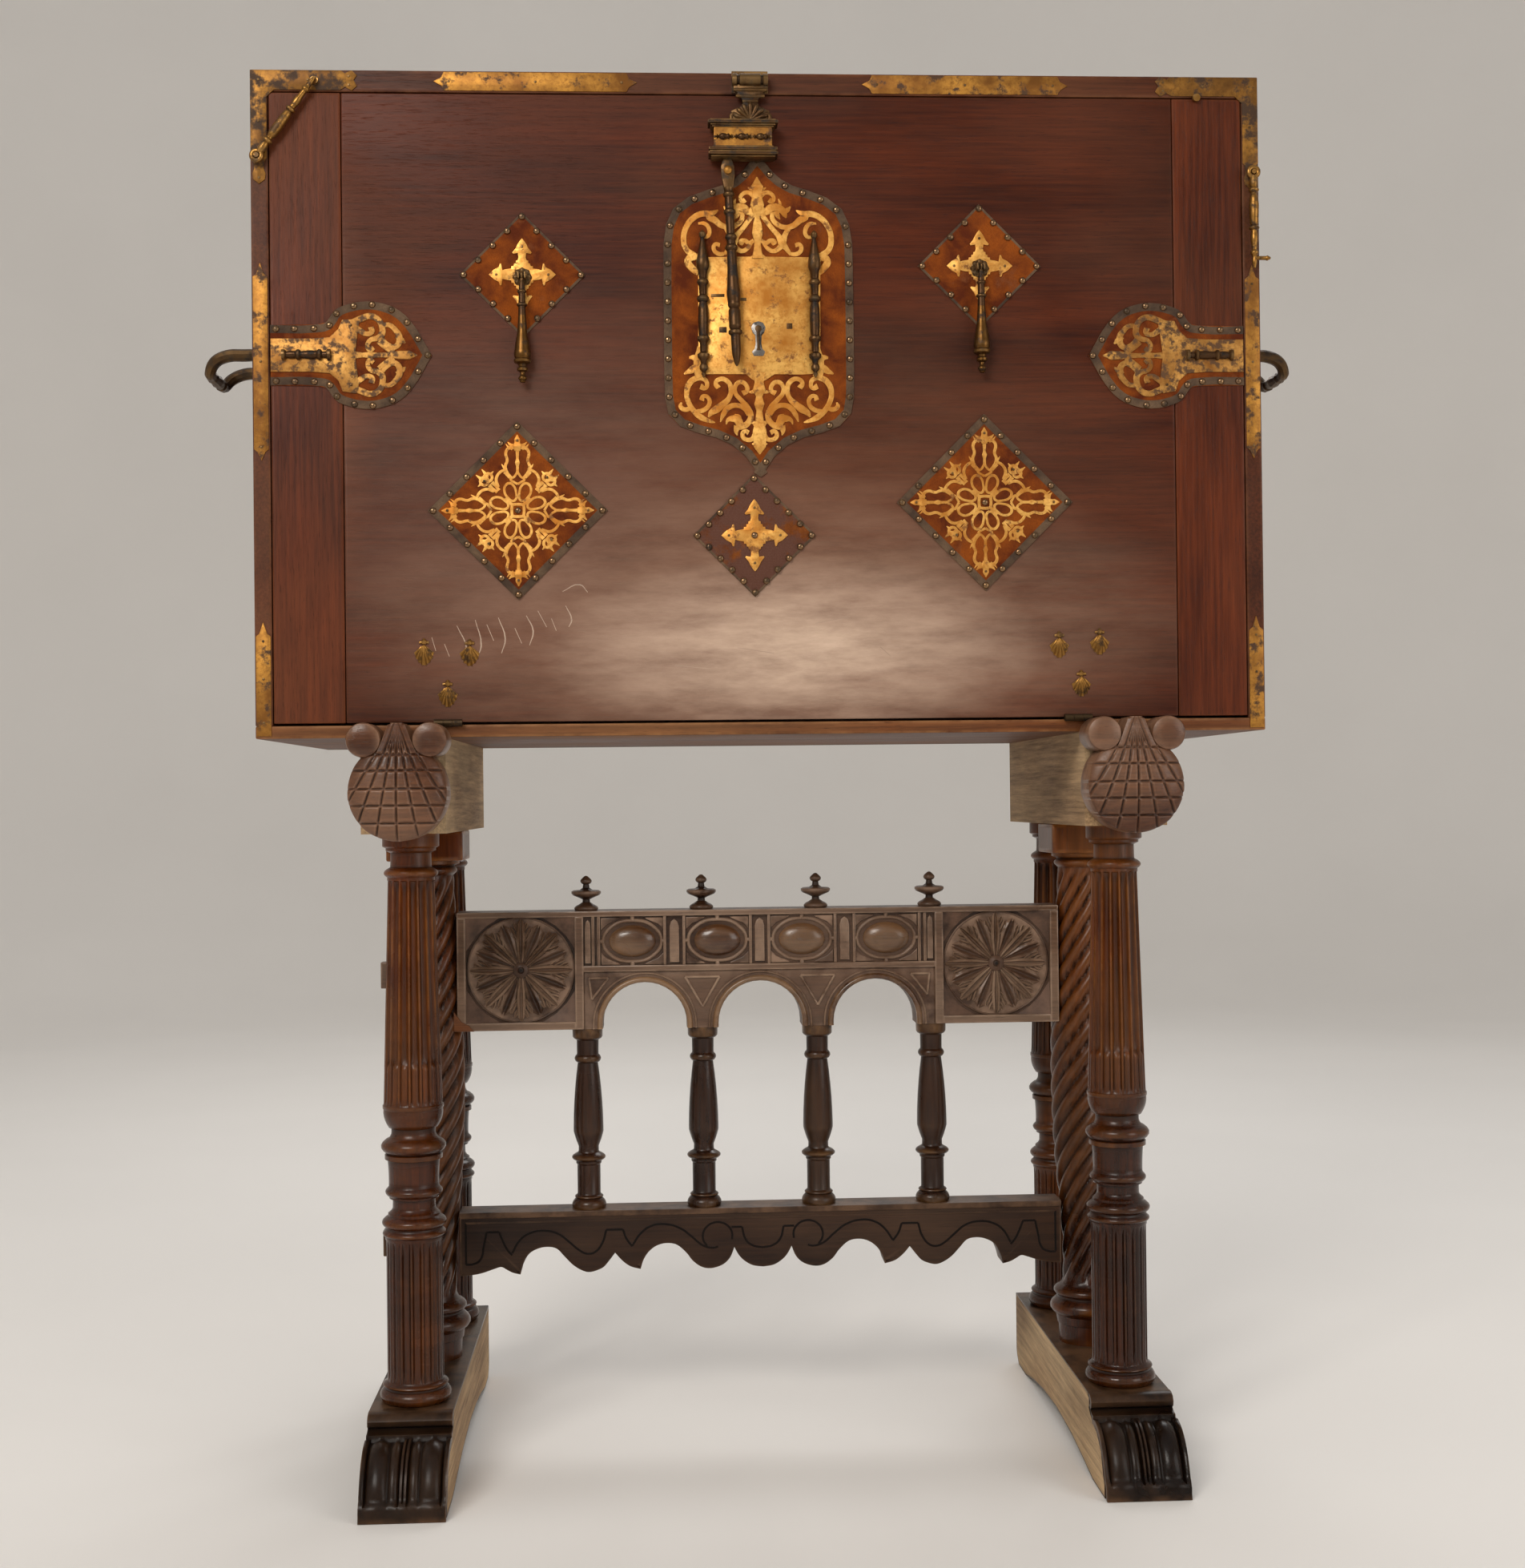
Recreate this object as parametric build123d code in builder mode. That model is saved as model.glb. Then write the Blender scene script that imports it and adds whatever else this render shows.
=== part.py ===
"""Spanish fall-front writing cabinet (vargueno) on an arcaded trestle stand. Millimetres, +Z up.

The origin is on the floor, under the middle of the footprint. The front faces -Y.
"""
from build123d import *

import math
import os

os.makedirs("parts", exist_ok=True)

# ---------------------------------------------------------------- overall sizes
chest_width = 1060.0
chest_height = 695.0
chest_depth = 448.0
stand_height = 789.0
foot_length = 517.0
trestle_spacing = 758.0      # between the centre lines of the two trestles

# ---------------------------------------------------------------- clearances
fit_gap = 0.1                # tenon or pin in its hole, all round
run_gap = 0.5                # pieces that slide or swing past each other
swing_gap = 1.0              # round the fall front

# ---------------------------------------------------------------- carcass and fall front
top_board = 23.0
side_board = 18.0
bottom_board = 13.0
back_board = 12.0
fall_thickness = 22.0
clamp_width = 74.0
hinge_leaf = 1.0             # thickness of one hinge leaf
hinge_radius = 3.8
hinge_pin_radius = 1.2

# ---------------------------------------------------------------- iron, gilt plate and velvet
plate = 1.2
velvet = 1.5
tack_radius = 3.4
tack_height = 2.6
iron_gap = 2.0               # air between the hanging irons and the nailed ones
stud_height = 4.5

# ---------------------------------------------------------------- stand
bearer_width = 88.0
bearer_height = 100.0
foot_width = 88.0
foot_height = 87.0
column_spread = 165.0        # front and back columns from the middle one
tenon_radius = 12.0
tenon_length = 18.0
beam_length = 700.0
beam_thickness = 44.0
beam_height = 135.0
beam_top = 595.0
stretcher_thickness = 40.0
stretcher_height = 72.0
stretcher_top = 253.0
through_tenon = (14.0, 30.0)
tenon_reach = 434.0          # end of the through tenons from the middle of the stand
baluster_inner = 66.3
baluster_outer = 199.0
arch_radius = 48.0
arch_spring = 4.5            # straight part under the round of each arch
loper_width = 44.0
loper_height = 56.0
loper_length = 390.0
loper_travel = 140.0
shell_thickness = 52.0
shell_radius = 50.5
ear_radius = 18.0
ear_offset = 33.5
shell_overlap = 15.5         # how far the round of the shell reaches up between its ears
shell_edge = 8.0             # depth of the stepped rim at the front of the shell
shell_step = 4.0

# ---------------------------------------------------------------- places worked out from the sizes
back_y = foot_length / 2
front_y = back_y - chest_depth
middle_y = back_y - chest_depth / 2
chest_bottom = stand_height
chest_top_z = stand_height + chest_height
half_width = chest_width / 2
trestle_x = trestle_spacing / 2
column_rows = (middle_y - column_spread, middle_y, middle_y + column_spread)
bearer_bottom = stand_height - bearer_height
leaf_z = chest_bottom + bottom_board
hinge_z = leaf_z + hinge_leaf + 0.7
hinge_y = front_y - 4.5
fall_bottom = leaf_z + 2 * hinge_leaf + 0.5
fall_top = chest_top_z - top_board - swing_gap
fall_half = half_width - side_board - swing_gap
velvet_y = front_y - velvet
gilt_y = velvet_y - plate
hang_y = velvet_y - tack_height - iron_gap
inner_bottom = leaf_z
inner_top = chest_top_z - top_board
inner_half = half_width - side_board
sides = {"left": -1, "right": 1}


def front_plane(y, x=0.0, z=0.0):
    """A sketch plane facing the front, with sketch x to the right and sketch y up."""
    return Plane(origin=(x, y, z), x_dir=(1, 0, 0), z_dir=(0, -1, 0))


def finish(part, label):
    part.label = label
    export_step(part, f"parts/{label}.step")


def box_part(x0, x1, y0, y1, z0, z1):
    """A plain board between two corners."""
    with BuildPart() as board:
        with BuildSketch(Plane.XY.offset(z0)):
            with Locations(((x0 + x1) / 2, (y0 + y1) / 2)):
                Rectangle(x1 - x0, y1 - y0)
        extrude(amount=z1 - z0)
    return board.part


def turn(x, y, start, steps, axis_dir=(0, 0, 1), base=0.0):
    """Turn a profile about an upright axis: (r, z) is a straight, (r_mid, r_end, z_end) a round."""
    with BuildPart() as piece:
        with BuildSketch(front_plane(y, x, base)):
            with BuildLine():
                radius, height = start
                Line((0, height), (radius, height))
                for step in steps:
                    if len(step) == 2:
                        Line((radius, height), step)
                        radius, height = step
                    else:
                        mid, end, top = step
                        ThreePointArc((radius, height), (mid, (height + top) / 2), (end, top))
                        radius, height = end, top
                Line((radius, height), (0, height))
                Line((0, height), (0, start[1]))
            make_face()
        revolve(axis=Axis((x, y, 0), axis_dir))
    return piece.part


# ================================================================ the stand
# A foot is a sled runner: flat pads at both ends, a shallow arch between them and a carved toe.
toe_top_y = column_rows[0] - 43.0
toe_lip = 15.0
arch_rise = 18.0
pad_length = 62.0
front_pad = 70.0

# Turned profiles, as radius and height above the floor, drawn for the usual column and fitted to
# the real one by stretch. A step of three numbers is a round moulding.
column_bottom = foot_height
column_top = bearer_bottom
top_block_size = 86.0
top_block_height = 34.0


def stretch(steps, drawn, real):
    """Move the heights of a drawn profile so that its two ends meet the real ones."""
    scale = (real[1] - real[0]) / (drawn[1] - drawn[0])
    return [tuple(step[:-1]) + (real[0] + (step[-1] - drawn[0]) * scale,) for step in steps]


def widest(steps, low, high):
    """The largest radius of a profile between two heights."""
    radii = []
    for first, second in zip(steps, steps[1:]):
        r0, z0, r1, z1 = first[-2], first[-1], second[-2], second[-1]
        for k in range(11):
            z = z0 + (z1 - z0) * k / 10
            if low <= z <= high:
                radii.append(r0 + (r1 - r0) * k / 10)
    return max(radii)


outer_profile = stretch([
    (tenon_radius, 87.0), (33.0, 87.0), (37.5, 33.5, 103.0), (29.7, 108.0),
    (29.7, 259.0), (28.5, 261.0), (33.0, 29.0, 277.0), (32.5, 24.0, 290.0), (22.4, 292.0),
    (22.4, 302.0), (29.0, 27.5, 312.0), (27.5, 343.0), (30.5, 344.5), (30.5, 350.0),
    (34.0, 28.0, 366.0), (23.3, 367.5), (23.3, 376.0), (30.0, 31.8, 397.0), (31.4, 399.0),
    (29.7, 448.0), (24.5, 640.0), (25.5, 643.0), (29.0, 25.0, 652.0), (21.5, 654.0),
    (21.5, 669.0), (26.5, 672.0), (30.0, 676.0), (30.0, 689.0), (tenon_radius, 689.0),
], (87.0, 689.0), (column_bottom, column_top))
twist_profile = stretch([
    (tenon_radius, 87.0), (33.0, 87.0), (33.0, 118.0), (36.0, 119.0),
    (43.0, 36.0, 138.0), (38.5, 34.0, 151.0), (27.0, 156.0), (27.0, 205.0), (32.0, 262.0),
    (37.0, 330.0), (38.6, 400.0), (37.8, 460.0), (34.0, 540.0), (29.0, 615.0), (28.0, 640.0),
    (32.0, 28.5, 650.0), (35.0, 655.0), (tenon_radius, 655.0),
], (87.0, 655.0), (column_bottom, column_top - top_block_height))
baluster_low = stretcher_top
baluster_high = beam_top - beam_height
baluster_tenon = (6.0, 14.0)
baluster_profile = stretch([
    (baluster_tenon[0], 253.0), (18.5, 253.0), (20.2, 16.0, 266.0), (13.3, 270.0),
    (13.3, 304.0), (14.5, 308.0), (19.8, 15.0, 316.5), (11.6, 319.0), (11.6, 325.0),
    (17.2, 341.0), (17.0, 346.0), (11.6, 422.0), (15.2, 12.5, 430.5), (12.5, 433.0),
    (13.0, 447.0), (17.0, 450.0), (17.5, 460.0), (baluster_tenon[0], 460.0),
], (253.0, 460.0), (baluster_low, baluster_high))

beam_tenon_z = beam_top - 71.0
stretcher_tenon_z = stretcher_top - 35.0
baluster_x = (-baluster_outer, -baluster_inner, baluster_inner, baluster_outer)
beam_shoulder = widest(twist_profile, baluster_high, beam_top) + 0.5
stretcher_shoulder = widest(twist_profile, stretcher_top - stretcher_height, stretcher_top) + 0.5

for side, sign in sides.items():
    x = sign * trestle_x

    # foot, drawn from the side and given its width
    with BuildPart() as foot:
        with BuildSketch(Plane.YZ.offset(x - foot_width / 2)):
            with BuildLine():
                Polyline([
                    (-back_y, 0), (-back_y, toe_lip), (-back_y + 7, toe_lip + 4),
                ])
                Spline([
                    (-back_y + 7, toe_lip + 4), (-back_y + 20, 47), (toe_top_y - 14, 68),
                ])
                Polyline([
                    (toe_top_y - 14, 68), (toe_top_y, foot_height), (back_y, foot_height),
                    (back_y, 16), (back_y - 16, 0), (back_y - pad_length, 0),
                ])
                ThreePointArc(
                    (back_y - pad_length, 0),
                    ((front_pad - pad_length) / 2, arch_rise),
                    (-back_y + front_pad, 0),
                )
                Line((-back_y + front_pad, 0), (-back_y, 0))
            make_face()
        extrude(amount=foot_width)
        with BuildSketch(Plane.XY.offset(foot_height)):
            with Locations(*[(x, y) for y in column_rows]):
                Circle(tenon_radius + fit_gap)
        extrude(amount=-tenon_length - 1, mode=Mode.SUBTRACT)
    finish(foot.part, f"{side}_foot")

    # front and back columns
    for row, y in (("front", column_rows[0]), ("back", column_rows[2])):
        column = turn(
            x, y,
            (tenon_radius, column_bottom - tenon_length),
            outer_profile + [(tenon_radius, column_top + tenon_length)],
        )
        finish(column, f"{side}_{row}_column")

    # middle column with its square head, cut through for the two tenons
    with BuildPart() as twist:
        add(turn(
            x, middle_y,
            (tenon_radius, column_bottom - tenon_length),
            twist_profile + [(tenon_radius, column_top - top_block_height + 5)],
        ))
        with BuildSketch(Plane.XY.offset(column_top - top_block_height)):
            with Locations((x, middle_y)):
                Rectangle(top_block_size, top_block_size)
        extrude(amount=top_block_height)
        with BuildSketch(Plane.XY.offset(column_top)):
            with Locations((x, middle_y)):
                Circle(tenon_radius)
        extrude(amount=tenon_length)
        for z in (beam_tenon_z, stretcher_tenon_z):
            with BuildSketch(Plane.YZ.offset(x - 60)):
                with Locations((middle_y, z)):
                    Rectangle(through_tenon[0] + 2 * fit_gap, through_tenon[1] + 2 * fit_gap)
            extrude(amount=120, mode=Mode.SUBTRACT)
    finish(twist.part, f"{side}_twisted_column")

    # bearer with the channel that the loper runs in
    loper_z = bearer_bottom + bearer_height / 2
    with BuildPart() as bearer:
        with BuildSketch(Plane.XY.offset(bearer_bottom)):
            with Locations((x, middle_y)):
                Rectangle(bearer_width, chest_depth)
        extrude(amount=bearer_height)
        with BuildSketch(front_plane(front_y, x, loper_z)):
            Rectangle(loper_width + 2 * run_gap, loper_height + 2 * run_gap)
        extrude(amount=-(loper_length + 5), mode=Mode.SUBTRACT)
        with BuildSketch(Plane.XY.offset(bearer_bottom)):
            with Locations(*[(x, y) for y in column_rows]):
                Circle(tenon_radius + fit_gap)
        extrude(amount=tenon_length + 1, mode=Mode.SUBTRACT)
    finish(bearer.part, f"{side}_bearer")

    # loper bar
    loper_front = hinge_y - hinge_radius - run_gap
    with BuildPart() as loper:
        with BuildSketch(front_plane(loper_front, x, loper_z)):
            Rectangle(loper_width, loper_height)
        extrude(amount=-(loper_length + front_y - loper_front))
    finish(loper.part, f"{side}_loper")

    # shell on the end of the loper, low enough to pass under the studs of the open fall
    ear_top = hinge_z + (front_y - hinge_y) - stud_height - run_gap
    ear_z = ear_top - ear_radius
    shell_z = ear_z - ear_radius - shell_radius + shell_overlap
    crown_z = ear_top - 2.0
    layers = ((0.0, shell_thickness - shell_edge, 0.0), (shell_thickness - shell_edge, shell_edge, shell_step))
    with BuildPart() as shell:
        for start, thick, shrink in layers:
            with BuildSketch(front_plane(loper_front - start, x)):
                with Locations((0, shell_z)):
                    Circle(shell_radius - shrink)
                with Locations((-ear_offset, ear_z), (ear_offset, ear_z)):
                    Circle(ear_radius - shrink)
                Polygon(
                    (-ear_offset, shell_z + 20), (ear_offset, shell_z + 20),
                    (5, crown_z - shrink), (-5, crown_z - shrink), align=None,
                )
            extrude(amount=thick)
    finish(shell.part, f"{side}_loper_shell")

# arcaded beam
arch_centres = (-2 * baluster_inner, 0.0, 2 * baluster_inner)
with BuildPart() as beam:
    with BuildSketch(front_plane(middle_y + beam_thickness / 2)):
        with Locations((0, beam_top - beam_height / 2)):
            Rectangle(beam_length, beam_height)
        with Locations(*[(c, baluster_high + arch_spring) for c in arch_centres]):
            Circle(arch_radius, mode=Mode.SUBTRACT)
        with Locations(*[(c, baluster_high) for c in arch_centres]):
            Rectangle(2 * arch_radius, 2 * arch_spring, mode=Mode.SUBTRACT)
    extrude(amount=beam_thickness)
    with BuildSketch(Plane.XY.offset(baluster_high - 1)):
        with Locations((-trestle_x, middle_y), (trestle_x, middle_y)):
            Circle(beam_shoulder)
    extrude(amount=beam_height + 2, mode=Mode.SUBTRACT)
    for sign in sides.values():
        with BuildSketch(Plane.YZ.offset(sign * (beam_length / 2 - 30))):
            with Locations((middle_y, beam_tenon_z)):
                Rectangle(*through_tenon)
        extrude(amount=sign * (tenon_reach - beam_length / 2 + 30))
    with BuildSketch(Plane.XY.offset(baluster_high)):
        with Locations(*[(b, middle_y) for b in baluster_x]):
            Circle(baluster_tenon[0] + fit_gap)
    extrude(amount=baluster_tenon[1] + 1, mode=Mode.SUBTRACT)
    with BuildSketch(Plane.XY.offset(beam_top)):
        with Locations(*[(b, middle_y) for b in baluster_x]):
            Circle(4 + fit_gap)
    extrude(amount=-11, mode=Mode.SUBTRACT)
finish(beam.part, "arcade_beam")

# lower stretcher with a scrolled under edge
scroll_count = 5
with BuildPart() as stretcher:
    with BuildSketch(front_plane(middle_y + stretcher_thickness / 2)):
        with Locations((0, stretcher_top - stretcher_height / 2)):
            Rectangle(beam_length, stretcher_height)
        with Locations(*[(-250 + 125 * k, stretcher_top - stretcher_height) for k in range(scroll_count)]):
            Circle(27, mode=Mode.SUBTRACT)
    extrude(amount=stretcher_thickness)
    with BuildSketch(Plane.XY.offset(stretcher_top - stretcher_height - 1)):
        with Locations((-trestle_x, middle_y), (trestle_x, middle_y)):
            Circle(stretcher_shoulder)
    extrude(amount=stretcher_height + 2, mode=Mode.SUBTRACT)
    for sign in sides.values():
        with BuildSketch(Plane.YZ.offset(sign * (beam_length / 2 - 30))):
            with Locations((middle_y, stretcher_tenon_z)):
                Rectangle(*through_tenon)
        extrude(amount=sign * (tenon_reach - beam_length / 2 + 30))
    with BuildSketch(Plane.XY.offset(stretcher_top)):
        with Locations(*[(b, middle_y) for b in baluster_x]):
            Circle(baluster_tenon[0] + fit_gap)
    extrude(amount=-baluster_tenon[1] - 1, mode=Mode.SUBTRACT)
finish(stretcher.part, "lower_stretcher")

# four balusters between them
for number, x in enumerate(baluster_x, 1):
    baluster = turn(
        x, middle_y,
        (baluster_tenon[0], baluster_low - baluster_tenon[1]),
        baluster_profile + [(baluster_tenon[0], baluster_high + baluster_tenon[1])],
    )
    finish(baluster, f"baluster_{number}")

# four cup and bud finials on top of the beam
finial_profile = [
    (4.0, 0.0), (13.0, 0.0), (13.5, 9.0, 7.0), (4.5, 9.0), (4.2, 13.0), (9.0, 16.0), (17.0, 20.5),
    (17.0, 22.5), (8.0, 24.5), (3.5, 27.0), (3.5, 31.0), (6.8, 3.5, 38.0), (1.0, 40.0),
]
with BuildPart() as finials:
    for x in baluster_x:
        add(turn(x, middle_y, (4.0, -10.0), finial_profile, base=beam_top))
finish(finials.part, "finials")

# ================================================================ the chest
finish(
    box_part(-half_width, half_width, front_y, back_y - back_board, inner_top, chest_top_z),
    "chest_top",
)
finish(
    box_part(-half_width, half_width, front_y, back_y - back_board, chest_bottom, inner_bottom),
    "chest_bottom",
)
finish(
    box_part(-half_width, half_width, back_y - back_board, back_y, chest_bottom, chest_top_z),
    "chest_back",
)
for side, sign in sides.items():
    edges = sorted((sign * inner_half, sign * half_width))
    board = box_part(edges[0], edges[1], front_y, back_y - back_board, inner_bottom, inner_top)
    finish(board, f"{side}_chest_side")

# fall front: a wide panel between two upright clamps
panel_half = fall_half - clamp_width
finish(
    box_part(-panel_half, panel_half, front_y, front_y + fall_thickness, fall_bottom, fall_top),
    "fall_panel",
)
with BuildPart() as clamps:
    for sign in sides.values():
        edges = sorted((sign * panel_half, sign * fall_half))
        add(box_part(edges[0], edges[1], front_y, front_y + fall_thickness, fall_bottom, fall_top))
finish(clamps.part, "fall_clamps")

# hinges: two outer knuckles on the carcass, one knuckle and its pin on the fall
hinge_x = (-331.5, 328.5)
knuckle = 9.5
hinge_leaf_depth = 18.0
with BuildPart() as carcass_hinges:
    for x in hinge_x:
        for shift in (-knuckle - 0.3, knuckle + 0.3):
            with BuildSketch(Plane.YZ.offset(x + shift - knuckle / 2)):
                with Locations((hinge_y, hinge_z)):
                    Circle(hinge_radius)
                with Locations(((hinge_y + front_y + hinge_leaf_depth) / 2, leaf_z + hinge_leaf / 2)):
                    Rectangle(front_y + hinge_leaf_depth - hinge_y, hinge_leaf)
                with Locations((hinge_y, hinge_z)):
                    Circle(hinge_pin_radius + fit_gap, mode=Mode.SUBTRACT)
            extrude(amount=knuckle)
finish(carcass_hinges.part, "carcass_hinge_knuckles")

with BuildPart() as fall_hinges:
    for x in hinge_x:
        with BuildSketch(Plane.YZ.offset(x - knuckle / 2)):
            with Locations((hinge_y, hinge_z)):
                Circle(hinge_radius)
            with Locations(((hinge_y + front_y + hinge_leaf_depth) / 2, fall_bottom - hinge_leaf / 2)):
                Rectangle(front_y + hinge_leaf_depth - hinge_y, hinge_leaf)
        extrude(amount=knuckle)
        with BuildSketch(Plane.YZ.offset(x - 1.5 * knuckle)):
            with Locations((hinge_y, hinge_z)):
                Circle(hinge_pin_radius)
        extrude(amount=3 * knuckle)
finish(fall_hinges.part, "fall_hinge_knuckles")

# gilt iron on the front edges of the carcass
corner_arm_top = 111.0
corner_arm_side = 118.0
top_irons = ((-341.0, -129.0), (107.0, 326.0))
side_irons = ((chest_bottom + 288.0, chest_bottom + 494.0), (chest_bottom + 3.0, chest_bottom + 121.0))
with BuildPart() as irons:
    with BuildSketch(front_plane(front_y)):
        for sign in sides.values():
            with Locations((sign * (half_width - corner_arm_top / 2), chest_top_z - top_board / 2)):
                Rectangle(corner_arm_top, top_board)
            with Locations((sign * (half_width - side_board / 2), chest_top_z - corner_arm_side / 2)):
                Rectangle(side_board, corner_arm_side)
        for x0, x1 in top_irons:
            with Locations(((x0 + x1) / 2, chest_top_z - top_board / 2)):
                Rectangle(x1 - x0, top_board - 3)
        for sign in sides.values():
            for z0, z1 in side_irons:
                with Locations((sign * (half_width - side_board / 2), (z0 + z1) / 2)):
                    Rectangle(side_board - 2, z1 - z0)
    extrude(amount=plate)
finish(irons.part, "edge_irons")

# ================================================================ ironwork on the fall
lock_x = -4.0
lock_velvet_points = [
    (0, 606), (-93, 549), (-101, 529), (-101, 339), (0, 274), (101, 339), (101, 529), (93, 549),
]
with BuildPart() as lock_velvet:
    with BuildSketch(front_plane(front_y, lock_x, chest_bottom)):
        Polygon(*lock_velvet_points, align=None)
    extrude(amount=velvet)
finish(lock_velvet.part, "lock_velvet")

lock_cresting = [(-83, 523), (-60, 549), (-20, 561), (0, 585), (20, 561), (60, 549), (83, 523)]
lock_apron = [(83, 351), (50, 329), (16, 319), (0, 295), (-16, 319), (-50, 329), (-83, 351)]
pilaster_offset = 58.0
pilaster_radius = 4.0
pilaster_z = (chest_bottom + 373.0, chest_bottom + 528.0)
keyhole_z = 426.0
with BuildPart() as lock_plate:
    with BuildSketch(front_plane(velvet_y, lock_x, chest_bottom)):
        Polygon(*lock_cresting, *lock_apron, align=None)
        with Locations((0, keyhole_z)):
            Circle(4.5, mode=Mode.SUBTRACT)
        with Locations((0, keyhole_z - 12)):
            Rectangle(4.5, 22, mode=Mode.SUBTRACT)
    extrude(amount=plate)
    with BuildSketch(Plane.XY.offset(pilaster_z[0])):
        with Locations(*[(lock_x + s * pilaster_offset, gilt_y - pilaster_radius + 0.6) for s in (-1, 1)]):
            Circle(pilaster_radius)
    extrude(amount=pilaster_z[1] - pilaster_z[0])
finish(lock_plate.part, "lock_plate")

# lock case behind the plate, on the inside of the fall
lock_case = box_part(
    lock_x - 55, lock_x + 55, front_y + fall_thickness, front_y + fall_thickness + 14,
    chest_bottom + 383, chest_bottom + 495,
)
finish(lock_case, "lock_case")

crosses = ((-250.5, chest_bottom + 481.5), (229.5, chest_bottom + 492.0))
rosettes = ((-257.5, chest_bottom + 235.5), (232.5, chest_bottom + 242.5))
centre_cross = (-11.0, chest_bottom + 208.5)
strap_z = chest_bottom + 397.5
cross_velvet_half = 64.5
rosette_velvet_half = 92.5
centre_velvet_half = 63.5


def diamond(half):
    return [(half, 0), (0, half), (-half, 0), (0, -half)]


with BuildPart() as velvet_diamonds:
    placed = [(c, cross_velvet_half) for c in crosses]
    placed += [(c, rosette_velvet_half) for c in rosettes]
    placed += [(centre_cross, centre_velvet_half)]
    for (x, z), half in placed:
        with BuildSketch(front_plane(front_y, x, z)):
            Polygon(*diamond(half), align=None)
        extrude(amount=velvet)
finish(velvet_diamonds.part, "velvet_diamonds")

cross_half = 36.0
with BuildPart() as cross_plates:
    for (x, z), half in [(c, cross_half) for c in crosses] + [(centre_cross, 34.0)]:
        with BuildSketch(front_plane(velvet_y, x, z)):
            Rectangle(2 * half, 10)
            Rectangle(10, 2 * half)
            Rectangle(22, 22)
        extrude(amount=plate)
finish(cross_plates.part, "cross_plates")

with BuildPart() as rosette_plates:
    for x, z in rosettes:
        with BuildSketch(front_plane(velvet_y, x, z)):
            Polygon(*diamond(78.0), align=None)
        extrude(amount=plate)
finish(rosette_plates.part, "rosette_plates")

# strap ornaments at the two edges of the fall
strap_length = 168.0
strap_head = 56.0
strap_neck = 29.0


def strap_outline(sign, grow):
    """Neck from the fall's edge, then a round head that ends in a point."""
    edge = fall_half - 0.5
    head_x = edge - strap_length + strap_head + 10
    tip = edge - strap_length - 2
    with BuildSketch(Plane.XY, mode=Mode.PRIVATE) as outline:
        with Locations((sign * (edge + head_x) / 2, 0)):
            Rectangle(edge - head_x, 2 * (strap_neck - grow))
        with Locations((sign * head_x, 0)):
            Circle(strap_head - grow)
        Polygon(
            (sign * (head_x - 20), strap_head - grow - 5), (sign * (head_x - 20), -strap_head + grow + 5),
            (sign * (tip + grow), 0), align=None,
        )
    return outline.sketch


strap_layers = (("strap_velvets", front_y, velvet, 0.0), ("strap_plates", velvet_y, plate, 11.0))
for label, y, thick, grow in strap_layers:
    with BuildPart() as straps:
        for sign in sides.values():
            with BuildSketch(front_plane(y, 0, strap_z)):
                add(strap_outline(sign, grow))
            extrude(amount=thick)
    finish(straps.part, label)


# dome headed tacks along the velvet edges
def along(points, count, closed=True):
    """Evenly spaced places on each side of an outline, with one on every corner."""
    places = []
    pairs = list(zip(points, points[1:] + points[:1])) if closed else list(zip(points, points[1:]))
    for (x0, z0), (x1, z1) in pairs:
        for k in range(count):
            places.append((x0 + (x1 - x0) * k / count, z0 + (z1 - z0) * k / count))
    return places


tack_inset = 4.0
tack_places = []
for x, z in crosses:
    tack_places += [(x + a, z + b) for a, b in along(diamond(cross_velvet_half - tack_inset), 4)]
for x, z in rosettes:
    tack_places += [(x + a, z + b) for a, b in along(diamond(rosette_velvet_half - tack_inset), 5)]
x, z = centre_cross
tack_places += [(x + a, z + b) for a, b in along(diamond(centre_velvet_half - tack_inset), 5)]
lock_tack_shoulder = (92.0, chest_bottom + 544.0)
lock_tack_side = (96.5, chest_bottom + 523.0, chest_bottom + 343.0)
lock_tack_ends = (chest_bottom + 601.0, chest_bottom + 280.0)
for k in range(6):
    t = k / 6
    tack_places += [
        (lock_x + s * lock_tack_shoulder[0] * t,
         lock_tack_ends[0] + (lock_tack_shoulder[1] - lock_tack_ends[0]) * t)
        for s in ((1,) if k == 0 else (-1, 1))
    ]
tack_places += [(lock_x + s * lock_tack_shoulder[0], lock_tack_shoulder[1]) for s in (-1, 1)]
for k in range(9):
    z = lock_tack_side[1] + (lock_tack_side[2] - lock_tack_side[1]) * k / 8
    tack_places += [(lock_x + s * lock_tack_side[0], z) for s in (-1, 1)]
for k in range(1, 6):
    t = k / 5
    tack_places += [
        (lock_x + s * lock_tack_side[0] * (1 - t),
         lock_tack_side[2] + (lock_tack_ends[1] - lock_tack_side[2]) * t)
        for s in ((1,) if k == 5 else (-1, 1))
    ]
head_x = fall_half - 0.5 - strap_length + strap_head + 10
for sign in sides.values():
    for k in range(3):
        for s in (-1, 1):
            tack_places.append((sign * (fall_half - 7 - 19 * k), strap_z + s * (strap_neck - tack_inset)))
    for degrees in (55, 78, 101, 124, 147):
        for s in (-1, 1):
            a = math.radians(degrees)
            tack_places.append((
                sign * (head_x + (strap_head - tack_inset) * math.cos(a)),
                strap_z + s * (strap_head - tack_inset) * math.sin(a),
            ))
    tack_places.append((sign * (fall_half - strap_length + 5), strap_z))

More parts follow.
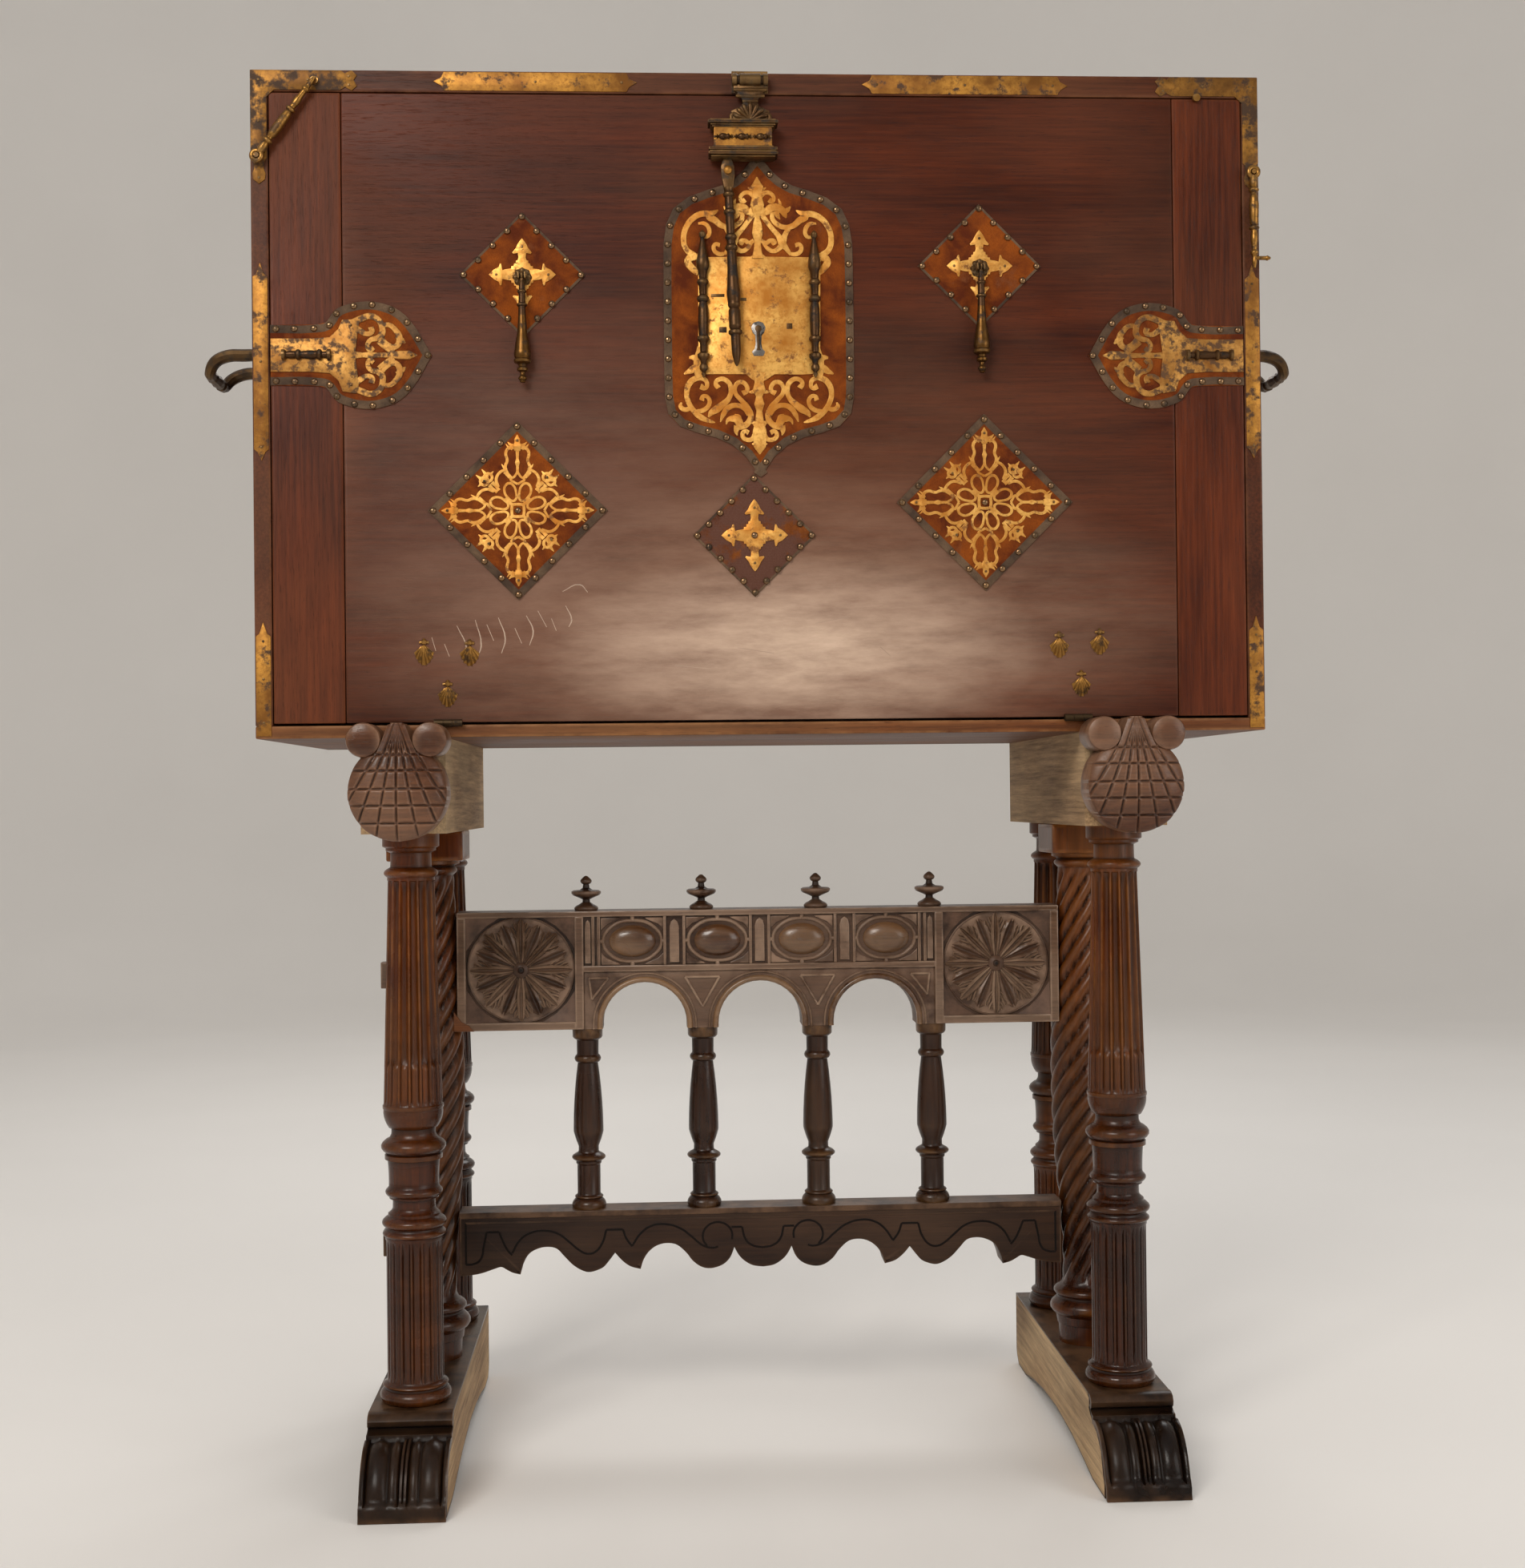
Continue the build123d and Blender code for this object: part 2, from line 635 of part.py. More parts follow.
with BuildPart() as tacks:
    tack_ball = (tack_radius ** 2 + tack_height ** 2) / (2 * tack_height)
    with BuildSketch(Plane.XY):
        with BuildLine():
            Line((0, 0), (tack_radius, 0))
            RadiusArc((tack_radius, 0), (0, tack_height), -tack_ball)
            Line((0, tack_height), (0, 0))
        make_face()
    revolve(axis=Axis.Y)
tack = tacks.part.rotate(Axis.X, 180)
tack_group = Compound(children=[tack.moved(Location((x, velvet_y, z))) for x, z in tack_places])
finish(tack_group, "dome_tacks")

# scallop studs that cover the hinge nails
stud_places = [(x, chest_bottom + z) for x, z in (
    (-356.0, 86.0), (-309.0, 85.0), (-332.0, 42.5), (310.0, 89.0), (353.0, 92.0), (333.0, 48.0),
)]
stud_radius = 11.5
with BuildPart() as studs:
    with BuildSketch(front_plane(front_y)):
        with Locations(*stud_places):
            Circle(stud_radius)
        with Locations(*[(x, z + stud_radius) for x, z in stud_places]):
            Rectangle(10, 5)
    extrude(amount=stud_height, taper=25)
finish(studs.part, "scallop_studs")

# drop pulls: a boss with two cheeks and a pin, and a turned pendant with an eye
pull_pin_radius = 1.3
pull_axis_y = gilt_y - 9.0
pull_axis_drop = 3.0
pull_eye = 4.2
cheek = 2.0
with BuildPart() as bosses:
    for x, z in crosses:
        with BuildSketch(front_plane(gilt_y, x, z - pull_axis_drop)):
            Circle(8)
        extrude(amount=4)
        for shift in (-pull_eye / 2 - 0.3 - cheek, pull_eye / 2 + 0.3):
            with BuildSketch(Plane.YZ.offset(x + shift)):
                with Locations(((gilt_y - 4 + pull_axis_y) / 2 - 1, z - pull_axis_drop)):
                    Rectangle(abs(pull_axis_y - gilt_y + 4) + 6, 7)
            extrude(amount=cheek)
        with BuildSketch(Plane.YZ.offset(x - pull_eye / 2 - 0.3)):
            with Locations((pull_axis_y, z - pull_axis_drop)):
                Circle(pull_pin_radius)
        extrude(amount=pull_eye + 0.6)
finish(bosses.part, "pull_bosses")

pull_length = 110.0
pull_profile = [
    (2.6, -pull_length), (4.5, 2.2, -pull_length + 9), (5.8, -pull_length + 15),
    (9.2, 6.0, -pull_length + 46),
    (3.6, -pull_length + 76), (6.0, 3.2, -pull_length + 81), (3.2, -pull_length + 90),
    (4.6, 2.2, -pull_length + 94), (2.0, -6.0),
]
for (x, z), side in zip(crosses, sides):
    axis_z = z - pull_axis_drop
    with BuildPart() as pull:
        add(turn(x, pull_axis_y, (1.2, -pull_length - 2), pull_profile, base=axis_z))
        with BuildSketch(Plane.YZ.offset(x - pull_eye / 2)):
            with Locations((pull_axis_y, axis_z)):
                Circle(4.0)
            with Locations((pull_axis_y, axis_z - 4.5)):
                Rectangle(4.2, 4.0)
        extrude(amount=pull_eye)
        with BuildSketch(Plane.YZ.offset(x - pull_eye)):
            with Locations((pull_axis_y, axis_z)):
                Circle(pull_pin_radius + fit_gap)
        extrude(amount=2 * pull_eye, mode=Mode.SUBTRACT)
    finish(pull.part, f"{side}_drop_pull")

# ================================================================ hasp
hasp_x = -11.0
hasp_box_x = -19.5
hasp_axis_z = chest_top_z - 10.5
barrel_radius = 6.5
strap_iron = 1.5
hasp_axis_y = front_y - strap_iron - 0.3 - barrel_radius
hasp_back = hang_y
barrel_length = 38.0
with BuildPart() as hasp_strap:
    with BuildSketch(Plane.YZ.offset(hasp_x - 21)):
        Polygon(
            (front_y - strap_iron, inner_top + 1), (front_y, inner_top + 1), (front_y, chest_top_z),
            (front_y + 45, chest_top_z), (front_y + 45, chest_top_z + strap_iron),
            (front_y - strap_iron, chest_top_z + strap_iron), align=None,
        )
    extrude(amount=42)
finish(hasp_strap.part, "hasp_strap")

box_depth = 18.0
arm_top = (-36.0, hasp_axis_z - 84.5)
arm_tip = (-28.0, hasp_axis_z - 301.0)
arm_radius = 6.2
arm_length = math.hypot(arm_top[0] - arm_tip[0], arm_top[1] - arm_tip[1])
arm_steps = [
    (4.4, 3.0, 12), (4.4, 16), (6.0, 4.0, 22), (5.2, 30), (6.4, 60), (5.0, 66), (6.8, 5.0, 74),
    (5.4, 150), (6.4, 5.0, 156), (6.0, 200), (7.2, 5.0, 208), (5.0, arm_length + 4),
]
# the moulded box: lowest and highest edge from the axis, half width and depth
hasp_mouldings = (
    (-53.5, -46.5, 36.5, box_depth + 3),
    (-74.5, -52.5, 30.5, box_depth),
    (-85.0, -73.5, 36.0, box_depth + 2),
)
with BuildPart() as hasp:
    with BuildSketch(Plane.YZ.offset(hasp_x - barrel_length / 2)):
        with Locations((hasp_axis_y, hasp_axis_z)):
            Circle(barrel_radius)
    extrude(amount=barrel_length)
    with BuildSketch(front_plane(hasp_back, hasp_x)):
        with Locations((0, hasp_axis_z - 15.5)):
            Rectangle(barrel_length - 4, 26)
        with Locations((0, hasp_axis_z - 34.5)):
            Circle(15.5)
        with Locations((0, hasp_axis_z - 44.5)):
            Rectangle(22, 14)
    extrude(amount=5)
    for z0, z1, half, depth in hasp_mouldings:
        with BuildSketch(front_plane(hasp_back, hasp_box_x, hasp_axis_z)):
            with Locations((0, (z0 + z1) / 2)):
                Rectangle(2 * half, z1 - z0)
        extrude(amount=depth)
    with BuildSketch(Plane(
        origin=(arm_tip[0], hasp_back - 8, arm_tip[1]), x_dir=(0, 1, 0),
        z_dir=(arm_top[1] - arm_tip[1], 0, arm_tip[0] - arm_top[0]),
    )):
        with BuildLine():
            radius, height = 1.5, 0.0
            Line((0, 0), (radius, 0))
            for step in arm_steps:
                if len(step) == 2:
                    Line((radius, height), step)
                    radius, height = step
                else:
                    mid, end, top = step
                    ThreePointArc((radius, height), (mid, (height + top) / 2), (end, top))
                    radius, height = end, top
            Line((radius, height), (0, height))
            Line((0, height), (0, 0))
        make_face()
    revolve(axis=Axis(
        (arm_tip[0], hasp_back - 8, arm_tip[1]),
        (arm_top[0] - arm_tip[0], 0, arm_top[1] - arm_tip[1]),
    ))
finish(hasp.part, "hasp")

# ================================================================ turning catches at the top corners
catch_pivot = {
    "left": (-(half_width - 8.0), chest_top_z - 92.5),
    "right": (half_width - 8.0, chest_top_z - 104.0),
}
catch_keeper_offset = (59.0, 80.0)
catch_length = math.hypot(*catch_keeper_offset)
catch_thickness = 6.0
catch_back = front_y - 5.5
catch_axis_y = catch_back - catch_thickness / 2
catch_pin_radius = 2.5
catch_steps = [
    (3.6, 4), (3.6, 14), (5.4, 3.4, 20), (3.4, 24), (5.2, 3.2, 60), (4.4, 3.0, 64), (2.6, 86),
    (3.8, 2.4, 92), (2.2, catch_length + 3),
]


def catch_rod(pivot, direction):
    """A disc with a hole for the pin, and a turned rod that starts at the disc."""
    px, pz = pivot
    dx, dz = direction
    base = Plane(origin=(px, catch_axis_y, pz), x_dir=(0, 1, 0), z_dir=(dz, 0, -dx))
    with BuildPart() as rod:
        with BuildSketch(base):
            with BuildLine():
                radius, height = catch_steps[0]
                Line((0, height), (radius, height))
                for step in catch_steps[1:]:
                    if len(step) == 2:
                        Line((radius, height), step)
                        radius, height = step
                    else:
                        mid, end, top = step
                        ThreePointArc((radius, height), (mid, (height + top) / 2), (end, top))
                        radius, height = end, top
                Line((radius, height), (0, height))
                Line((0, height), (0, catch_steps[0][1]))
            make_face()
        revolve(axis=Axis((px, catch_axis_y, pz), (dx, 0, dz)))
        with BuildSketch(front_plane(catch_back, px, pz)):
            Circle(7.5)
        extrude(amount=catch_thickness)
        with BuildSketch(front_plane(catch_back + 1, px, pz)):
            Circle(catch_pin_radius + 0.15)
        extrude(amount=catch_thickness + 2, mode=Mode.SUBTRACT)
    return rod.part


unit = (catch_keeper_offset[0] / catch_length, catch_keeper_offset[1] / catch_length)
finish(catch_rod(catch_pivot["left"], unit), "left_catch")
with BuildPart() as right_catch:
    add(catch_rod(catch_pivot["right"], (0.0, -1.0)))
    with BuildSketch(Plane.YZ.offset(catch_pivot["right"][0])):
        with Locations((catch_axis_y, catch_pivot["right"][1] - catch_length + 8)):
            Circle(2.2)
    extrude(amount=17)
finish(right_catch.part, "right_catch")

with BuildPart() as catch_studs:
    for side, sign in sides.items():
        px, pz = catch_pivot[side]
        with BuildSketch(front_plane(front_y - plate, px, pz)):
            Circle(catch_pin_radius)
        extrude(amount=front_y - plate - catch_back + catch_thickness)
        with BuildSketch(front_plane(front_y - plate, px, pz)):
            Circle(5)
        extrude(amount=1.5)
        keeper = (px - sign * catch_keeper_offset[0], pz + catch_keeper_offset[1])
        with BuildSketch(front_plane(front_y - plate, *keeper)):
            Circle(4)
        extrude(amount=front_y - plate - catch_axis_y - 3.2)
finish(catch_studs.part, "catch_studs")

# ================================================================ carrying handles on the sides
handle_z = chest_bottom + 437.0
handle_spread = 48.0
handle_reach = 72.0
handle_drop = 20.0
handle_radius = 7.0
handle_axis = half_width + 12.5
eye_radius = 9.5
eye_pin_radius = 3.2
eye_width = 9.0
with BuildPart() as handle_eyes:
    for sign in sides.values():
        for end in (-1, 1):
            y = middle_y + end * handle_spread
            for shift in (-eye_width / 2 - 3.3, eye_width / 2 + 0.3):
                with BuildSketch(Plane.XZ.offset(-(y + shift))):
                    with Locations((sign * (half_width + 8.75), handle_z)):
                        Rectangle(17.5, 12)
                extrude(amount=-3)
            with BuildSketch(Plane.XZ.offset(-(y - eye_width / 2 - 0.3))):
                with Locations((sign * handle_axis, handle_z)):
                    Circle(eye_pin_radius)
            extrude(amount=-(eye_width + 0.6))
            with BuildSketch(Plane.YZ.offset(sign * half_width)):
                with Locations((y, handle_z)):
                    Rectangle(34, 44)
            extrude(amount=sign * 1.5)
finish(handle_eyes.part, "handle_eyes")

for side, sign in sides.items():
    ends = [middle_y - handle_spread, middle_y + handle_spread]
    with BuildPart() as handle:
        with BuildLine() as route:
            FilletPolyline(
                (sign * (handle_axis + eye_radius - 1.2), ends[0], handle_z),
                (sign * (handle_axis + handle_reach - 14), ends[0], handle_z - 2),
                (sign * (handle_axis + handle_reach), ends[0] + 8, handle_z - handle_drop),
                (sign * (handle_axis + handle_reach), ends[1] - 8, handle_z - handle_drop),
                (sign * (handle_axis + handle_reach - 14), ends[1], handle_z - 2),
                (sign * (handle_axis + eye_radius - 1.2), ends[1], handle_z),
                radius=9,
            )
        with BuildSketch(Plane(route.line @ 0, z_dir=route.line % 0)):
            Circle(handle_radius)
        sweep()
        for y in ends:
            with BuildSketch(Plane.XZ.offset(-(y - eye_width / 2))):
                with Locations((sign * handle_axis, handle_z)):
                    Circle(eye_radius)
            extrude(amount=-eye_width)
            with BuildSketch(Plane.XZ.offset(-(y - eye_width))):
                with Locations((sign * handle_axis, handle_z)):
                    Circle(eye_pin_radius + fit_gap)
            extrude(amount=-2 * eye_width, mode=Mode.SUBTRACT)
    finish(handle.part, f"{side}_handle")

# ================================================================ drawer case behind the fall
case_front = front_y + fall_thickness + 34.0
case_back = back_y - back_board - run_gap
case_board = 10.0
case_half = inner_half - run_gap
case_low = inner_bottom
case_high = inner_top - run_gap
centre_half = 170.0
drawer_gap = 0.8
drawer_wall = 8.0
rows = 3
row_height = (case_high - case_low - (rows + 1) * case_board) / rows
cupboard_bottom = case_low + case_board
with BuildPart() as case:
    with BuildSketch(front_plane(case_front)):
        with Locations((0, (case_low + case_high) / 2)):
            Rectangle(2 * case_half, case_high - case_low)
        inside = centre_half - case_board / 2
        with Locations((0, (case_low + case_high) / 2)):
            Rectangle(2 * inside, case_high - case_low - 2 * case_board, mode=Mode.SUBTRACT)
        outer = case_half - case_board
        inner = centre_half + case_board / 2
        for row in range(rows):
            z = case_low + case_board + row_height / 2 + row * (row_height + case_board)
            with Locations((-(outer + inner) / 2, z), ((outer + inner) / 2, z)):
                Rectangle(outer - inner, row_height, mode=Mode.SUBTRACT)
    extrude(amount=case_front - case_back)
finish(case.part, "drawer_case")


def knob_part(x, y, z):
    """A turned knob that stands out to the front."""
    with BuildPart() as piece:
        with BuildSketch(Plane(origin=(x, y, z), x_dir=(1, 0, 0), z_dir=(0, 0, 1))):
            with BuildLine():
                Polyline([(0, 0), (5, 0), (3.5, -6), (8, -9)])
                ThreePointArc((8, -9), (8.6, -13), (5, -17))
                Polyline([(5, -17), (0, -18), (0, 0)])
            make_face()
        revolve(axis=Axis((x, y, z), (0, 1, 0)))
    return piece.part


for side, sign in sides.items():
    x0 = centre_half + case_board / 2 + drawer_gap
    x1 = case_half - case_board - drawer_gap
    middle_x = sign * (x0 + x1) / 2
    for row, name in enumerate(("lower", "middle", "upper")):
        z0 = case_low + case_board + row * (row_height + case_board)
        z1 = z0 + row_height - drawer_gap
        with BuildPart() as drawer:
            with BuildSketch(Plane.XY.offset(z0)):
                with Locations((middle_x, (case_front + case_back - 6) / 2)):
                    Rectangle(x1 - x0, case_back - 6 - case_front)
            extrude(amount=z1 - z0)
            with BuildSketch(Plane.XY.offset(z0 + drawer_wall)):
                with Locations((middle_x, (case_front + case_back - 6) / 2 + 2)):
                    Rectangle(x1 - x0 - 2 * drawer_wall, case_back - 6 - case_front - 2 * drawer_wall - 4)
            extrude(amount=z1 - z0, mode=Mode.SUBTRACT)
            add(knob_part(middle_x, case_front + 1, (z0 + z1) / 2))
        finish(drawer.part, f"{side}_{name}_drawer")

door_half = centre_half - case_board / 2 - drawer_gap
with BuildPart() as door:
    add(box_part(
        -door_half, door_half, case_front, case_front + 14,
        cupboard_bottom, case_high - case_board - drawer_gap,
    ))
    add(knob_part(door_half - 22, case_front + 1, (case_low + case_high) / 2))
finish(door.part, "cupboard_door")

print("column rows", [round(y, 2) for y in column_rows])
print("front", front_y, "back", back_y, "hinge", hinge_y, hinge_z)
print("pull axis", pull_axis_y, "hasp axis", hasp_axis_y, hasp_axis_z, "catch back", catch_back)
print("handle axis", handle_axis, handle_z)
print("case front", case_front, "case", case_low, case_high, "row", row_height)
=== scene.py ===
import math
import bpy
import bmesh
from mathutils import Matrix, Vector


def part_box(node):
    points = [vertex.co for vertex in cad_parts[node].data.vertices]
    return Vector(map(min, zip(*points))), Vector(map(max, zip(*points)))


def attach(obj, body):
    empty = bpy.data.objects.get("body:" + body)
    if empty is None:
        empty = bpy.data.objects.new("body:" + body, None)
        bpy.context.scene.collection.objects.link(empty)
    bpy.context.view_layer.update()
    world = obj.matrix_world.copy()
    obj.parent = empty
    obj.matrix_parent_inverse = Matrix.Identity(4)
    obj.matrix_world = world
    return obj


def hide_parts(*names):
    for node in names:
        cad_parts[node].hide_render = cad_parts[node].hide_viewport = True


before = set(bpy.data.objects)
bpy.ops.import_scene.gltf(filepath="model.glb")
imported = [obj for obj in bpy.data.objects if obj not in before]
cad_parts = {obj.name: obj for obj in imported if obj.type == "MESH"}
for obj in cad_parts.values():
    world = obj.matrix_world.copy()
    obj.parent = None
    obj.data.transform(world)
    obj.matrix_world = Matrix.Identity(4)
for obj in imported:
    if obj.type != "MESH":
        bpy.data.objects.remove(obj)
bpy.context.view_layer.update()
mm = 0.001
chestBody = "carcass_and_stand"
fallBody = "fall_front"
bothSides = (("left", -1), ("right", 1))
print("frame loaded")


def linked(name, data):
    made = bpy.data.objects.new(name, data)
    bpy.context.scene.collection.objects.link(made)
    return made


# camera, seen from a little left of the middle at the height of the stand's top
cameraLook = {
    "at": (-0.1147, -2.27994, 0.72124), "lens": 45.87, "sensor": 36, "clip": 60,
    "right": (0.99858259, -0.0520761, -0.01099504), "ahead": (0.05216019, 0.99861053, 0.00750485),
    "up": (0.01058894, -0.00806771, 0.99991139),
}
cameraData = bpy.data.cameras.new("camera")
cameraData.lens = cameraLook["lens"]
cameraData.sensor_width = cameraLook["sensor"]
cameraData.clip_end = cameraLook["clip"]
camera = linked("camera", cameraData)
facing = Matrix((cameraLook["right"], cameraLook["up"], -Vector(cameraLook["ahead"]))).transposed()
camera.matrix_world = Matrix.Translation(cameraLook["at"]) @ facing.to_4x4()
bpy.context.scene.camera = camera
bpy.context.scene.view_settings.view_transform = "Standard"


# small helpers for colours and node trees
def tone(code):
    # a hex colour as it looks on screen, turned into the linear values that nodes use
    parts = [int(code[i:i + 2], 16) / 255 for i in (0, 2, 4)]
    return tuple(c / 12.92 if c <= 0.04045 else ((c + 0.055) / 1.055) ** 2.4 for c in parts) + (1.0,)


def feed(tree, socket, value):
    # a link from another node, or a plain value
    if isinstance(value, bpy.types.NodeSocket):
        tree.links.new(value, socket)
    else:
        socket.default_value = value


def addNode(tree, kind, inputs=None, **settings):
    made = tree.nodes.new(kind)
    for key, value in settings.items():
        setattr(made, key, value)
    for key, value in (inputs or {}).items():
        feed(tree, made.inputs[key], value)
    return made


def blendTones(tree, factor, first, second, mode="MIX"):
    made = addNode(tree, "ShaderNodeMix", data_type="RGBA", blend_type=mode)
    for index, value in ((0, factor), (6, first), (7, second)):
        feed(tree, made.inputs[index], value)
    return made.outputs[2]


def sums(tree, operation, first, second=0.0, clamp=False):
    return addNode(
        tree, "ShaderNodeMath", {0: first, 1: second}, operation=operation, use_clamp=clamp
    ).outputs[0]


def times(tree, first, second, clamp=False):
    return sums(tree, "MULTIPLY", first, second, clamp)


def between(tree, value, low, high, toLow=0.0, toHigh=1.0):
    return addNode(tree, "ShaderNodeMapRange", {
        "Value": value, "From Min": low, "From Max": high, "To Min": toLow, "To Max": toHigh,
    }).outputs["Result"]


def noiseOf(tree, vector, scale, detail=3.0, rough=0.5, warp=0.0):
    return addNode(tree, "ShaderNodeTexNoise", {
        "Vector": vector, "Scale": scale, "Detail": detail, "Roughness": rough, "Distortion": warp,
    }).outputs["Fac"]


def stretched(tree, vector, scale, turn=(0, 0, 0), shift=(0, 0, 0)):
    return addNode(tree, "ShaderNodeMapping", {
        "Vector": vector, "Scale": scale, "Rotation": turn, "Location": shift,
    }).outputs["Vector"]


def newGroup(name, ins, outs):
    tree = bpy.data.node_groups.new(name, "ShaderNodeTree")
    for label, kind, value in ins:
        made = tree.interface.new_socket(label, in_out="INPUT", socket_type=kind)
        if value is not None:
            made.default_value = value
    for label, kind in outs:
        tree.interface.new_socket(label, in_out="OUTPUT", socket_type=kind)
    return tree, tree.nodes.new("NodeGroupInput").outputs, tree.nodes.new("NodeGroupOutput").inputs


colourKind, valueKind, vectorKind = "NodeSocketColor", "NodeSocketFloat", "NodeSocketVector"


# wood figure: the grain runs along X of the vector that comes in
def makeWoodFigure():
    tree, ins, outs = newGroup(
        "woodFigure",
        [
            ("Vector", vectorKind, None), ("Deep", colourKind, tone("3a1c12")),
            ("Warm", colourKind, tone("6e3a26")), ("Pale", colourKind, tone("8a6654")),
            ("Cloud", valueKind, 0.5), ("Streak", valueKind, 1.0)
        ],
        [("Colour", colourKind), ("Height", valueKind), ("Dull", valueKind)]
    )
    vector = ins["Vector"]
    wavy = noiseOf(tree, stretched(tree, vector, (1.1, 7, 7)), 2.4, 5, 0.55, 0.25)
    streaks = noiseOf(tree, stretched(tree, vector, (3.4, 95, 95)), 3.0, 4, 0.6, 0.05)
    pores = noiseOf(tree, stretched(tree, vector, (30, 620, 620)), 2.2, 2, 0.6)
    clouds = noiseOf(
        tree, stretched(tree, vector, (1.4, 2.6, 2.6), shift=(3.1, 1.7, 0.4)), 2.6, 3, 0.5, 0.3
    )
    figure = between(
        tree, sums(tree, "ADD", times(tree, wavy, 0.65), times(tree, streaks, 0.45)), 0.40, 0.70
    )
    body = blendTones(tree, figure, ins["Deep"], ins["Warm"])
    cloudMask = times(tree, between(tree, clouds, 0.42, 0.72), ins["Cloud"])
    clouded = blendTones(tree, cloudMask, body, ins["Pale"])
    fine = between(tree, streaks, 0.3, 0.7, 0.80, 1.14)
    fineColour = addNode(tree, "ShaderNodeCombineColor", {0: fine, 1: fine, 2: fine}).outputs[0]
    streaked = blendTones(tree, ins["Streak"], clouded, fineColour, "MULTIPLY")
    poreMask = between(tree, pores, 0.60, 0.70)
    shaded = blendTones(tree, times(tree, poreMask, 0.45), streaked, tone("1a0c07"))
    tree.links.new(shaded, outs["Colour"])
    tree.links.new(
        sums(tree, "SUBTRACT", times(tree, streaks, 0.6), times(tree, poreMask, 0.5)), outs["Height"]
    )
    tree.links.new(between(tree, clouds, 0.3, 0.7), outs["Dull"])
    return tree


# wear and shade: worn arrises, and a darkening of the hollows that is partly packed-in dirt and partly
# painted shade, both from how sharply the surface bends
def makeWear():
    tree, ins, outs = newGroup("wearDirtAndShade", [
        ("Vector", vectorKind, None), ("Edge", valueKind, 0.5), ("DirtAndShade", valueKind, 0.5),
    ], [("Worn", valueKind), ("GrimeAndShade", valueKind)])
    bend = addNode(tree, "ShaderNodeNewGeometry").outputs["Pointiness"]
    broken = noiseOf(tree, ins["Vector"], 38, 4, 0.6)
    high = between(tree, bend, 0.515, 0.60)
    low = between(tree, bend, 0.492, 0.43)
    tree.links.new(
        times(tree, times(tree, high, between(tree, broken, 0.35, 0.6)), ins["Edge"], True), outs["Worn"]
    )
    # the darkening of the hollows: partly dirt, partly painted shade
    tree.links.new(times(tree, low, ins["DirtAndShade"], True), outs["GrimeAndShade"])
    return tree


# patches: where a thin coat has rubbed off or rusted through
def makePatches():
    tree, ins, outs = newGroup("patches", [
        ("Vector", vectorKind, None), ("Scale", valueKind, 30.0), ("Amount", valueKind, 0.5),
    ], [("Mask", valueKind), ("Fine", valueKind)])
    broad = noiseOf(tree, ins["Vector"], ins["Scale"], 6, 0.65)
    fine = noiseOf(tree, ins["Vector"], 900, 2, 0.6)
    edge = sums(tree, "SUBTRACT", 0.78, times(tree, ins["Amount"], 0.42))
    mask = between(tree, sums(tree, "SUBTRACT", broad, edge), -0.04, 0.05)
    tree.links.new(mask, outs["Mask"])
    tree.links.new(fine, outs["Fine"])
    return tree


woodFigure = makeWoodFigure()
wearAndShadeGroup = makeWear()
patchGroup = makePatches()


def useGroup(tree, group, inputs):
    return addNode(tree, "ShaderNodeGroup", inputs, node_tree=group).outputs


def startMaterial(name):
    material = bpy.data.materials.new(name)
    material.use_nodes = True
    tree = material.node_tree
    shader = tree.nodes["Principled BSDF"]
    place = addNode(tree, "ShaderNodeTexCoord").outputs["Object"]
    return material, tree, shader, place


def bump(tree, shader, height, distance, strength=1.0):
    made = addNode(tree, "ShaderNodeBump", {"Height": height, "Strength": strength, "Distance": distance})
    tree.links.new(made.outputs["Normal"], shader.inputs["Normal"])


# woods: one recipe, other tones and another way of the grain
alongX, alongY, alongZ = (0, 0, 0), (0, 0, math.pi / 2), (0, math.pi / 2, 0)


def makeWood(
    name, deep, warm, pale, turn, cloud=0.5, streak=0.7, gloss=0.36, edge=0.5, dirtAndShade=0.6, shift=(0, 0, 0),
    marks=None, shine=0.4
):
    material, tree, shader, place = startMaterial(name)
    vector = stretched(tree, place, (1, 1, 1), turn, shift)
    wood = useGroup(
        tree, woodFigure,
        {
            "Vector": vector, "Deep": tone(deep), "Warm": tone(warm), "Pale": tone(pale), "Cloud": cloud,
            "Streak": streak
        }
    )
    wearAndShade = useGroup(tree, wearAndShadeGroup, {"Vector": place, "Edge": edge, "DirtAndShade": dirtAndShade})
    worn = blendTones(tree, wearAndShade["Worn"], wood["Colour"], tone(pale))
    # painted shade and dirt darken the hollows of the wood
    withLightAndDirt = blendTones(tree, wearAndShade["GrimeAndShade"], worn, tone("120a06"))
    dull = between(tree, wood["Dull"], 0.0, 1.0, gloss - 0.07, gloss + 0.14)
    if marks:
        # patches of another tone laid over the wood: middle, reach, strength, colour. On the fall they
        # include a painted sheen with a painted highlight at its heart
        for (x, z), (wide, high), strength, colour in marks:
            spot = stretched(tree, place, (1 / wide, 0, 1 / high), shift=(-x / wide, 0, -z / high))
            away = addNode(tree, "ShaderNodeVectorMath", {0: spot}, operation="LENGTH").outputs["Value"]
            broken = noiseOf(tree, stretched(tree, place, (2.2, 2.2, 9)), 4.0, 7, 0.66)
            field = times(
                tree, between(tree, away, 1.0, 0.1), between(tree, broken, 0.30, 0.66, 0.35, 1.0), True
            )
            mask = times(tree, field, strength)
            withLightAndDirt = blendTones(tree, mask, withLightAndDirt, tone(colour))
            dull = sums(tree, "SUBTRACT", dull, times(tree, mask, 0.06))
    tree.links.new(withLightAndDirt, shader.inputs["Base Color"])
    tree.links.new(sums(tree, "ADD", dull, times(tree, wearAndShade["GrimeAndShade"], 0.25)), shader.inputs["Roughness"])
    shader.inputs["Specular IOR Level"].default_value = shine
    bump(tree, shader, wood["Height"], 0.0004, 0.4)
    return material
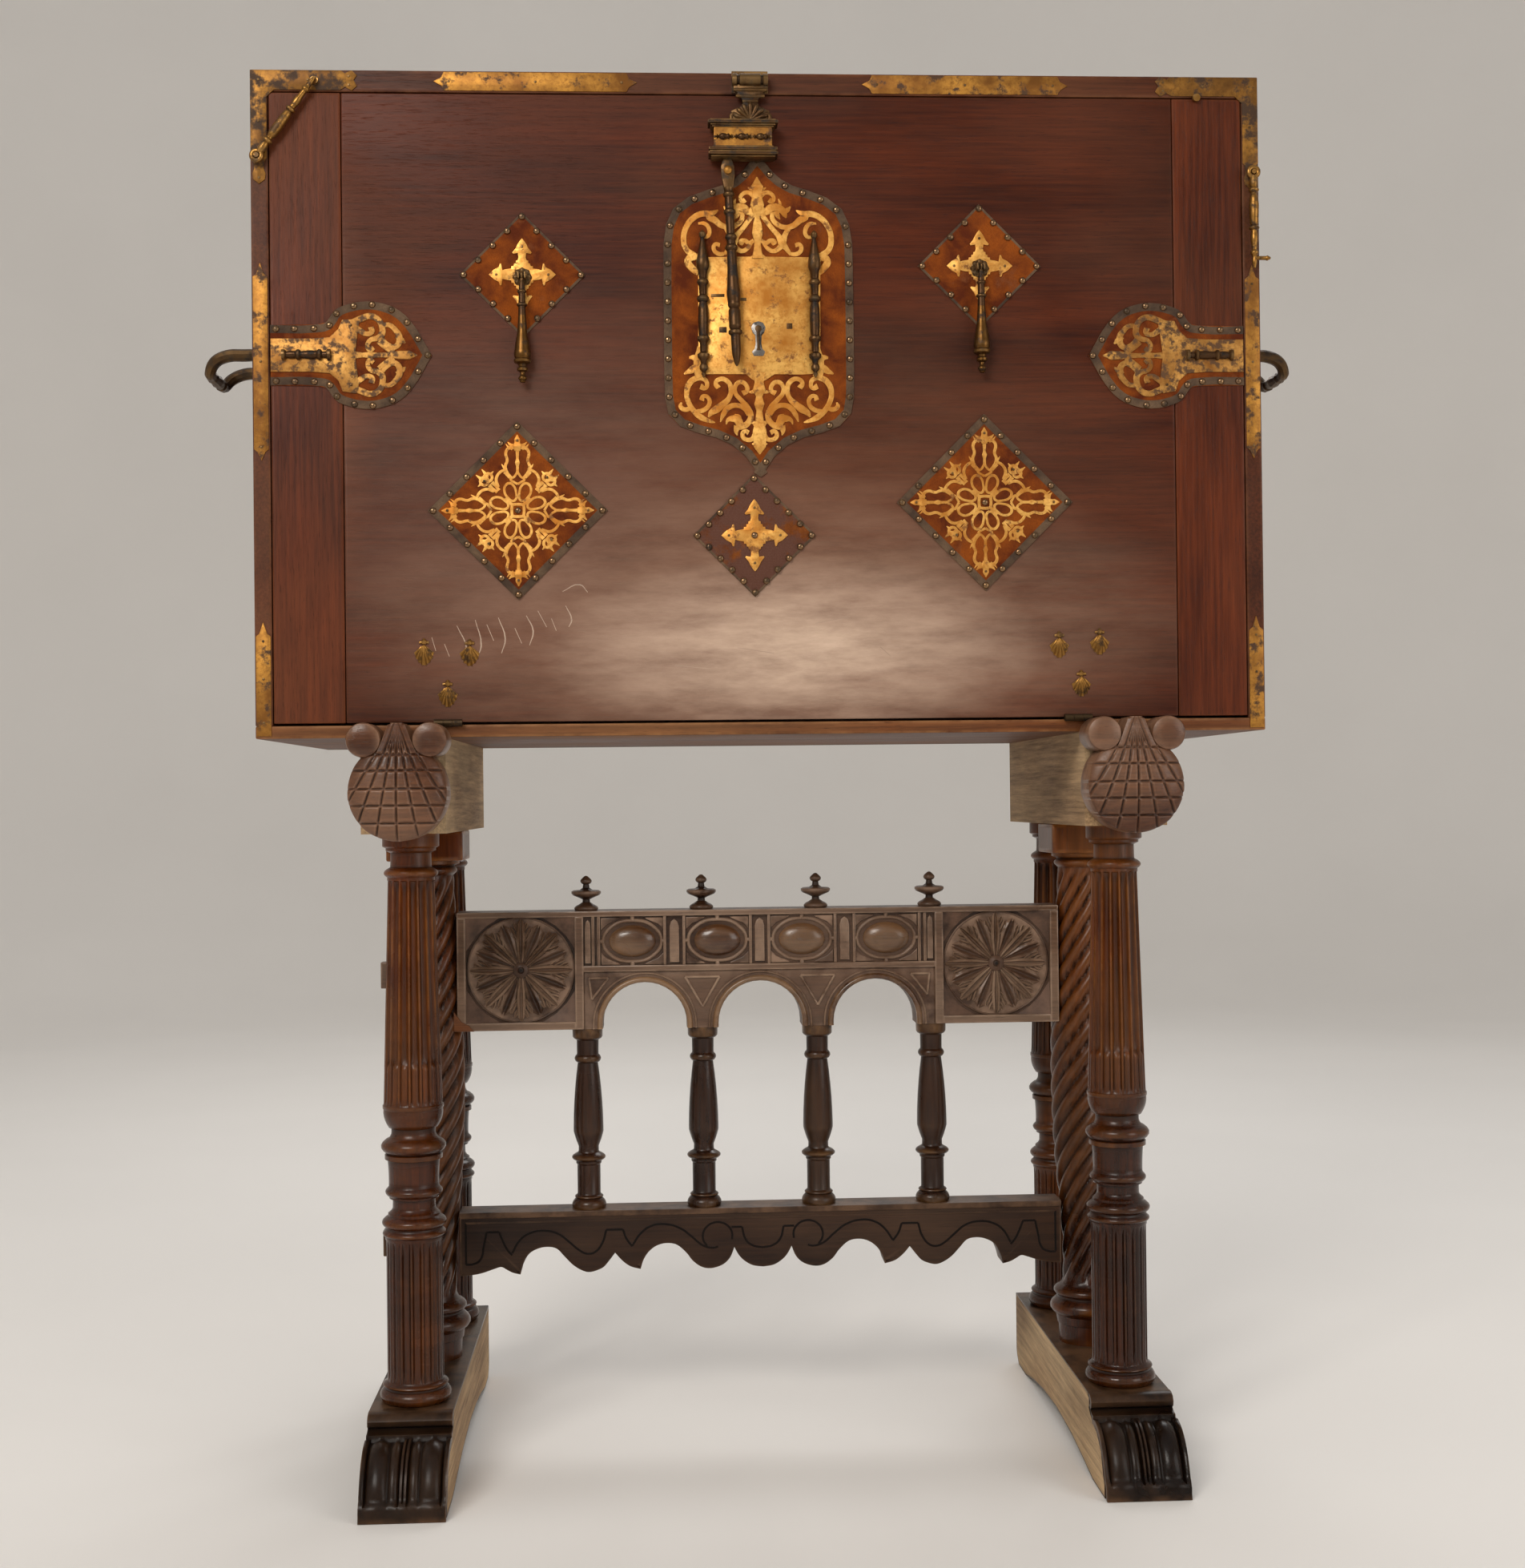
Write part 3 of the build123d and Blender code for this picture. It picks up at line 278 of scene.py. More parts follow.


# patches on the fall: the pale ones about the middle and lower middle are a painted sheen, brightest in a
# painted highlight low in the middle; the others darken and warm the upper corners and add a pale streak at
# the left
fallSheenAndPatches = [
    ((-0.05, 0.98), (0.52, 0.32), 0.8, "6d4a37"), ((-0.25, 1.02), (0.30, 0.26), 0.5, "73564a"),
    ((0.02, 0.90), (0.48, 0.17), 0.85, "9c7c68"), ((0.03, 0.878), (0.27, 0.10), 0.9, "d8bea8"),
    ((-0.45, 1.42), (0.34, 0.12), 0.6, "5a2409"), ((0.47, 1.40), (0.14, 0.2), 0.8, "241006"),
    ((-0.45, 1.15), (0.05, 0.25), 0.5, "7e4e36")
]
fallWood = makeWood(
    "fallWalnut", "2e1106", "54230c", "5e3622", alongX, streak=0.45, gloss=0.42, edge=0.4,
    marks=fallSheenAndPatches, shine=0.16
)
clampWood = makeWood(
    "clampWalnut", "381508", "662e14", "704126", alongZ, cloud=0.4, streak=0.45, gloss=0.42, edge=0.4,
    shift=(0.7, 0.2, 0.1), shine=0.16
)
insideWood = makeWood(
    "writingFace", "3c180a", "6e3618", "8a5632", alongX, cloud=0.4, streak=0.5, edge=0.4,
    shift=(0.4, 0.2, 0.9), shine=0.25
)
edgeWood = makeWood(
    "carcassWalnut", "331507", "582b13", "7e5032", alongX, cloud=0.35, streak=0.6, gloss=0.45, shine=0.2
)
paleEdgeWood = makeWood(
    "bottomWalnut", "42210f", "70401e", "9a6c44", alongX, streak=0.9, gloss=0.5, edge=0.9,
    shift=(0.2, 0.9, 0.3), shine=0.2
)
sideWood = makeWood(
    "sideWalnut", "331507", "582b13", "7a5036", alongY, cloud=0.4, gloss=0.45, shift=(0.3, 0.5, 0.2),
    shine=0.2
)
backWood = makeWood(
    "backBoards", "33200f", "573a22", "7a5f46", alongX, streak=0.9, gloss=0.6, shift=(0.9, 0.1, 0.6),
    shine=0.2
)
postDark = [((0, 0.30), (3.0, 0.42), 0.75, "1c0b03"), ((0, 0.12), (3.0, 0.30), 0.5, "1a0a04")]
postWood = makeWood(
    "columnWalnut", "2c1103", "632d0a", "9c6128", alongZ, cloud=0.4, streak=0.6, gloss=0.27, edge=1.0,
    dirtAndShade=0.95, marks=postDark, shine=0.34
)
turnedWood = makeWood(
    "turnedWalnut", "180b05", "3a2010", "70502f", alongZ, cloud=0.4, streak=0.6, gloss=0.28, edge=1.0,
    shift=(0.2, 0.3, 0.5), shine=0.34
)
beamWood = makeWood(
    "beamWalnut", "2a190f", "4c3120", "8e735f", alongX, cloud=0.4, streak=0.6, gloss=0.30, edge=1.0,
    dirtAndShade=0.8, shine=0.34
)
# paler wood for the beam's fillets, frames, rings, tongues, triangle borders and leaves: partly worn
# arrises, partly painted highlight where they catch the light
filletWood = makeWood(
    "wornAndLitFillets", "47301f", "6e5340", "a48a74", alongX, cloud=0.4, streak=0.4, gloss=0.30, edge=0.8,
    dirtAndShade=0.15, shift=(0.8, 0.1, 0.2)
)
# very dark wood for the beam's sunk ground, hollows and dark bands: darker than the beam's own wood, partly
# for dirt and partly as painted shade in the recesses
groundWood = makeWood(
    "carvedGround", "150a05", "2f1c11", "6a4f3e", alongX, streak=0.5, edge=0.9, dirtAndShade=1.0,
    shift=(0.4, 0.4, 0.1), shine=0.3
)
eggWood = makeWood(
    "polishedBosses", "301a0d", "5a371d", "9a7856", alongX, cloud=0.7, streak=0.4, gloss=0.22, edge=1.0,
    dirtAndShade=0.9, shift=(0.3, 0.1, 0.7), shine=0.6
)
stretcherWood = makeWood(
    "stretcherWalnut", "1c0f08", "352012", "664c38", alongX, cloud=0.4, streak=0.6, gloss=0.38, edge=0.8,
    dirtAndShade=1.0, shift=(0.6, 0.2, 0.5), shine=0.25
)
# near-black wood for the incised lines: they are flat strips on the face, and their darkness is painted
# shade for the cut
incisedWood = makeWood(
    "incisedLines", "090503", "120a06", "1c110b", alongX, cloud=0.3, streak=0.4, gloss=0.6, edge=0.2,
    dirtAndShade=1.0, shine=0.15
)
footWood = makeWood(
    "footWalnut", "0a0502", "1a0d06", "6a4c34", alongY, cloud=0.3, streak=0.6, gloss=0.28, edge=0.6,
    dirtAndShade=0.9, shine=0.2
)
shellWood = makeWood(
    "shellWalnut", "34190b", "5f3820", "a07c62", alongX, streak=0.5, gloss=0.30, edge=1.0, dirtAndShade=1.0,
    shift=(0.1, 0.8, 0.3), shine=0.36
)
rawWood = makeWood(
    "rawWood", "7c6247", "bd9c74", "d6bd98", alongY, streak=0.8, gloss=0.7, edge=0.0, dirtAndShade=0.0, shine=0.2
)
drawerWood = makeWood(
    "drawerWalnut", "522a16", "844c28", "a07248", alongX, cloud=0.4, streak=0.6, gloss=0.34, edge=0.0,
    dirtAndShade=0.0, shine=0.3
)
scratchedWood = makeWood(
    "paleScratches", "8a6f5e", "b39a86", "c8b09c", alongX, cloud=0.4, streak=0.2, gloss=0.55, edge=0.2,
    dirtAndShade=0.2
)


# gilt iron: leaf over iron, rubbed through in spots
def makeGilt(name, bright, deep, amount=0.35, metal=0.9, rough=0.36, scale=60.0, spots="3a2414"):
    material, tree, shader, place = startMaterial(name)
    patch = useGroup(tree, patchGroup, {"Vector": place, "Scale": scale, "Amount": amount})
    wearAndShade = useGroup(tree, wearAndShadeGroup, {"Vector": place, "Edge": 0.5, "DirtAndShade": 0.9})
    cloud = noiseOf(tree, place, 26, 4, 0.6)
    gold = blendTones(tree, between(tree, cloud, 0.35, 0.65), tone(deep), tone(bright))
    speck = noiseOf(tree, place, 210, 5, 0.7)
    worked = blendTones(tree, between(tree, speck, 0.46, 0.66, 0.0, 0.75), gold, tone(deep))
    spotted = blendTones(tree, patch["Mask"], worked, tone(spots))
    # painted shade and dirt darken the gilt in its hollows
    edged = blendTones(tree, wearAndShade["GrimeAndShade"], spotted, tone("2a180b"))
    tree.links.new(edged, shader.inputs["Base Color"])
    bare = sums(tree, "MAXIMUM", patch["Mask"], wearAndShade["GrimeAndShade"])
    tree.links.new(between(tree, bare, 0.0, 1.0, metal, metal * 0.35), shader.inputs["Metallic"])
    rub = sums(tree, "ADD", between(tree, bare, 0.0, 1.0, rough, 0.62), times(tree, cloud, 0.12))
    tree.links.new(rub, shader.inputs["Roughness"])
    bump(tree, shader, sums(tree, "ADD", times(tree, patch["Fine"], 0.3), cloud), 0.0006, 0.35)
    return material


def makeIron(name, light, dark, metal=0.85, rough=0.42, worn="b08a54", marks=0.4):
    material, tree, shader, place = startMaterial(name)
    patch = useGroup(tree, patchGroup, {"Vector": place, "Scale": 85.0, "Amount": 0.55})
    wearAndShade = useGroup(tree, wearAndShadeGroup, {"Vector": place, "Edge": marks, "DirtAndShade": marks})
    base = blendTones(tree, patch["Mask"], tone(light), tone(dark))
    shone = blendTones(tree, wearAndShade["Worn"], base, tone(worn))
    # painted shade and dirt darken the hollows of the iron
    withLightAndDirt = blendTones(tree, wearAndShade["GrimeAndShade"], shone, tone("0c0806"))
    tree.links.new(withLightAndDirt, shader.inputs["Base Color"])
    tree.links.new(
        between(tree, sums(tree, "MAXIMUM", patch["Mask"], wearAndShade["GrimeAndShade"]), 0, 1, metal, metal * 0.6),
        shader.inputs["Metallic"]
    )
    tree.links.new(between(tree, patch["Mask"], 0.0, 1.0, rough, rough + 0.2), shader.inputs["Roughness"])
    bump(tree, shader, sums(tree, "ADD", patch["Mask"], patch["Fine"]), 0.0004, 0.3)
    return material


goldLeaf = makeGilt(
    "giltIron", "f0bc66", "b9762c", amount=0.42, metal=0.82, rough=0.40, scale=95.0, spots="84521f"
)
oldLeaf = makeGilt(
    "wornGilt", "c08a3c", "7c5022", amount=0.5, metal=0.8, rough=0.42, scale=70.0, spots="4a301a"
)
strapGilt = makeGilt(
    "strapGilt", "cf9c52", "8a5a26", amount=0.6, metal=0.8, rough=0.44, scale=110.0, spots="5a3c20"
)
cornerGilt = makeGilt(
    "cornerGilt", "9c6e2e", "64421c", amount=0.6, metal=0.78, rough=0.40, scale=48.0, spots="3e2814"
)
darkIron = makeIron("darkIron", "44311f", "20160f")
brownIron = makeIron("brownIron", "48301a", "1e130b", metal=0.8, rough=0.38)
pullIron = makeIron("pullBronze", "61421d", "321f0e", metal=0.9, rough=0.32)
bronzeIron = makeIron("rubbedGilt", "8e6630", "462e14", metal=0.9, rough=0.32, marks=0.6)
hingeIron = makeIron("hingeIron", "43331f", "20160f", metal=0.8, rough=0.45, marks=0.0)
tackIron = makeIron("tackHeads", "7c624a", "33271d", metal=0.95, rough=0.2)
steelIron = makeIron("keyholeSteel", "7c7874", "2c2a28", metal=0.95, rough=0.34, worn="8c7a68")


# velvet: short pile that catches light at the edge, bald in places
def makeVelvet(name, pile, deep, bald, amount):
    material, tree, shader, place = startMaterial(name)
    patch = useGroup(tree, patchGroup, {"Vector": place, "Scale": 24.0, "Amount": amount})
    nap = noiseOf(tree, stretched(tree, place, (900, 900, 500)), 1.0, 2, 0.7)
    cloud = noiseOf(tree, place, 34, 4, 0.6, 0.4)
    pileColour = blendTones(tree, between(tree, cloud, 0.36, 0.66), tone(deep), tone(pile))
    weave = addNode(
        tree, "ShaderNodeTexWave", {"Vector": place, "Scale": 260.0, "Distortion": 1.5},
        wave_type="BANDS", bands_direction="Z"
    ).outputs["Fac"]
    baldColour = blendTones(tree, between(tree, weave, 0, 1, 0.0, 0.35), tone(bald), tone(deep))
    mixed = blendTones(tree, patch["Mask"], pileColour, baldColour)
    flecked = blendTones(tree, between(tree, nap, 0.4, 0.7, 0.0, 0.35), mixed, tone(deep))
    tree.links.new(flecked, shader.inputs["Base Color"])
    shader.inputs["Roughness"].default_value = 0.9
    shader.inputs["Specular IOR Level"].default_value = 0.2
    shader.inputs["Sheen Weight"].default_value = 0.35
    shader.inputs["Sheen Roughness"].default_value = 0.4
    shader.inputs["Sheen Tint"].default_value = tone("d08850")
    bump(tree, shader, sums(tree, "SUBTRACT", nap, times(tree, patch["Mask"], 0.5)), 0.0006, 0.6)
    return material


rustVelvet = makeVelvet("rustVelvet", "8c450c", "521f05", "7a4626", amount=0.3)
baldVelvet = makeVelvet("baldVelvet", "84481a", "4e2408", "604238", amount=0.85)
braidCloth = makeVelvet("oliveBraid", "6b5541", "42342a", "584635", amount=0.3)
print("materials made")


# helpers for shapes; drawings are in millimetres, and placing turns them into metres
def frontAt(x, y, z, turn=0.0, flip=1):
    # drawing x to the right, drawing y upwards, drawing z towards the front
    spin = Matrix.Rotation(math.radians(turn), 4, "Z") @ Matrix.Diagonal((flip, 1, 1, 1))
    return standAt(x, y, z, toFront) @ spin


def standAt(x, y, z, turn=Matrix.Identity(4)):
    return Matrix.Translation((x * mm, y * mm, z * mm)) @ turn @ Matrix.Scale(mm, 4)


def layAlong(x, y, z, way=1):
    # a turned shape laid down, its foot at the place and its axis running left to right
    return standAt(x, y, z, Matrix.Rotation(way * math.pi / 2, 4, "Y"))


def raised(factor):
    # a shape made thicker or thinner, as it stands out from its ground
    return Matrix.Diagonal((1, 1, factor, 1))


def sideAt(x):
    # drawing x runs to the back, drawing y upwards, drawing z to the right
    axes = Matrix(((0, 0, 1, 0), (1, 0, 0, 0), (0, 1, 0, 0), (0, 0, 0, 1)))
    return Matrix.Translation((x * mm, 0, 0)) @ Matrix.Scale(mm, 4) @ axes


asDrawn = Matrix.Scale(mm, 4)
toFront = Matrix.Rotation(math.pi / 2, 4, "X")


def keepMesh(bm, name="tool"):
    mesh = bpy.data.meshes.new(name)
    bm.to_mesh(mesh)
    bm.free()
    return mesh


def stamp(bm, mesh, place, index=None):
    firstVert, firstFace = len(bm.verts), len(bm.faces)
    bm.from_mesh(mesh)
    bm.verts.ensure_lookup_table()
    bm.faces.ensure_lookup_table()
    bmesh.ops.transform(bm, matrix=place, verts=bm.verts[firstVert:])
    if place.determinant() < 0:
        bmesh.ops.reverse_faces(bm, faces=bm.faces[firstFace:])
    if index is not None:
        for face in bm.faces[firstFace:]:
            face.material_index = index


def addPiece(name, bm, body, materials, nodes=(), sharp=35):
    mesh = keepMesh(bm, name)
    for material in materials if isinstance(materials, (list, tuple)) else [materials]:
        mesh.materials.append(material)
    mesh.shade_smooth()
    mesh.set_sharp_from_angle(angle=math.radians(sharp))
    obj = linked(name, mesh)
    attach(obj, body)
    if nodes:
        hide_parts(*nodes)
    return obj


def boxMesh(low, high, soft=1.0):
    bm = bmesh.new()
    bmesh.ops.create_cube(bm, size=1)
    bmesh.ops.scale(bm, vec=[b - a for a, b in zip(low, high)], verts=bm.verts)
    bmesh.ops.translate(bm, vec=[(a + b) / 2 for a, b in zip(low, high)], verts=bm.verts)
    if soft:
        bmesh.ops.bevel(
            bm, geom=bm.edges[:], offset=soft, affect="EDGES", segments=2, profile=0.5, material=-1
        )
        # a narrow margin keeps the wear at the arris, away from the middle of the board
        flats = [f for f in bm.faces if max(abs(c) for c in f.normal) > 0.999]
        margin = min([soft * 1.6] + [0.2 * (b - a - 2 * soft) for a, b in zip(low, high)])
        if margin > 0.05:
            bmesh.ops.inset_individual(bm, faces=flats, thickness=margin, use_even_offset=True)
    return keepMesh(bm)


def nodeBox(name):
    low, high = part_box(name)
    return [v / mm for v in low], [v / mm for v in high]


def vertsOf(geom):
    return [v for v in geom if isinstance(v, bmesh.types.BMVert)]


def wallDown(bm):
    # walls from the rim of a sheet down to the ground it stands on
    rim = [e for e in bm.edges if e.is_boundary]
    for vert in vertsOf(bmesh.ops.extrude_edge_only(bm, edges=rim)["geom"]):
        vert.co.z = 0


def plateMesh(outline, thick, soft=0.3):
    # a flat plate from its outline, its front edge eased
    bm = bmesh.new()
    face = bm.faces.new([bm.verts.new((x, y, 0)) for x, y in outline])
    top = vertsOf(bmesh.ops.extrude_face_region(bm, geom=[face])["geom"])
    bmesh.ops.translate(bm, vec=(0, 0, thick), verts=top)
    bmesh.ops.holes_fill(bm, edges=[e for e in bm.edges if e.is_boundary], sides=0)
    bmesh.ops.recalc_face_normals(bm, faces=bm.faces)
    if soft:
        rim = [e for e in bm.edges if all(v in top for v in e.verts)]
        bmesh.ops.bevel(bm, geom=rim, offset=soft, affect="EDGES", segments=2, profile=0.5, material=-1)
    if thick > 20:
        # on a board, a narrow margin keeps the wear at the arris
        flats = [f for f in bm.faces if abs(f.normal.z) > 0.999]
        bmesh.ops.inset_individual(bm, faces=flats, thickness=1.8, use_even_offset=True)
    return keepMesh(bm)


def mirrored(points):
    # an outline drawn on the right half, from top to bottom, completed on the left
    return list(points) + [(-x, y) for x, y in reversed(points) if abs(x) > 1e-6]


def roundSteps(steps):
    # (radius, height) is a straight, (middle radius, end radius, end height) a round moulding
    points = [steps[0]]
    for step in steps[1:]:
        if len(step) == 2:
            points.append(step)
            continue
        (r0, z0), (mid, r1, z1) = points[-1], step
        pull = 2 * mid - (r0 + r1) / 2
        for k in range(1, 6):
            t = k / 5
            points.append(((1 - t) ** 2 * r0 + 2 * t * (1 - t) * pull + t * t * r1, z0 + (z1 - z0) * t))
    return points


def turnedMesh(steps, sides=32):
    bm = bmesh.new()
    points = roundSteps(steps)
    if points[0][0] > 0:
        points = [(0, points[0][1])] + points
    if points[-1][0] > 0:
        points = points + [(0, points[-1][1])]
    verts = [bm.verts.new((r, 0, z)) for r, z in points]
    edges = [bm.edges.new(pair) for pair in zip(verts, verts[1:])]
    bmesh.ops.spin(
        bm, geom=verts + edges, cent=(0, 0, 0), axis=(0, 0, 1), angle=2 * math.pi, steps=sides,
        use_merge=True
    )
    bmesh.ops.remove_doubles(bm, verts=bm.verts, dist=0.0005)
    bmesh.ops.recalc_face_normals(bm, faces=bm.faces)
    return keepMesh(bm)


def sectionOf(points):
    # the cross section that a band is drawn with
    curve = bpy.data.curves.new("section", "CURVE")
    curve.dimensions = "2D"
    spline = curve.splines.new("POLY")
    spline.points.add(len(points) - 1)
    for point, (x, y) in zip(spline.points, points):
        point.co = (x, y, 0, 1)
    spline.use_cyclic_u = True
    return linked("section", curve)


sections = {
    "flat": sectionOf([(-1, 0), (-1, 0.24), (-0.86, 0.32), (0, 0.34), (0.86, 0.32), (1, 0.24), (1, 0)]),
    "round": sectionOf([(-1, 0), (-0.87, 0.5), (-0.5, 0.87), (0, 1), (0.5, 0.87), (0.87, 0.5), (1, 0)]),
    "leaf": sectionOf(
        [
            (-1, 0), (-0.86, 0.34), (-0.5, 0.5), (-0.12, 0.16), (0.12, 0.16), (0.5, 0.5), (0.86, 0.34),
            (1, 0)
        ]
    ),
    "lobe": sectionOf(
        [
            (-0.4, -0.8), (0, -1), (0.34, -0.86), (0.52, -0.45), (0.58, 0), (0.52, 0.45), (0.34, 0.86),
            (0, 1), (-0.4, 0.8)
        ]
    )
}


def meshOfCurve(curve):
    holder = linked(curve.name, curve)
    mesh = bpy.data.meshes.new_from_object(holder.evaluated_get(bpy.context.evaluated_depsgraph_get()))
    bpy.data.objects.remove(holder)
    bm = bmesh.new()
    bm.from_mesh(mesh)
    bmesh.ops.remove_doubles(bm, verts=bm.verts, dist=0.0005)
    bmesh.ops.recalc_face_normals(bm, faces=bm.faces)
    return keepMesh(bm)


def bandMesh(strokes, section="flat", steps=5, loops=(), scale=1.0):
    # bands through (x, y, half width) points; the width also sets how thick the metal stands
    curve = bpy.data.curves.new("bands", "CURVE")
    curve.dimensions = "2D"
    curve.fill_mode = "NONE"
    curve.resolution_u = steps
    curve.bevel_mode = "OBJECT"
    curve.bevel_object = sections[section]
    curve.use_fill_caps = True
    for closed, group in ((False, strokes), (True, loops)):
        for stroke in group:
            spline = curve.splines.new("BEZIER")
            spline.bezier_points.add(len(stroke) - 1)
            for point, (x, y, half) in zip(spline.bezier_points, stroke):
                point.co = (x, y, 0)
                point.handle_left_type = point.handle_right_type = "AUTO"
                point.radius = max(half * scale, 0.05)
            spline.use_cyclic_u = closed
    return meshOfCurve(curve)


def ringMesh(radius, half, steps):
    # a round ring, from two half round bands back to back
    path = [(radius, 0, half), (0, radius, half), (-radius, 0, half), (0, -radius, half)]
    bm = bmesh.new()
    for face in (1, -1):
        stamp(bm, bandMesh([], "round", steps, [path]), Matrix.Diagonal((1, 1, face, 1)))
    return keepMesh(bm)


# the chest's boards
boardLook = {
    "chest_top": ("chestTop", edgeWood, 1.6), "chest_bottom": ("chestBottom", paleEdgeWood, 1.4),
    "chest_back": ("chestBack", backWood, 1.2), "left_chest_side": ("leftChestSide", sideWood, 1.2),
    "right_chest_side": ("rightChestSide", sideWood, 1.2)
}
for node, (name, wood, ease) in boardLook.items():
    low, high = nodeBox(node)
    bm = bmesh.new()
    stamp(bm, boxMesh(low, high, ease), asDrawn)
    addPiece(name, bm, chestBody, wood, [node])

low, high = nodeBox("fall_panel")
fallLook = {"half": high[0], "outer": 511.0, "seam": 0.35, "ease": 1.2}
bm = bmesh.new()
seam, ease = fallLook["seam"], fallLook["ease"]
stamp(bm, boxMesh((low[0] + seam, low[1], low[2]), (high[0] - seam, high[1], high[2]), ease), asDrawn)
# the inner face, seen when the fall is down, never met hands or weather
bm.normal_update()
for face in bm.faces:
    if face.normal.y > 0.9:
        face.material_index = 1
addPiece("fallPanel", bm, fallBody, [fallWood, insideWood], ["fall_panel"])
bm = bmesh.new()
for side in (-1, 1):
    ends = sorted((side * (fallLook["half"] + seam), side * fallLook["outer"]))
    stamp(bm, boxMesh((ends[0], low[1], low[2]), (ends[1], high[1], high[2]), ease), asDrawn)
addPiece("fallClamps", bm, fallBody, clampWood, ["fall_clamps"])
print("boards made")
frontY, velvetY, plateY = -189.5, -191.0, -192.2  # faces of the fall, the velvet and the gilt plates


# dome headed tacks, one small shape stamped many times
tackLook = {"radius": 3.6, "height": 2.6, "sides": 12}
tackCurve = [(1, 0), (0.96, 0.3), (0.78, 0.68), (0.42, 0.93), (0, 1)]
dome = turnedMesh(
    [(tackLook["radius"] * r, tackLook["height"] * z) for r, z in tackCurve], tackLook["sides"]
)


# velvet grounds with a braid and tacks round the edge
velvetLook = {"thick": 1.5, "ease": 0.6, "braidRise": 1.3}


def velvetMesh(outline):
    return plateMesh(outline, velvetLook["thick"], velvetLook["ease"])


def diamondOutline(half):
    return [(0, half), (half, 0), (0, -half), (-half, 0)]


def edgePlaces(corners, count):
    places = []
    for (x0, y0), (x1, y1) in zip(corners, corners[1:] + corners[:1]):
        places += [(x0 + (x1 - x0) * k / count, y0 + (y1 - y0) * k / count) for k in range(count)]
    return places


def braidAlong(corners, half):
    # straight runs of braid round a closed line, each reaching past its corners enough to close them
    runs = [Vector(b) - Vector(a) for a, b in zip(corners, corners[1:] + corners[:1])]
    reach = [half * math.tan(min(2.0, runs[k - 1].angle(runs[k])) / 2) for k in range(len(runs))]
    strokes = []
    for k, run in enumerate(runs):
        start, ahead = Vector(corners[k]), run.normalized()
        ends = (start - ahead * reach[k], start + run / 2, start + run + ahead * reach[(k + 1) % len(runs)])
        strokes.append([(end.x, end.y, half) for end in ends])
    return strokes


upperCrosses = {"left": (-250.5, 1270.5), "right": (229.5, 1281.0)}
lowerRosettes = {"left": (-257.5, 1024.5), "right": (232.5, 1031.5)}
middleCross = (-11.0, 997.5)
# half size, tacks on a side, half width of the braid
diamondLook = {
    "cross": (64.5, 4, 3.2), "rosette": (92.5, 5, 4.0), "middle": (63.5, 5, 3.2), "proud": 0.9,
    "under": 2.0
}

braidRise = raised(velvetLook["braidRise"])
velvetBm, baldBm, braidBm, tackBm = bmesh.new(), bmesh.new(), bmesh.new(), bmesh.new()
for bm, places, kind in (
    (velvetBm, upperCrosses.values(), "cross"), (velvetBm, lowerRosettes.values(), "rosette"),
    (baldBm, [middleCross], "middle")
):
    half, count, braidHalf = diamondLook[kind]
    for x, z in places:
        stamp(bm, velvetMesh(diamondOutline(half - diamondLook["under"])), frontAt(x, frontY, z))
        corners = diamondOutline(half + diamondLook["proud"] - braidHalf * math.sqrt(2))
        braid = bandMesh(braidAlong(corners, braidHalf), "flat", 1)
        stamp(braidBm, braid, frontAt(x, frontY, z) @ braidRise)
        for a, b in edgePlaces(corners, count):
            stamp(tackBm, dome, frontAt(x + a, velvetY - 0.4, z + b))

lockLook = {
    "x": -4.0, "braid": 4.3, "tackStep": 20.2, "thick": 1.3, "ease": 0.3, "scrolls": 1.04, "rods": 58.5,
    "rodFoot": 1162
}
lockX = lockLook["x"]
lockEdge = [
    (0, 1395), (6, 1388.5), (14, 1379), (23, 1371.5), (36, 1364.5), (54, 1359), (73, 1352), (88, 1341),
    (95, 1326), (98, 1306), (98.5, 1250), (98.5, 1165), (98, 1140), (95, 1124), (84, 1112.5), (66, 1106),
    (46, 1101), (28, 1093), (12, 1080), (0, 1063)
]
lockOutline = mirrored(lockEdge)
stamp(velvetBm, velvetMesh(lockOutline), frontAt(lockX, frontY, 0))
lockBraid = mirrored([(x * 0.968, z - 3.2 if z > 1250 else z + 3.4) for x, z in lockEdge])
stamp(
    braidBm, bandMesh(braidAlong(lockBraid, lockLook["braid"]), "flat", 1),
    frontAt(lockX, frontY, 0) @ braidRise
)


def evenSpots(path, step):
    # places at even steps along a closed line
    ends = path[1:] + path[:1]
    total = sum(math.dist(a, b) for a, b in zip(path, ends))
    gap = total / round(total / step)
    spots, need = [], 0.0
    for a, b in zip(path, ends):
        length = math.dist(a, b)
        while need < length:
            spots.append((a[0] + (b[0] - a[0]) * need / length, a[1] + (b[1] - a[1]) * need / length))
            need += gap
        need -= length
    return spots


for x, z in evenSpots(lockBraid, lockLook["tackStep"]):
    stamp(tackBm, dome, frontAt(lockX + x, velvetY - 0.5, z))

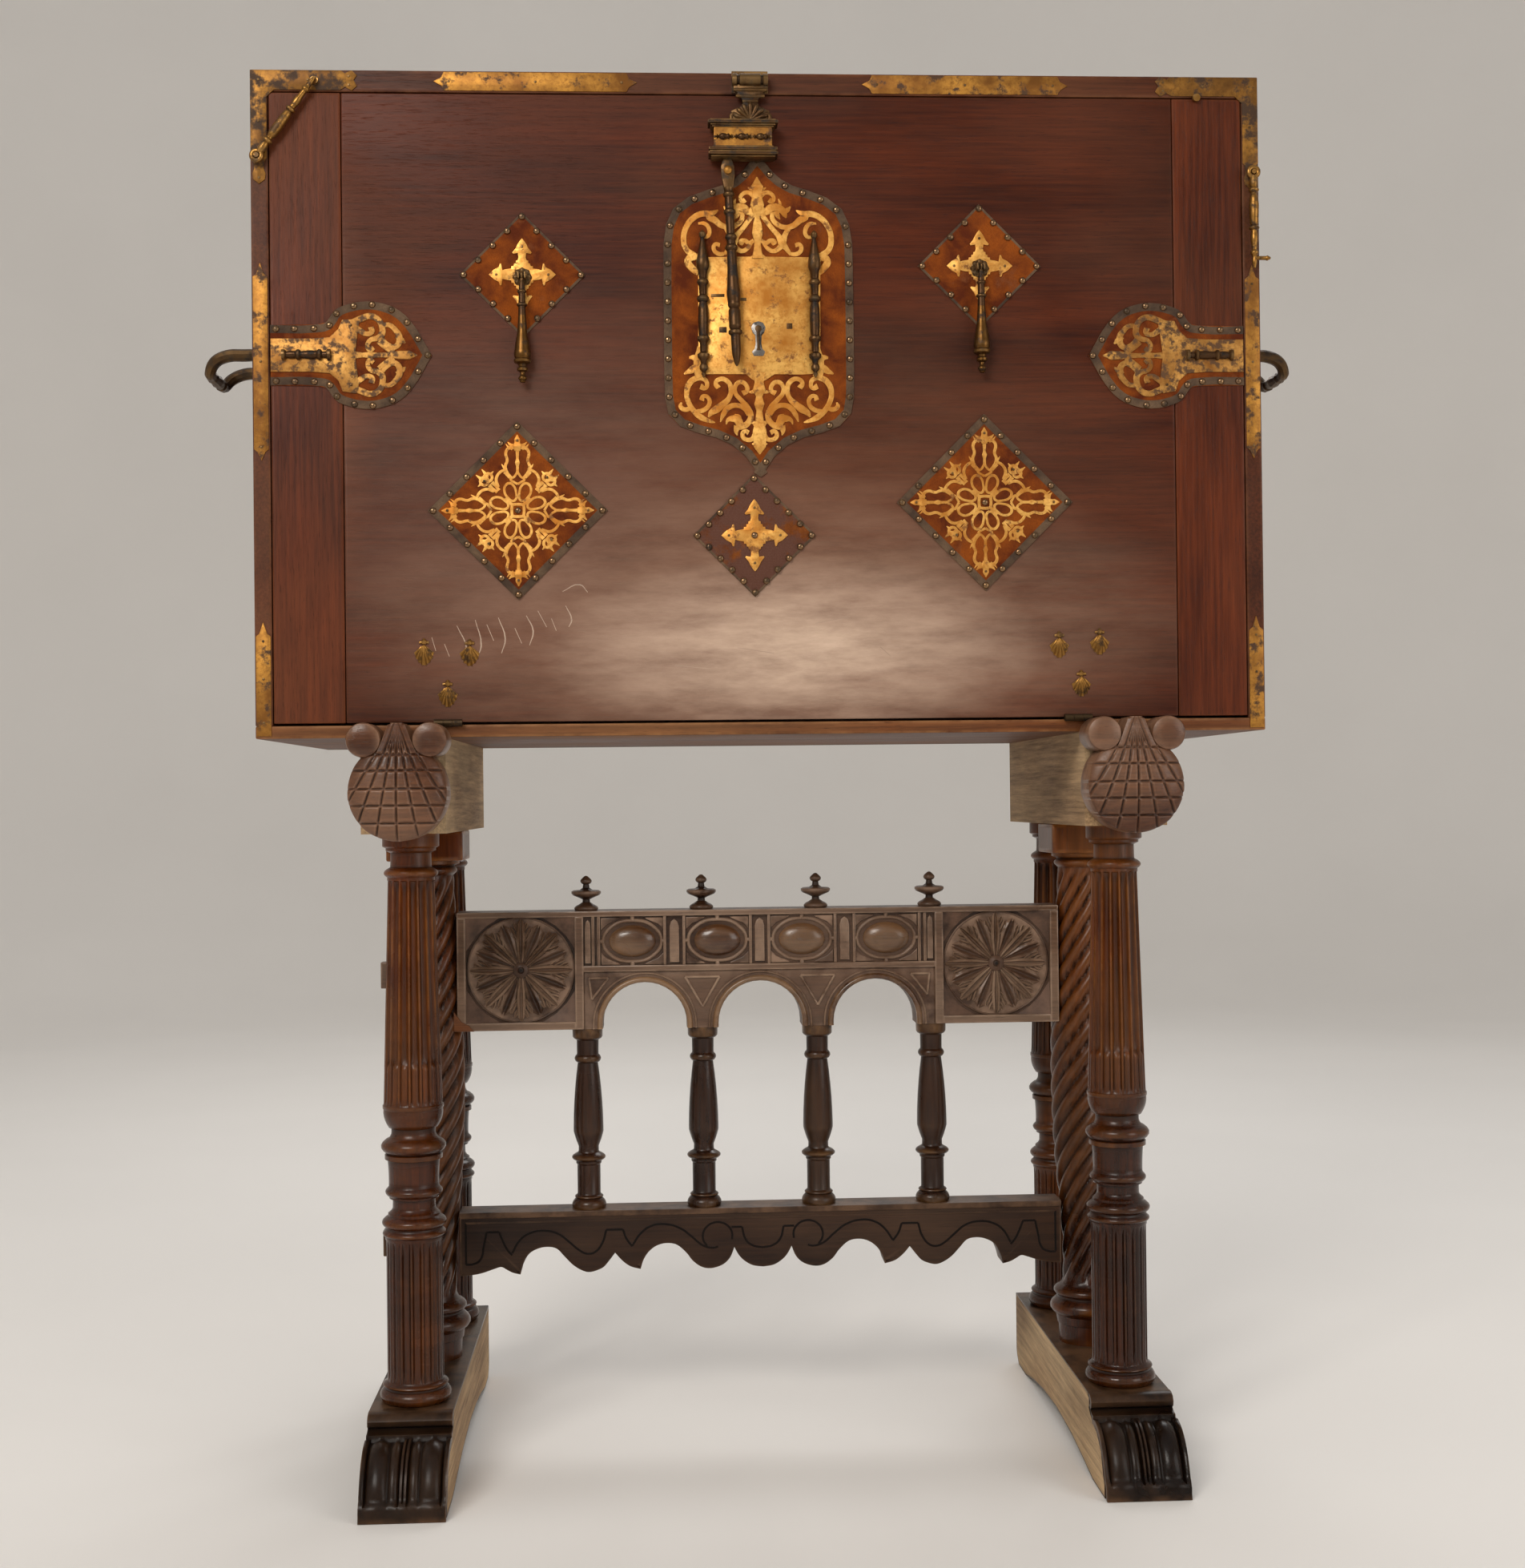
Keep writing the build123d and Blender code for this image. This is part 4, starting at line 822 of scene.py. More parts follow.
strapLook = {
    "z": 1186.5, "braid": 4.3, "braidIn": 4.4, "scrolls": 1.15, "thick": 1.3, "ease": 0.3, "rodEnd": 499
}
strapZ = strapLook["z"]
strapHalf = [
    (511, 31.5), (463, 32), (452, 34.5), (447, 40), (442, 47.5), (432, 52.5), (412, 56), (396, 54),
    (380, 47), (366, 32), (357, 17), (345, 0)
]
strapOutline = [(-x, z) for x, z in strapHalf] + [(-x, -z) for x, z in reversed(strapHalf[:-1])]
for flip in (1, -1):
    stamp(velvetBm, velvetMesh(strapOutline), frontAt(0, frontY, strapZ, 0, flip))
    inner = [(-x, z - strapLook["braidIn"]) if z > 6 else (-x - 5, 0) for x, z in strapHalf]
    for half in (1, -1):
        path = [(x, half * z, strapLook["braid"]) for x, z in inner]
        stamp(braidBm, bandMesh([path], "flat", 3), frontAt(0, frontY, strapZ, 0, flip) @ braidRise)
    tackRow = [
        (505, 27), (486, 27.4), (466, 27.6), (450, 31), (443, 43), (425, 51), (406, 52.5), (386, 47),
        (370, 34), (359, 17)
    ]
    for x, z in tackRow:
        for half in (1, -1):
            stamp(tackBm, dome, frontAt(-x * flip, velvetY - 0.4, strapZ + half * z))
    stamp(tackBm, dome, frontAt(-349 * flip, velvetY - 0.4, strapZ))
addPiece(
    "velvetGrounds", velvetBm, fallBody, rustVelvet, ["lock_velvet", "velvet_diamonds", "strap_velvets"],
)
addPiece("baldVelvetGround", baldBm, fallBody, baldVelvet, ())
addPiece("oliveBraids", braidBm, fallBody, braidCloth, ())
print("velvet and braid made")


# gilt lock plate: solid field, pierced cresting above and apron below
lockField = [
    (-63, 1289), (-50, 1289.5), (-8, 1290), (0, 1296), (8, 1290), (62, 1289.5), (66, 1288), (65, 1270),
    (64, 1185), (65, 1176), (58, 1167), (44, 1166), (16, 1166.5), (6, 1160), (0, 1158), (-8, 1161),
    (-14, 1166.5), (-60, 1166.5), (-64, 1180)
]
cresting = [
    [
        (0, 1374, 0.5), (0, 1369, 3.2), (0, 1364, 6.2), (0, 1358, 4.8), (0, 1351, 5.5), (0, 1344, 7),
        (0, 1338, 5), (0, 1331, 2.6), (0, 1325, 4.2), (0, 1315, 5.5), (0, 1305, 3.2), (0, 1297, 4),
        (0, 1288, 6)
    ],
    [(3, 1361, 2.5), (7, 1361.5, 1.4), (9.5, 1363, 0.4)],
    [
        (3, 1354, 3), (9, 1357.5, 2.3), (15, 1356, 2.1), (17.5, 1351.5, 2), (15, 1348, 2.2),
        (12.5, 1350, 2.6)
    ],
    [
        (4, 1339, 4), (9, 1337, 3.4), (14, 1341, 4.2), (20, 1342, 4), (26, 1339, 3.6), (29, 1334, 2.6),
        (30.5, 1331, 0.6)
    ],
    [(22, 1341, 3), (24, 1346, 1.8), (22.5, 1351, 0.5)],
    [(27, 1337, 3), (32, 1339.5, 2.4), (35, 1343, 0.6)],
    [(20, 1338, 3), (21.5, 1333, 2.2), (24, 1329.5, 0.5)],
    [
        (4, 1335, 2.6), (10, 1327, 2.4), (16, 1319, 2.4), (22, 1312, 2.8), (26, 1304, 4.2),
        (30, 1299, 2.6), (35, 1292, 1.4)
    ],
    [
        (16, 1337, 2.2), (16, 1330, 2.4), (21, 1324, 2.6), (29, 1321, 2.6), (38, 1323, 3),
        (44, 1328, 3.4), (50, 1333, 4), (44, 1337, 2), (41, 1339, 0.7)
    ],
    [
        (47, 1334, 3.6), (57, 1335, 3.2), (67, 1330.5, 3), (74.5, 1321, 2.8), (77.5, 1309, 2.8),
        (75, 1298, 2.8), (68, 1292, 3.2), (61, 1288, 3)
    ],
    [
        (33, 1320, 2.4), (29, 1313, 2.6), (26, 1304, 3.6), (22, 1298.5, 2.6), (16, 1296, 2.3),
        (10.5, 1299, 2.2), (6, 1304, 1.2)
    ],
    [(4, 1307, 2.2), (9, 1304.5, 2.2), (13.5, 1307, 2.3), (18, 1305.5, 2.2), (15, 1303, 1.6)],
    [(35, 1293, 2), (41, 1293, 2.3), (46, 1298, 2.2), (44, 1303, 2.1), (39.5, 1302, 2.2)],
    [(62, 1325, 1.2), (55, 1324.5, 2.2), (50.5, 1318.5, 2.2), (52, 1311.5, 2), (57, 1310.5, 1.4)],
    [(72, 1323, 2.4), (78, 1320.5, 0.5)],
    [(64, 1291, 4), (73, 1286, 3.6), (69, 1278, 3.6), (62, 1273, 3.4)]
]
apron = [
    [
        (0, 1168, 6), (0, 1158, 4.5), (0, 1150, 6.4), (0, 1143, 3.2), (0, 1135, 5.2), (0, 1128, 3),
        (0, 1118, 4.2), (0, 1106, 7), (0, 1096, 6.4), (0, 1090, 6), (0, 1082.5, 0.5)
    ],
    [(4, 1149, 2.6), (8, 1148, 1.6), (12, 1148.5, 0.5)],
    [
        (17.5, 1146.5, 2.8), (13, 1149, 2.2), (13.5, 1155, 2.2), (19.5, 1158.5, 2.3), (25, 1154, 2.2),
        (25, 1147, 2.2), (19, 1139.5, 2.4), (12, 1131.5, 2.6), (9, 1122, 2.9), (12.5, 1115, 3),
        (18, 1112, 3.3), (24, 1112.5, 4)
    ],
    [(20, 1112, 3.8), (23.5, 1119, 4.2), (28.5, 1120, 3.4), (33, 1118.5, 2), (35, 1114, 0.5)],
    [(22, 1116, 3), (21.5, 1122, 2), (26, 1124.5, 0.6)],
    [(23, 1112, 4), (24.5, 1107, 2.4), (23.5, 1102.5, 0.5)],
    [
        (42.5, 1152, 2.8), (45.5, 1157, 2.2), (41, 1161.5, 2.3), (33, 1159, 2.5), (29.5, 1150.5, 2.5),
        (31.5, 1142, 2.5), (38, 1135, 3.4), (44.5, 1130, 4), (50.5, 1126, 3), (53.5, 1121.5, 0.8)
    ],
    [
        (61.5, 1154, 3), (56.5, 1152, 2.2), (54.5, 1157, 2.1), (58.5, 1162, 2.4), (66.5, 1162, 3),
        (73.5, 1156, 3), (76, 1146, 2.6), (74, 1137, 2.6), (68.5, 1128, 2.8), (60.5, 1121, 3),
        (50.5, 1117, 1.7), (46.5, 1116, 0.5)
    ],
    [
        (60.5, 1139, 2.6), (58.5, 1143.5, 2.1), (53.5, 1142, 2), (52.5, 1135, 2.2), (57.5, 1129.5, 2.4),
        (66.5, 1127, 2.4)
    ],
    [
        (11, 1124, 2.4), (16, 1131, 2.6), (25, 1134, 2.6), (33, 1131, 2.9), (38, 1124, 2.5),
        (41, 1116.5, 0.5)
    ],
    [(72.5, 1131, 2.4), (78, 1129.5, 2.4), (82.5, 1133, 2.3), (81.5, 1137, 0.8)],
    [(3, 1113, 3), (7, 1116, 1.8), (9.5, 1115, 0.5)],
    [
        (4, 1104, 3), (8, 1098.5, 2.3), (14, 1098, 2.2), (18, 1102, 2.2), (15.5, 1107, 2),
        (11.5, 1105, 2.4)
    ],
    [(3, 1093, 3), (8, 1093.5, 0.6)],
    [(62, 1163, 4), (66, 1172, 4.6), (73, 1169.5, 2.8), (78.5, 1167, 0.8)],
    [(62, 1180, 4), (68, 1184, 3), (73, 1184, 1.2)], [(60, 1195, 4), (64, 1176, 4.4), (60, 1164, 3.4)]
]
goldBm, rodBm, steelBm = bmesh.new(), bmesh.new(), bmesh.new()
stamp(goldBm, plateMesh(lockField, lockLook["thick"], lockLook["ease"]), frontAt(lockX, velvetY, 0))
for group in (cresting, apron):
    scrolls = bandMesh(group, "flat", 5, (), lockLook["scrolls"])
    for flip in (1, -1):
        stamp(goldBm, scrolls, frontAt(lockX - 0.6, velvetY - 0.05 * flip, 0, 0, flip))

# keyhole: steel lining that flares at the bottom, with a dark plate laid on it for the hole, its darkness
# painted shade
keyLining = [
    (0, 1222), (5, 1220.5), (7.6, 1215.5), (6, 1210), (3.4, 1207), (3, 1199), (4, 1193), (7, 1190),
    (5, 1185.5)
]
keyholeShade = [(0, 1218), (3, 1216.5), (3.6, 1213.5), (1.8, 1210.5), (1.4, 1194), (2.4, 1191.5)]
stamp(steelBm, plateMesh(mirrored(keyLining), 1.2, 0.4), frontAt(lockX - 0.8, plateY + 0.4, 0))
stamp(steelBm, plateMesh(mirrored(keyholeShade), 0.5, 0.1), frontAt(lockX - 0.8, plateY - 0.7, 0), 1)

# two turned pilaster rods that stand on the plate
pilasterSteps = [
    (0, 0), (1.2, 1), (2.6, 4), (1.8, 6), (4.4, 9), (4.6, 12), (3, 15), (3.4, 18), (6.4, 21.5),
    (6.6, 24.5), (3.6, 27), (3.8, 36), (4.6, 38), (6.6, 40), (6.4, 42.5), (4.8, 44), (5.4, 60), (5, 74),
    (4, 79), (6.6, 82), (6.4, 84), (3.8, 87), (4.4, 97), (6.2, 99.5), (6, 101.5), (4, 104), (5, 112),
    (6.9, 116), (7, 121), (5, 131), (3, 141), (2, 146), (3.4, 148), (3.6, 151.5), (1.6, 154), (0, 155)
]
pilaster = turnedMesh(pilasterSteps, 16)
for side in (-1, 1):
    stamp(rodBm, pilaster, standAt(lockX + side * lockLook["rods"], plateY - 3.2, lockLook["rodFoot"]))
# small slots and square rivets in the plate
for x, z, wide, high in ((-43, 1249, 7, 1.6), (-18, 1245, 5, 1.6), (-38, 1213, 4, 3), (32, 1217, 3, 3)):
    slot = [(x - wide, z - high), (x + wide, z - high), (x + wide, z + high), (x - wide, z + high)]
    stamp(rodBm, plateMesh(slot, 0.3, 0.05), frontAt(lockX, plateY - 0.02, 0))
print("lock plate made")


# crosses with barbed arms
crossQuarter = [
    (0, 38), (2.5, 35), (5, 31), (6.6, 27.5), (10.2, 23), (9.2, 21.6), (4.4, 22.4), (3.8, 18), (4.6, 15),
    (6.4, 14.6), (6.6, 12), (8.4, 11.6), (8.8, 9), (11.2, 8.8), (11.4, 6.4), (17, 5.6), (20.4, 4.6),
    (21.6, 11.6), (23.2, 11.2), (24.4, 7.8), (29.5, 5.2), (35, 0)
]
crossOutline = crossQuarter + [(x, -y) for x, y in reversed(crossQuarter[:-1])]
crossOutline += [(-x, -y) for x, y in crossQuarter[1:]] + [(-x, y) for x, y in reversed(crossQuarter[1:-1])]
crossLook = {"thick": 1.3, "ease": 0.3, "nails": ((0, 29), (0, -29), (27, 0), (-27, 0))}
cross = plateMesh(crossOutline, crossLook["thick"], crossLook["ease"])
nail = turnedMesh([(1.5, 0), (1.3, 0.6), (0, 1.0)], 8)
for x, z in list(upperCrosses.values()) + [middleCross]:
    stamp(goldBm, cross, frontAt(x, velvetY, z))
    for a, b in crossLook["nails"]:
        stamp(rodBm, nail, frontAt(x + a, plateY - 0.1, z + b))
stamp(tackBm, dome, frontAt(middleCross[0], plateY, middleCross[1]))

# pierced rosettes: eight petals, then channels and leafy tips to the four corners
rosetteStrokes = [
    [
        (5.5, 33, 1.5), (11, 40, 1.6), (12.6, 46, 1.6), (10.6, 52, 1.5), (12, 60, 1.6), (9.5, 64.5, 1.7),
        (3, 66, 2.2)
    ],
    [(11.6, 42, 1.8), (14.5, 45.5, 1.2), (16.5, 48.5, 0.3)],
    [(0, 39, 1.6), (0, 46, 1.4), (0, 50, 2.6), (0, 54, 1.4), (0, 63, 2)], [(8, 34, 1.4), (14, 40, 1.2)],
    [(0, 62, 3), (0, 67, 4.6), (0, 71, 3), (0, 74, 3.2), (0, 79, 0.5)],
    [(2, 67, 2.6), (7, 68.5, 1.6), (10, 71.5, 0.4)], [(5, 64, 1.6), (9, 66, 1.2), (12, 69.5, 0.3)],
    [(12, 43, 1.4), (18.5, 39.5, 1.5), (22.2, 32.5, 1.6), (20, 24.5, 1.6)],
    [(43, 12, 1.4), (39.5, 18.5, 1.5), (32.5, 22.2, 1.6), (24.5, 20, 1.6)],
    [(19, 21, 1.8), (23, 26, 1.5), (26.5, 29.5, 2.2)], [(33, 38, 2), (37, 43, 0.4)],
    [(28, 37.5, 1.8), (25, 41, 0.4)], [(34.5, 32, 1.8), (38.6, 30, 0.4)]
]
rosettePetal = [
    (2.4, 11, 1.3), (1.8, 19, 1.2), (4.4, 26, 1.3), (8.6, 28.4, 1.5), (12.8, 25.6, 1.4), (13.6, 19, 1.3),
    (10, 13, 1.4), (6, 10, 1.3)
]
rosetteLoops = [
    rosettePetal,
    [(30.5 + 4.2 * math.cos(k), 34.5 + 4.2 * math.sin(k), 1.5) for k in (0, 1.57, 3.14, 4.71)],
    [(y, x, half) for x, y, half in rosettePetal],
]
rosetteSpans = [
    [(0.5, 39.5, 1.3), (3.5, 35, 1.2), (7, 32.5, 1.4), (3.5, 29.5, 1.2), (0, 27.5, 1.4)],
    [(-6, 6, 1.6), (0, 6.4, 1.5), (6, 6, 1.6)],
    [(6, 6, 1.8), (10, 10, 1.6), (13, 13, 1.6)],
]
rosetteLook = {"steps": 4, "nails": ((73, 0), (46, 41.5))}
rosette = bandMesh(rosetteStrokes + rosetteSpans, "flat", rosetteLook["steps"], rosetteLoops)
for x, z in lowerRosettes.values():
    for quarter in range(4):
        for flip in (1, -1):
            lift = 0.04 * (quarter % 2) + 0.03 * (flip + 1)  # keeps crossing bands from lying in one plane
            stamp(goldBm, rosette, frontAt(x, velvetY - lift, z, 90 * quarter, flip))
        a = math.radians(90 * quarter)
        for r, turn in rosetteLook["nails"]:
            b = a + math.radians(turn)
            stamp(rodBm, nail, frontAt(x + r * math.sin(b), plateY - 0.2, z + r * math.cos(b)))
    stamp(tackBm, dome, frontAt(x, velvetY, z))
print("crosses and rosettes made")


# straps that run in from the two edges
strapField = [
    (-510.5, -17.5), (-470, -17.5), (-450, -19), (-441, -27), (-437, -38), (-424, -40), (-420, -37),
    (-421.5, -20), (-424, 0), (-421.5, 20), (-419, 36), (-426, 37), (-437, 36.5), (-441, 27),
    (-450, 18.4), (-470, 17), (-510.5, 17)
]
strapScrolls = [
    [
        (-426, 34, 3), (-417, 38, 3), (-408, 40.5, 2.8), (-400, 37, 2.7), (-396, 29, 2.8),
        (-396.5, 21, 3), (-401, 17.5, 2.6), (-408, 15.5, 2.2), (-411, 9.5, 2.2), (-408.5, 5, 2),
        (-405, 8, 2.3)
    ],
    [(-424, 29, 3), (-418, 25, 2.6), (-412, 22, 2.3), (-406.5, 24, 2.4), (-407.5, 29, 2.7)],
    [
        (-397, 30, 2.2), (-389.5, 31.5, 2.2), (-382.5, 26.5, 2.5), (-378, 17.5, 3), (-382.5, 8.5, 2.6),
        (-390, 11, 2), (-397, 18, 2)
    ],
    [(-381, 20, 2.4), (-375, 15, 2.4), (-372, 12.5, 0.6)],
    [(-400, 14, 2.2), (-391, 7, 2.4), (-384, 3, 2.6)]
]
strapStem = [
    [
        (-425, 0, 4), (-416, 0, 2.6), (-409, 0, 3.4), (-400, 0, 2.4), (-390, 0, 2.8), (-378, 0, 4.4),
        (-368, 0, 4.6), (-360, 0, 0.6)
    ]
]
reliefSteps = [
    (0, 0), (5.6, 0.2), (5.6, 3), (3.4, 5), (4.2, 9), (3.8, 14), (5.6, 16), (5.6, 18), (3.6, 20),
    (4.6, 30), (4.2, 36), (5.8, 38), (5.8, 40), (3.2, 42), (3.6, 46), (6, 47), (6, 50), (0, 50.2)
]
relief = turnedMesh(reliefSteps, 14)
strapBm = bmesh.new()
for flip in (1, -1):
    stamp(
        strapBm, plateMesh(strapField, strapLook["thick"], strapLook["ease"]),
        frontAt(0, velvetY, strapZ, 0, flip)
    )
    stamp(strapBm, bandMesh(strapStem, "flat", 5), frontAt(0, velvetY, strapZ, 0, flip))
    half = bandMesh(strapScrolls, "flat", 5, (), strapLook["scrolls"])
    for lean in (0, 1):
        flipped = frontAt(
            0, velvetY - 0.04 * lean, strapZ, 0, flip
        ) @ Matrix.Diagonal((1, -1 if lean else 1, 1, 1))
        stamp(strapBm, half, flipped)
    laid = layAlong(-flip * strapLook["rodEnd"], plateY - 1.0, strapZ, flip)
    stamp(rodBm, relief, laid)
    for x, z in ((-428, 31), (-428, -31), (-366, 0)):
        stamp(rodBm, nail, frontAt(flip * x, plateY - 0.2, strapZ + z))
addPiece("sideStraps", strapBm, fallBody, strapGilt, ["strap_plates"], sharp=25)
addPiece("plateRods", rodBm, fallBody, brownIron, ())
addPiece(
    "goldMounts", goldBm, fallBody, goldLeaf, ["lock_plate", "cross_plates", "rosette_plates"],
    sharp=25
)
addPiece("domeTacks", tackBm, fallBody, tackIron, ["dome_tacks"])
addPiece("keyholeLining", steelBm, fallBody, [steelIron, darkIron], ())
scratchBm = bmesh.new()
scratches = [
    [(-322, 905), (-312, 880), (-316, 868)], [(-303, 911), (-297, 884), (-301, 872)],
    [(-291, 906), (-284, 889)], [(-279, 913), (-272, 891), (-276, 876)], [(-262, 902), (-255, 886)],
    [(-250, 915), (-243, 899), (-247, 884)], [(-238, 920), (-229, 903)], [(-224, 912), (-219, 899)],
    [(-209, 925), (-203, 910), (-206, 903)], [(-335, 886), (-330, 873)], [(-348, 893), (-344, 879)],
    [(-212, 940), (-194, 947), (-186, 939)], [(-30, 880), (8, 874)], [(52, 905), (88, 912)],
    [(-96, 862), (-58, 858)], [(120, 880), (133, 868)]
]
for stroke in scratches:
    drawn = [(x, z, 0.35 if k in (0, len(stroke) - 1) else 0.75) for k, (x, z) in enumerate(stroke)]
    stamp(scratchBm, bandMesh([drawn], "flat", 4), frontAt(0, frontY + 0.1, 0))
addPiece("fallScratches", scratchBm, fallBody, scratchedWood, ())
print("straps made")


# gilt iron along the front edges of the case
ironLook = {"thick": 1.1, "ease": 0.35, "sideX": 521.0, "sideHalf": 7.6, "topZ": 1472.5}
cornerOutline = [
    (-529.5, 1483), (-436, 1483), (-432, 1480), (-425, 1483.3), (-419.5, 1478), (-423, 1473),
    (-419.5, 1467), (-425, 1462), (-432, 1465.5), (-437, 1462.5), (-505, 1462.5), (-512.8, 1455),
    (-512.8, 1392), (-515.5, 1388), (-516, 1380), (-514, 1375), (-515, 1369), (-521, 1364.5),
    (-527, 1369), (-528, 1375), (-526, 1380), (-526.5, 1388), (-529.5, 1392)
]
topStrips = [(-341, -129), (107, 326)]
sideStrips = [(1077, 1283), (791.5, 910)]
ironBm, nailBm = bmesh.new(), bmesh.new()
for flip in (1, -1):
    stamp(
        ironBm, plateMesh(cornerOutline, ironLook["thick"], ironLook["ease"]),
        frontAt(0, frontY, 0, 0, flip), 1
    )
    for x, z in ((-470, 1473), (-521, 1473), (-428, 1477), (-428, 1468), (-521, 1430), (-521, 1371)):
        stamp(nailBm, nail, frontAt(flip * x, frontY - 1, z))
    for z0, z1 in sideStrips:
        # the upper strip is pointed at both ends, the lower one runs out at the chest's foot
        low, middle, half = z0 + (12 if z0 > 800 else 0), -ironLook["sideX"], ironLook["sideHalf"]
        points = [(middle, z1), (middle - 4, z1 - 12), (middle - half, z1 - 15), (middle - half, low)]
        points += [(middle - 4, low - 3), (middle, z0), (middle + 4, low - 3)] if z0 > 800 else []
        points += [(middle + half, low), (middle + half, z1 - 15), (middle + 4, z1 - 12)]
        stamp(
            ironBm, plateMesh(points, ironLook["thick"], ironLook["ease"]), frontAt(0, frontY, 0, 0, flip)
        )
        for z in (z0 + 14, (z0 + z1) / 2, z1 - 20):
            stamp(nailBm, nail, frontAt(flip * middle, frontY - 1, z))
for x0, x1 in topStrips:
    points = [
        (x0, 1472.5), (x0 + 8, 1476.5), (x0 + 11, 1482.3), (x1 - 11, 1482.3), (x1 - 8, 1476.5),
        (x1, 1472.5), (x1 - 8, 1468), (x1 - 11, 1462.8), (x0 + 11, 1462.8), (x0 + 8, 1468),
    ]
    stamp(ironBm, plateMesh(points, ironLook["thick"], ironLook["ease"]), frontAt(0, frontY, 0))
    for x in (x0 + 16, (x0 + x1) / 2, x1 - 16):
        stamp(nailBm, nail, frontAt(x, frontY - 1, ironLook["topZ"]))
addPiece("edgeIrons", ironBm, chestBody, [oldLeaf, cornerGilt], ["edge_irons"])
addPiece("edgeNails", nailBm, chestBody, darkIron, ())

# scallop studs over the hinge nails
studLook = {"ribs": 7, "reach": 23.0, "high": 4.3, "fan": 62}
studPlaces = [(-356, 875), (-309, 874), (-332, 831.5), (310, 878), (353, 881), (333, 837)]


def scallopMesh():
    # a fan of ribs: u runs across it, v from the hinge to the rim
    ribs, reach, high = studLook["ribs"], studLook["reach"], studLook["high"]
    bm = bmesh.new()
    bmesh.ops.create_grid(bm, x_segments=ribs * 6, y_segments=10, size=1)
    for vert in bm.verts:
        u, v = vert.co.x, (vert.co.y + 1) / 2
        spread = math.radians(studLook["fan"]) * u
        rib = abs(math.cos(u * ribs * math.pi / 2))
        r = reach * v * (1 - 0.16 * abs(u) - 0.05 * rib)
        rise = high * (
            0.28 + 0.72 * math.sin(math.pi * min(1, 0.12 + 0.86 * v))
        ) - 1.3 * rib * v * high / 4.3
        rise *= 1 - 0.5 * u * u
        vert.co = (r * math.sin(spread) * 0.62, 11 - r * math.cos(spread), max(0.25, rise))
    wallDown(bm)
    bmesh.ops.remove_doubles(bm, verts=bm.verts, dist=0.02)
    bmesh.ops.recalc_face_normals(bm, faces=bm.faces)
    return keepMesh(bm)


studBm = bmesh.new()
scallop = scallopMesh()
studTop = bandMesh(
    [[(-5, 13.5, 1.6), (0, 14, 2.4), (5, 13.5, 1.6)], [(0, 12, 2.4), (0, 15, 3.4), (0, 18, 1)]], "round",
    3
)
for x, z in studPlaces:
    stamp(studBm, scallop, frontAt(x, frontY, z))
    stamp(studBm, studTop, frontAt(x, frontY, z - 1))
addPiece("scallopStuds", studBm, fallBody, bronzeIron, ["scallop_studs"])
print("edge irons and studs made")


# drop pulls hung from flower bosses
pullLook = {"pinY": -201.2, "drop": 3, "petals": 8, "brightBelow": 46, "ring": (3.2, 1.35)}
bossBm = bmesh.new()
petal = bandMesh([[(0, 2.5, 1.8), (0, 5.5, 3.2), (0, 8.4, 3.1), (0, 10, 1.2)]], "round", 3)
bossDisc = turnedMesh([(9.4, 0), (9.4, 1), (8, 1.5), (0, 1.6)], 24)
bossCore = turnedMesh([(5.4, 0), (5.4, 2.2), (4.4, 2.6, 3.4), (0, 3.6)], 16)
for x, z in upperCrosses.values():
    centre = z - pullLook["drop"]
    for k in range(pullLook["petals"]):
        stamp(bossBm, petal, frontAt(x, plateY, centre, 360 / pullLook["petals"] * k))
    stamp(bossBm, bossDisc, frontAt(x, plateY, centre))
    stamp(bossBm, bossCore, frontAt(x, plateY, centre))
    for shift in (-4.4, 2.4):
        cheek = boxMesh((x + shift, -204.2, centre - 3.6), (x + shift + 2, -194, centre + 3.4), 0.7)
        stamp(bossBm, cheek, asDrawn)
    pin = turnedMesh([(2.2, -5), (2.2, -4.4), (1.3, -4.2), (1.3, 4.2), (2.2, 4.4), (2.2, 5)], 12)
    stamp(bossBm, pin, layAlong(x, pullLook["pinY"], centre))
addPiece("pullBosses", bossBm, fallBody, darkIron, ["pull_bosses"])

pullSteps = [
    (1.2, -112), (3.2, 2.6, -110), (4.6, 3.2, -105), (2.4, -103), (2.6, -101), (5.6, -99.5), (5.8, -97),
    (4, -95.5), (4.4, -93), (8.6, -91), (9.2, -88.5), (7.8, -87), (8.8, 8.2, -78), (7, 5.2, -60),
    (4.6, 4, -42), (3.8, -33), (5.6, 3.7, -29), (3.6, -26.5), (3.5, -19), (4.8, 3.3, -15), (3.1, -12),
    (2.9, -7.6), (2.1, -6), (2.1, -3.6)
]
pullTurned = turnedMesh(pullSteps, 28)
pullRing = ringMesh(*pullLook["ring"], 4)
ringTurn = Matrix.Rotation(math.pi / 2, 4, "Z") @ toFront
for side, (x, z) in upperCrosses.items():
    bm = bmesh.new()
    stamp(bm, pullTurned, standAt(x, pullLook["pinY"], z - pullLook["drop"]))
    stamp(bm, pullRing, standAt(x, pullLook["pinY"], z - pullLook["drop"], ringTurn))
    for face in bm.faces:
        if face.calc_center_median().z > (z - pullLook["brightBelow"]) * mm:
            face.material_index = 1
    addPiece(
        side + "DropPull", bm, side + "_pull", [pullIron, brownIron], [side + "_drop_pull"]
    )
print("pulls made")


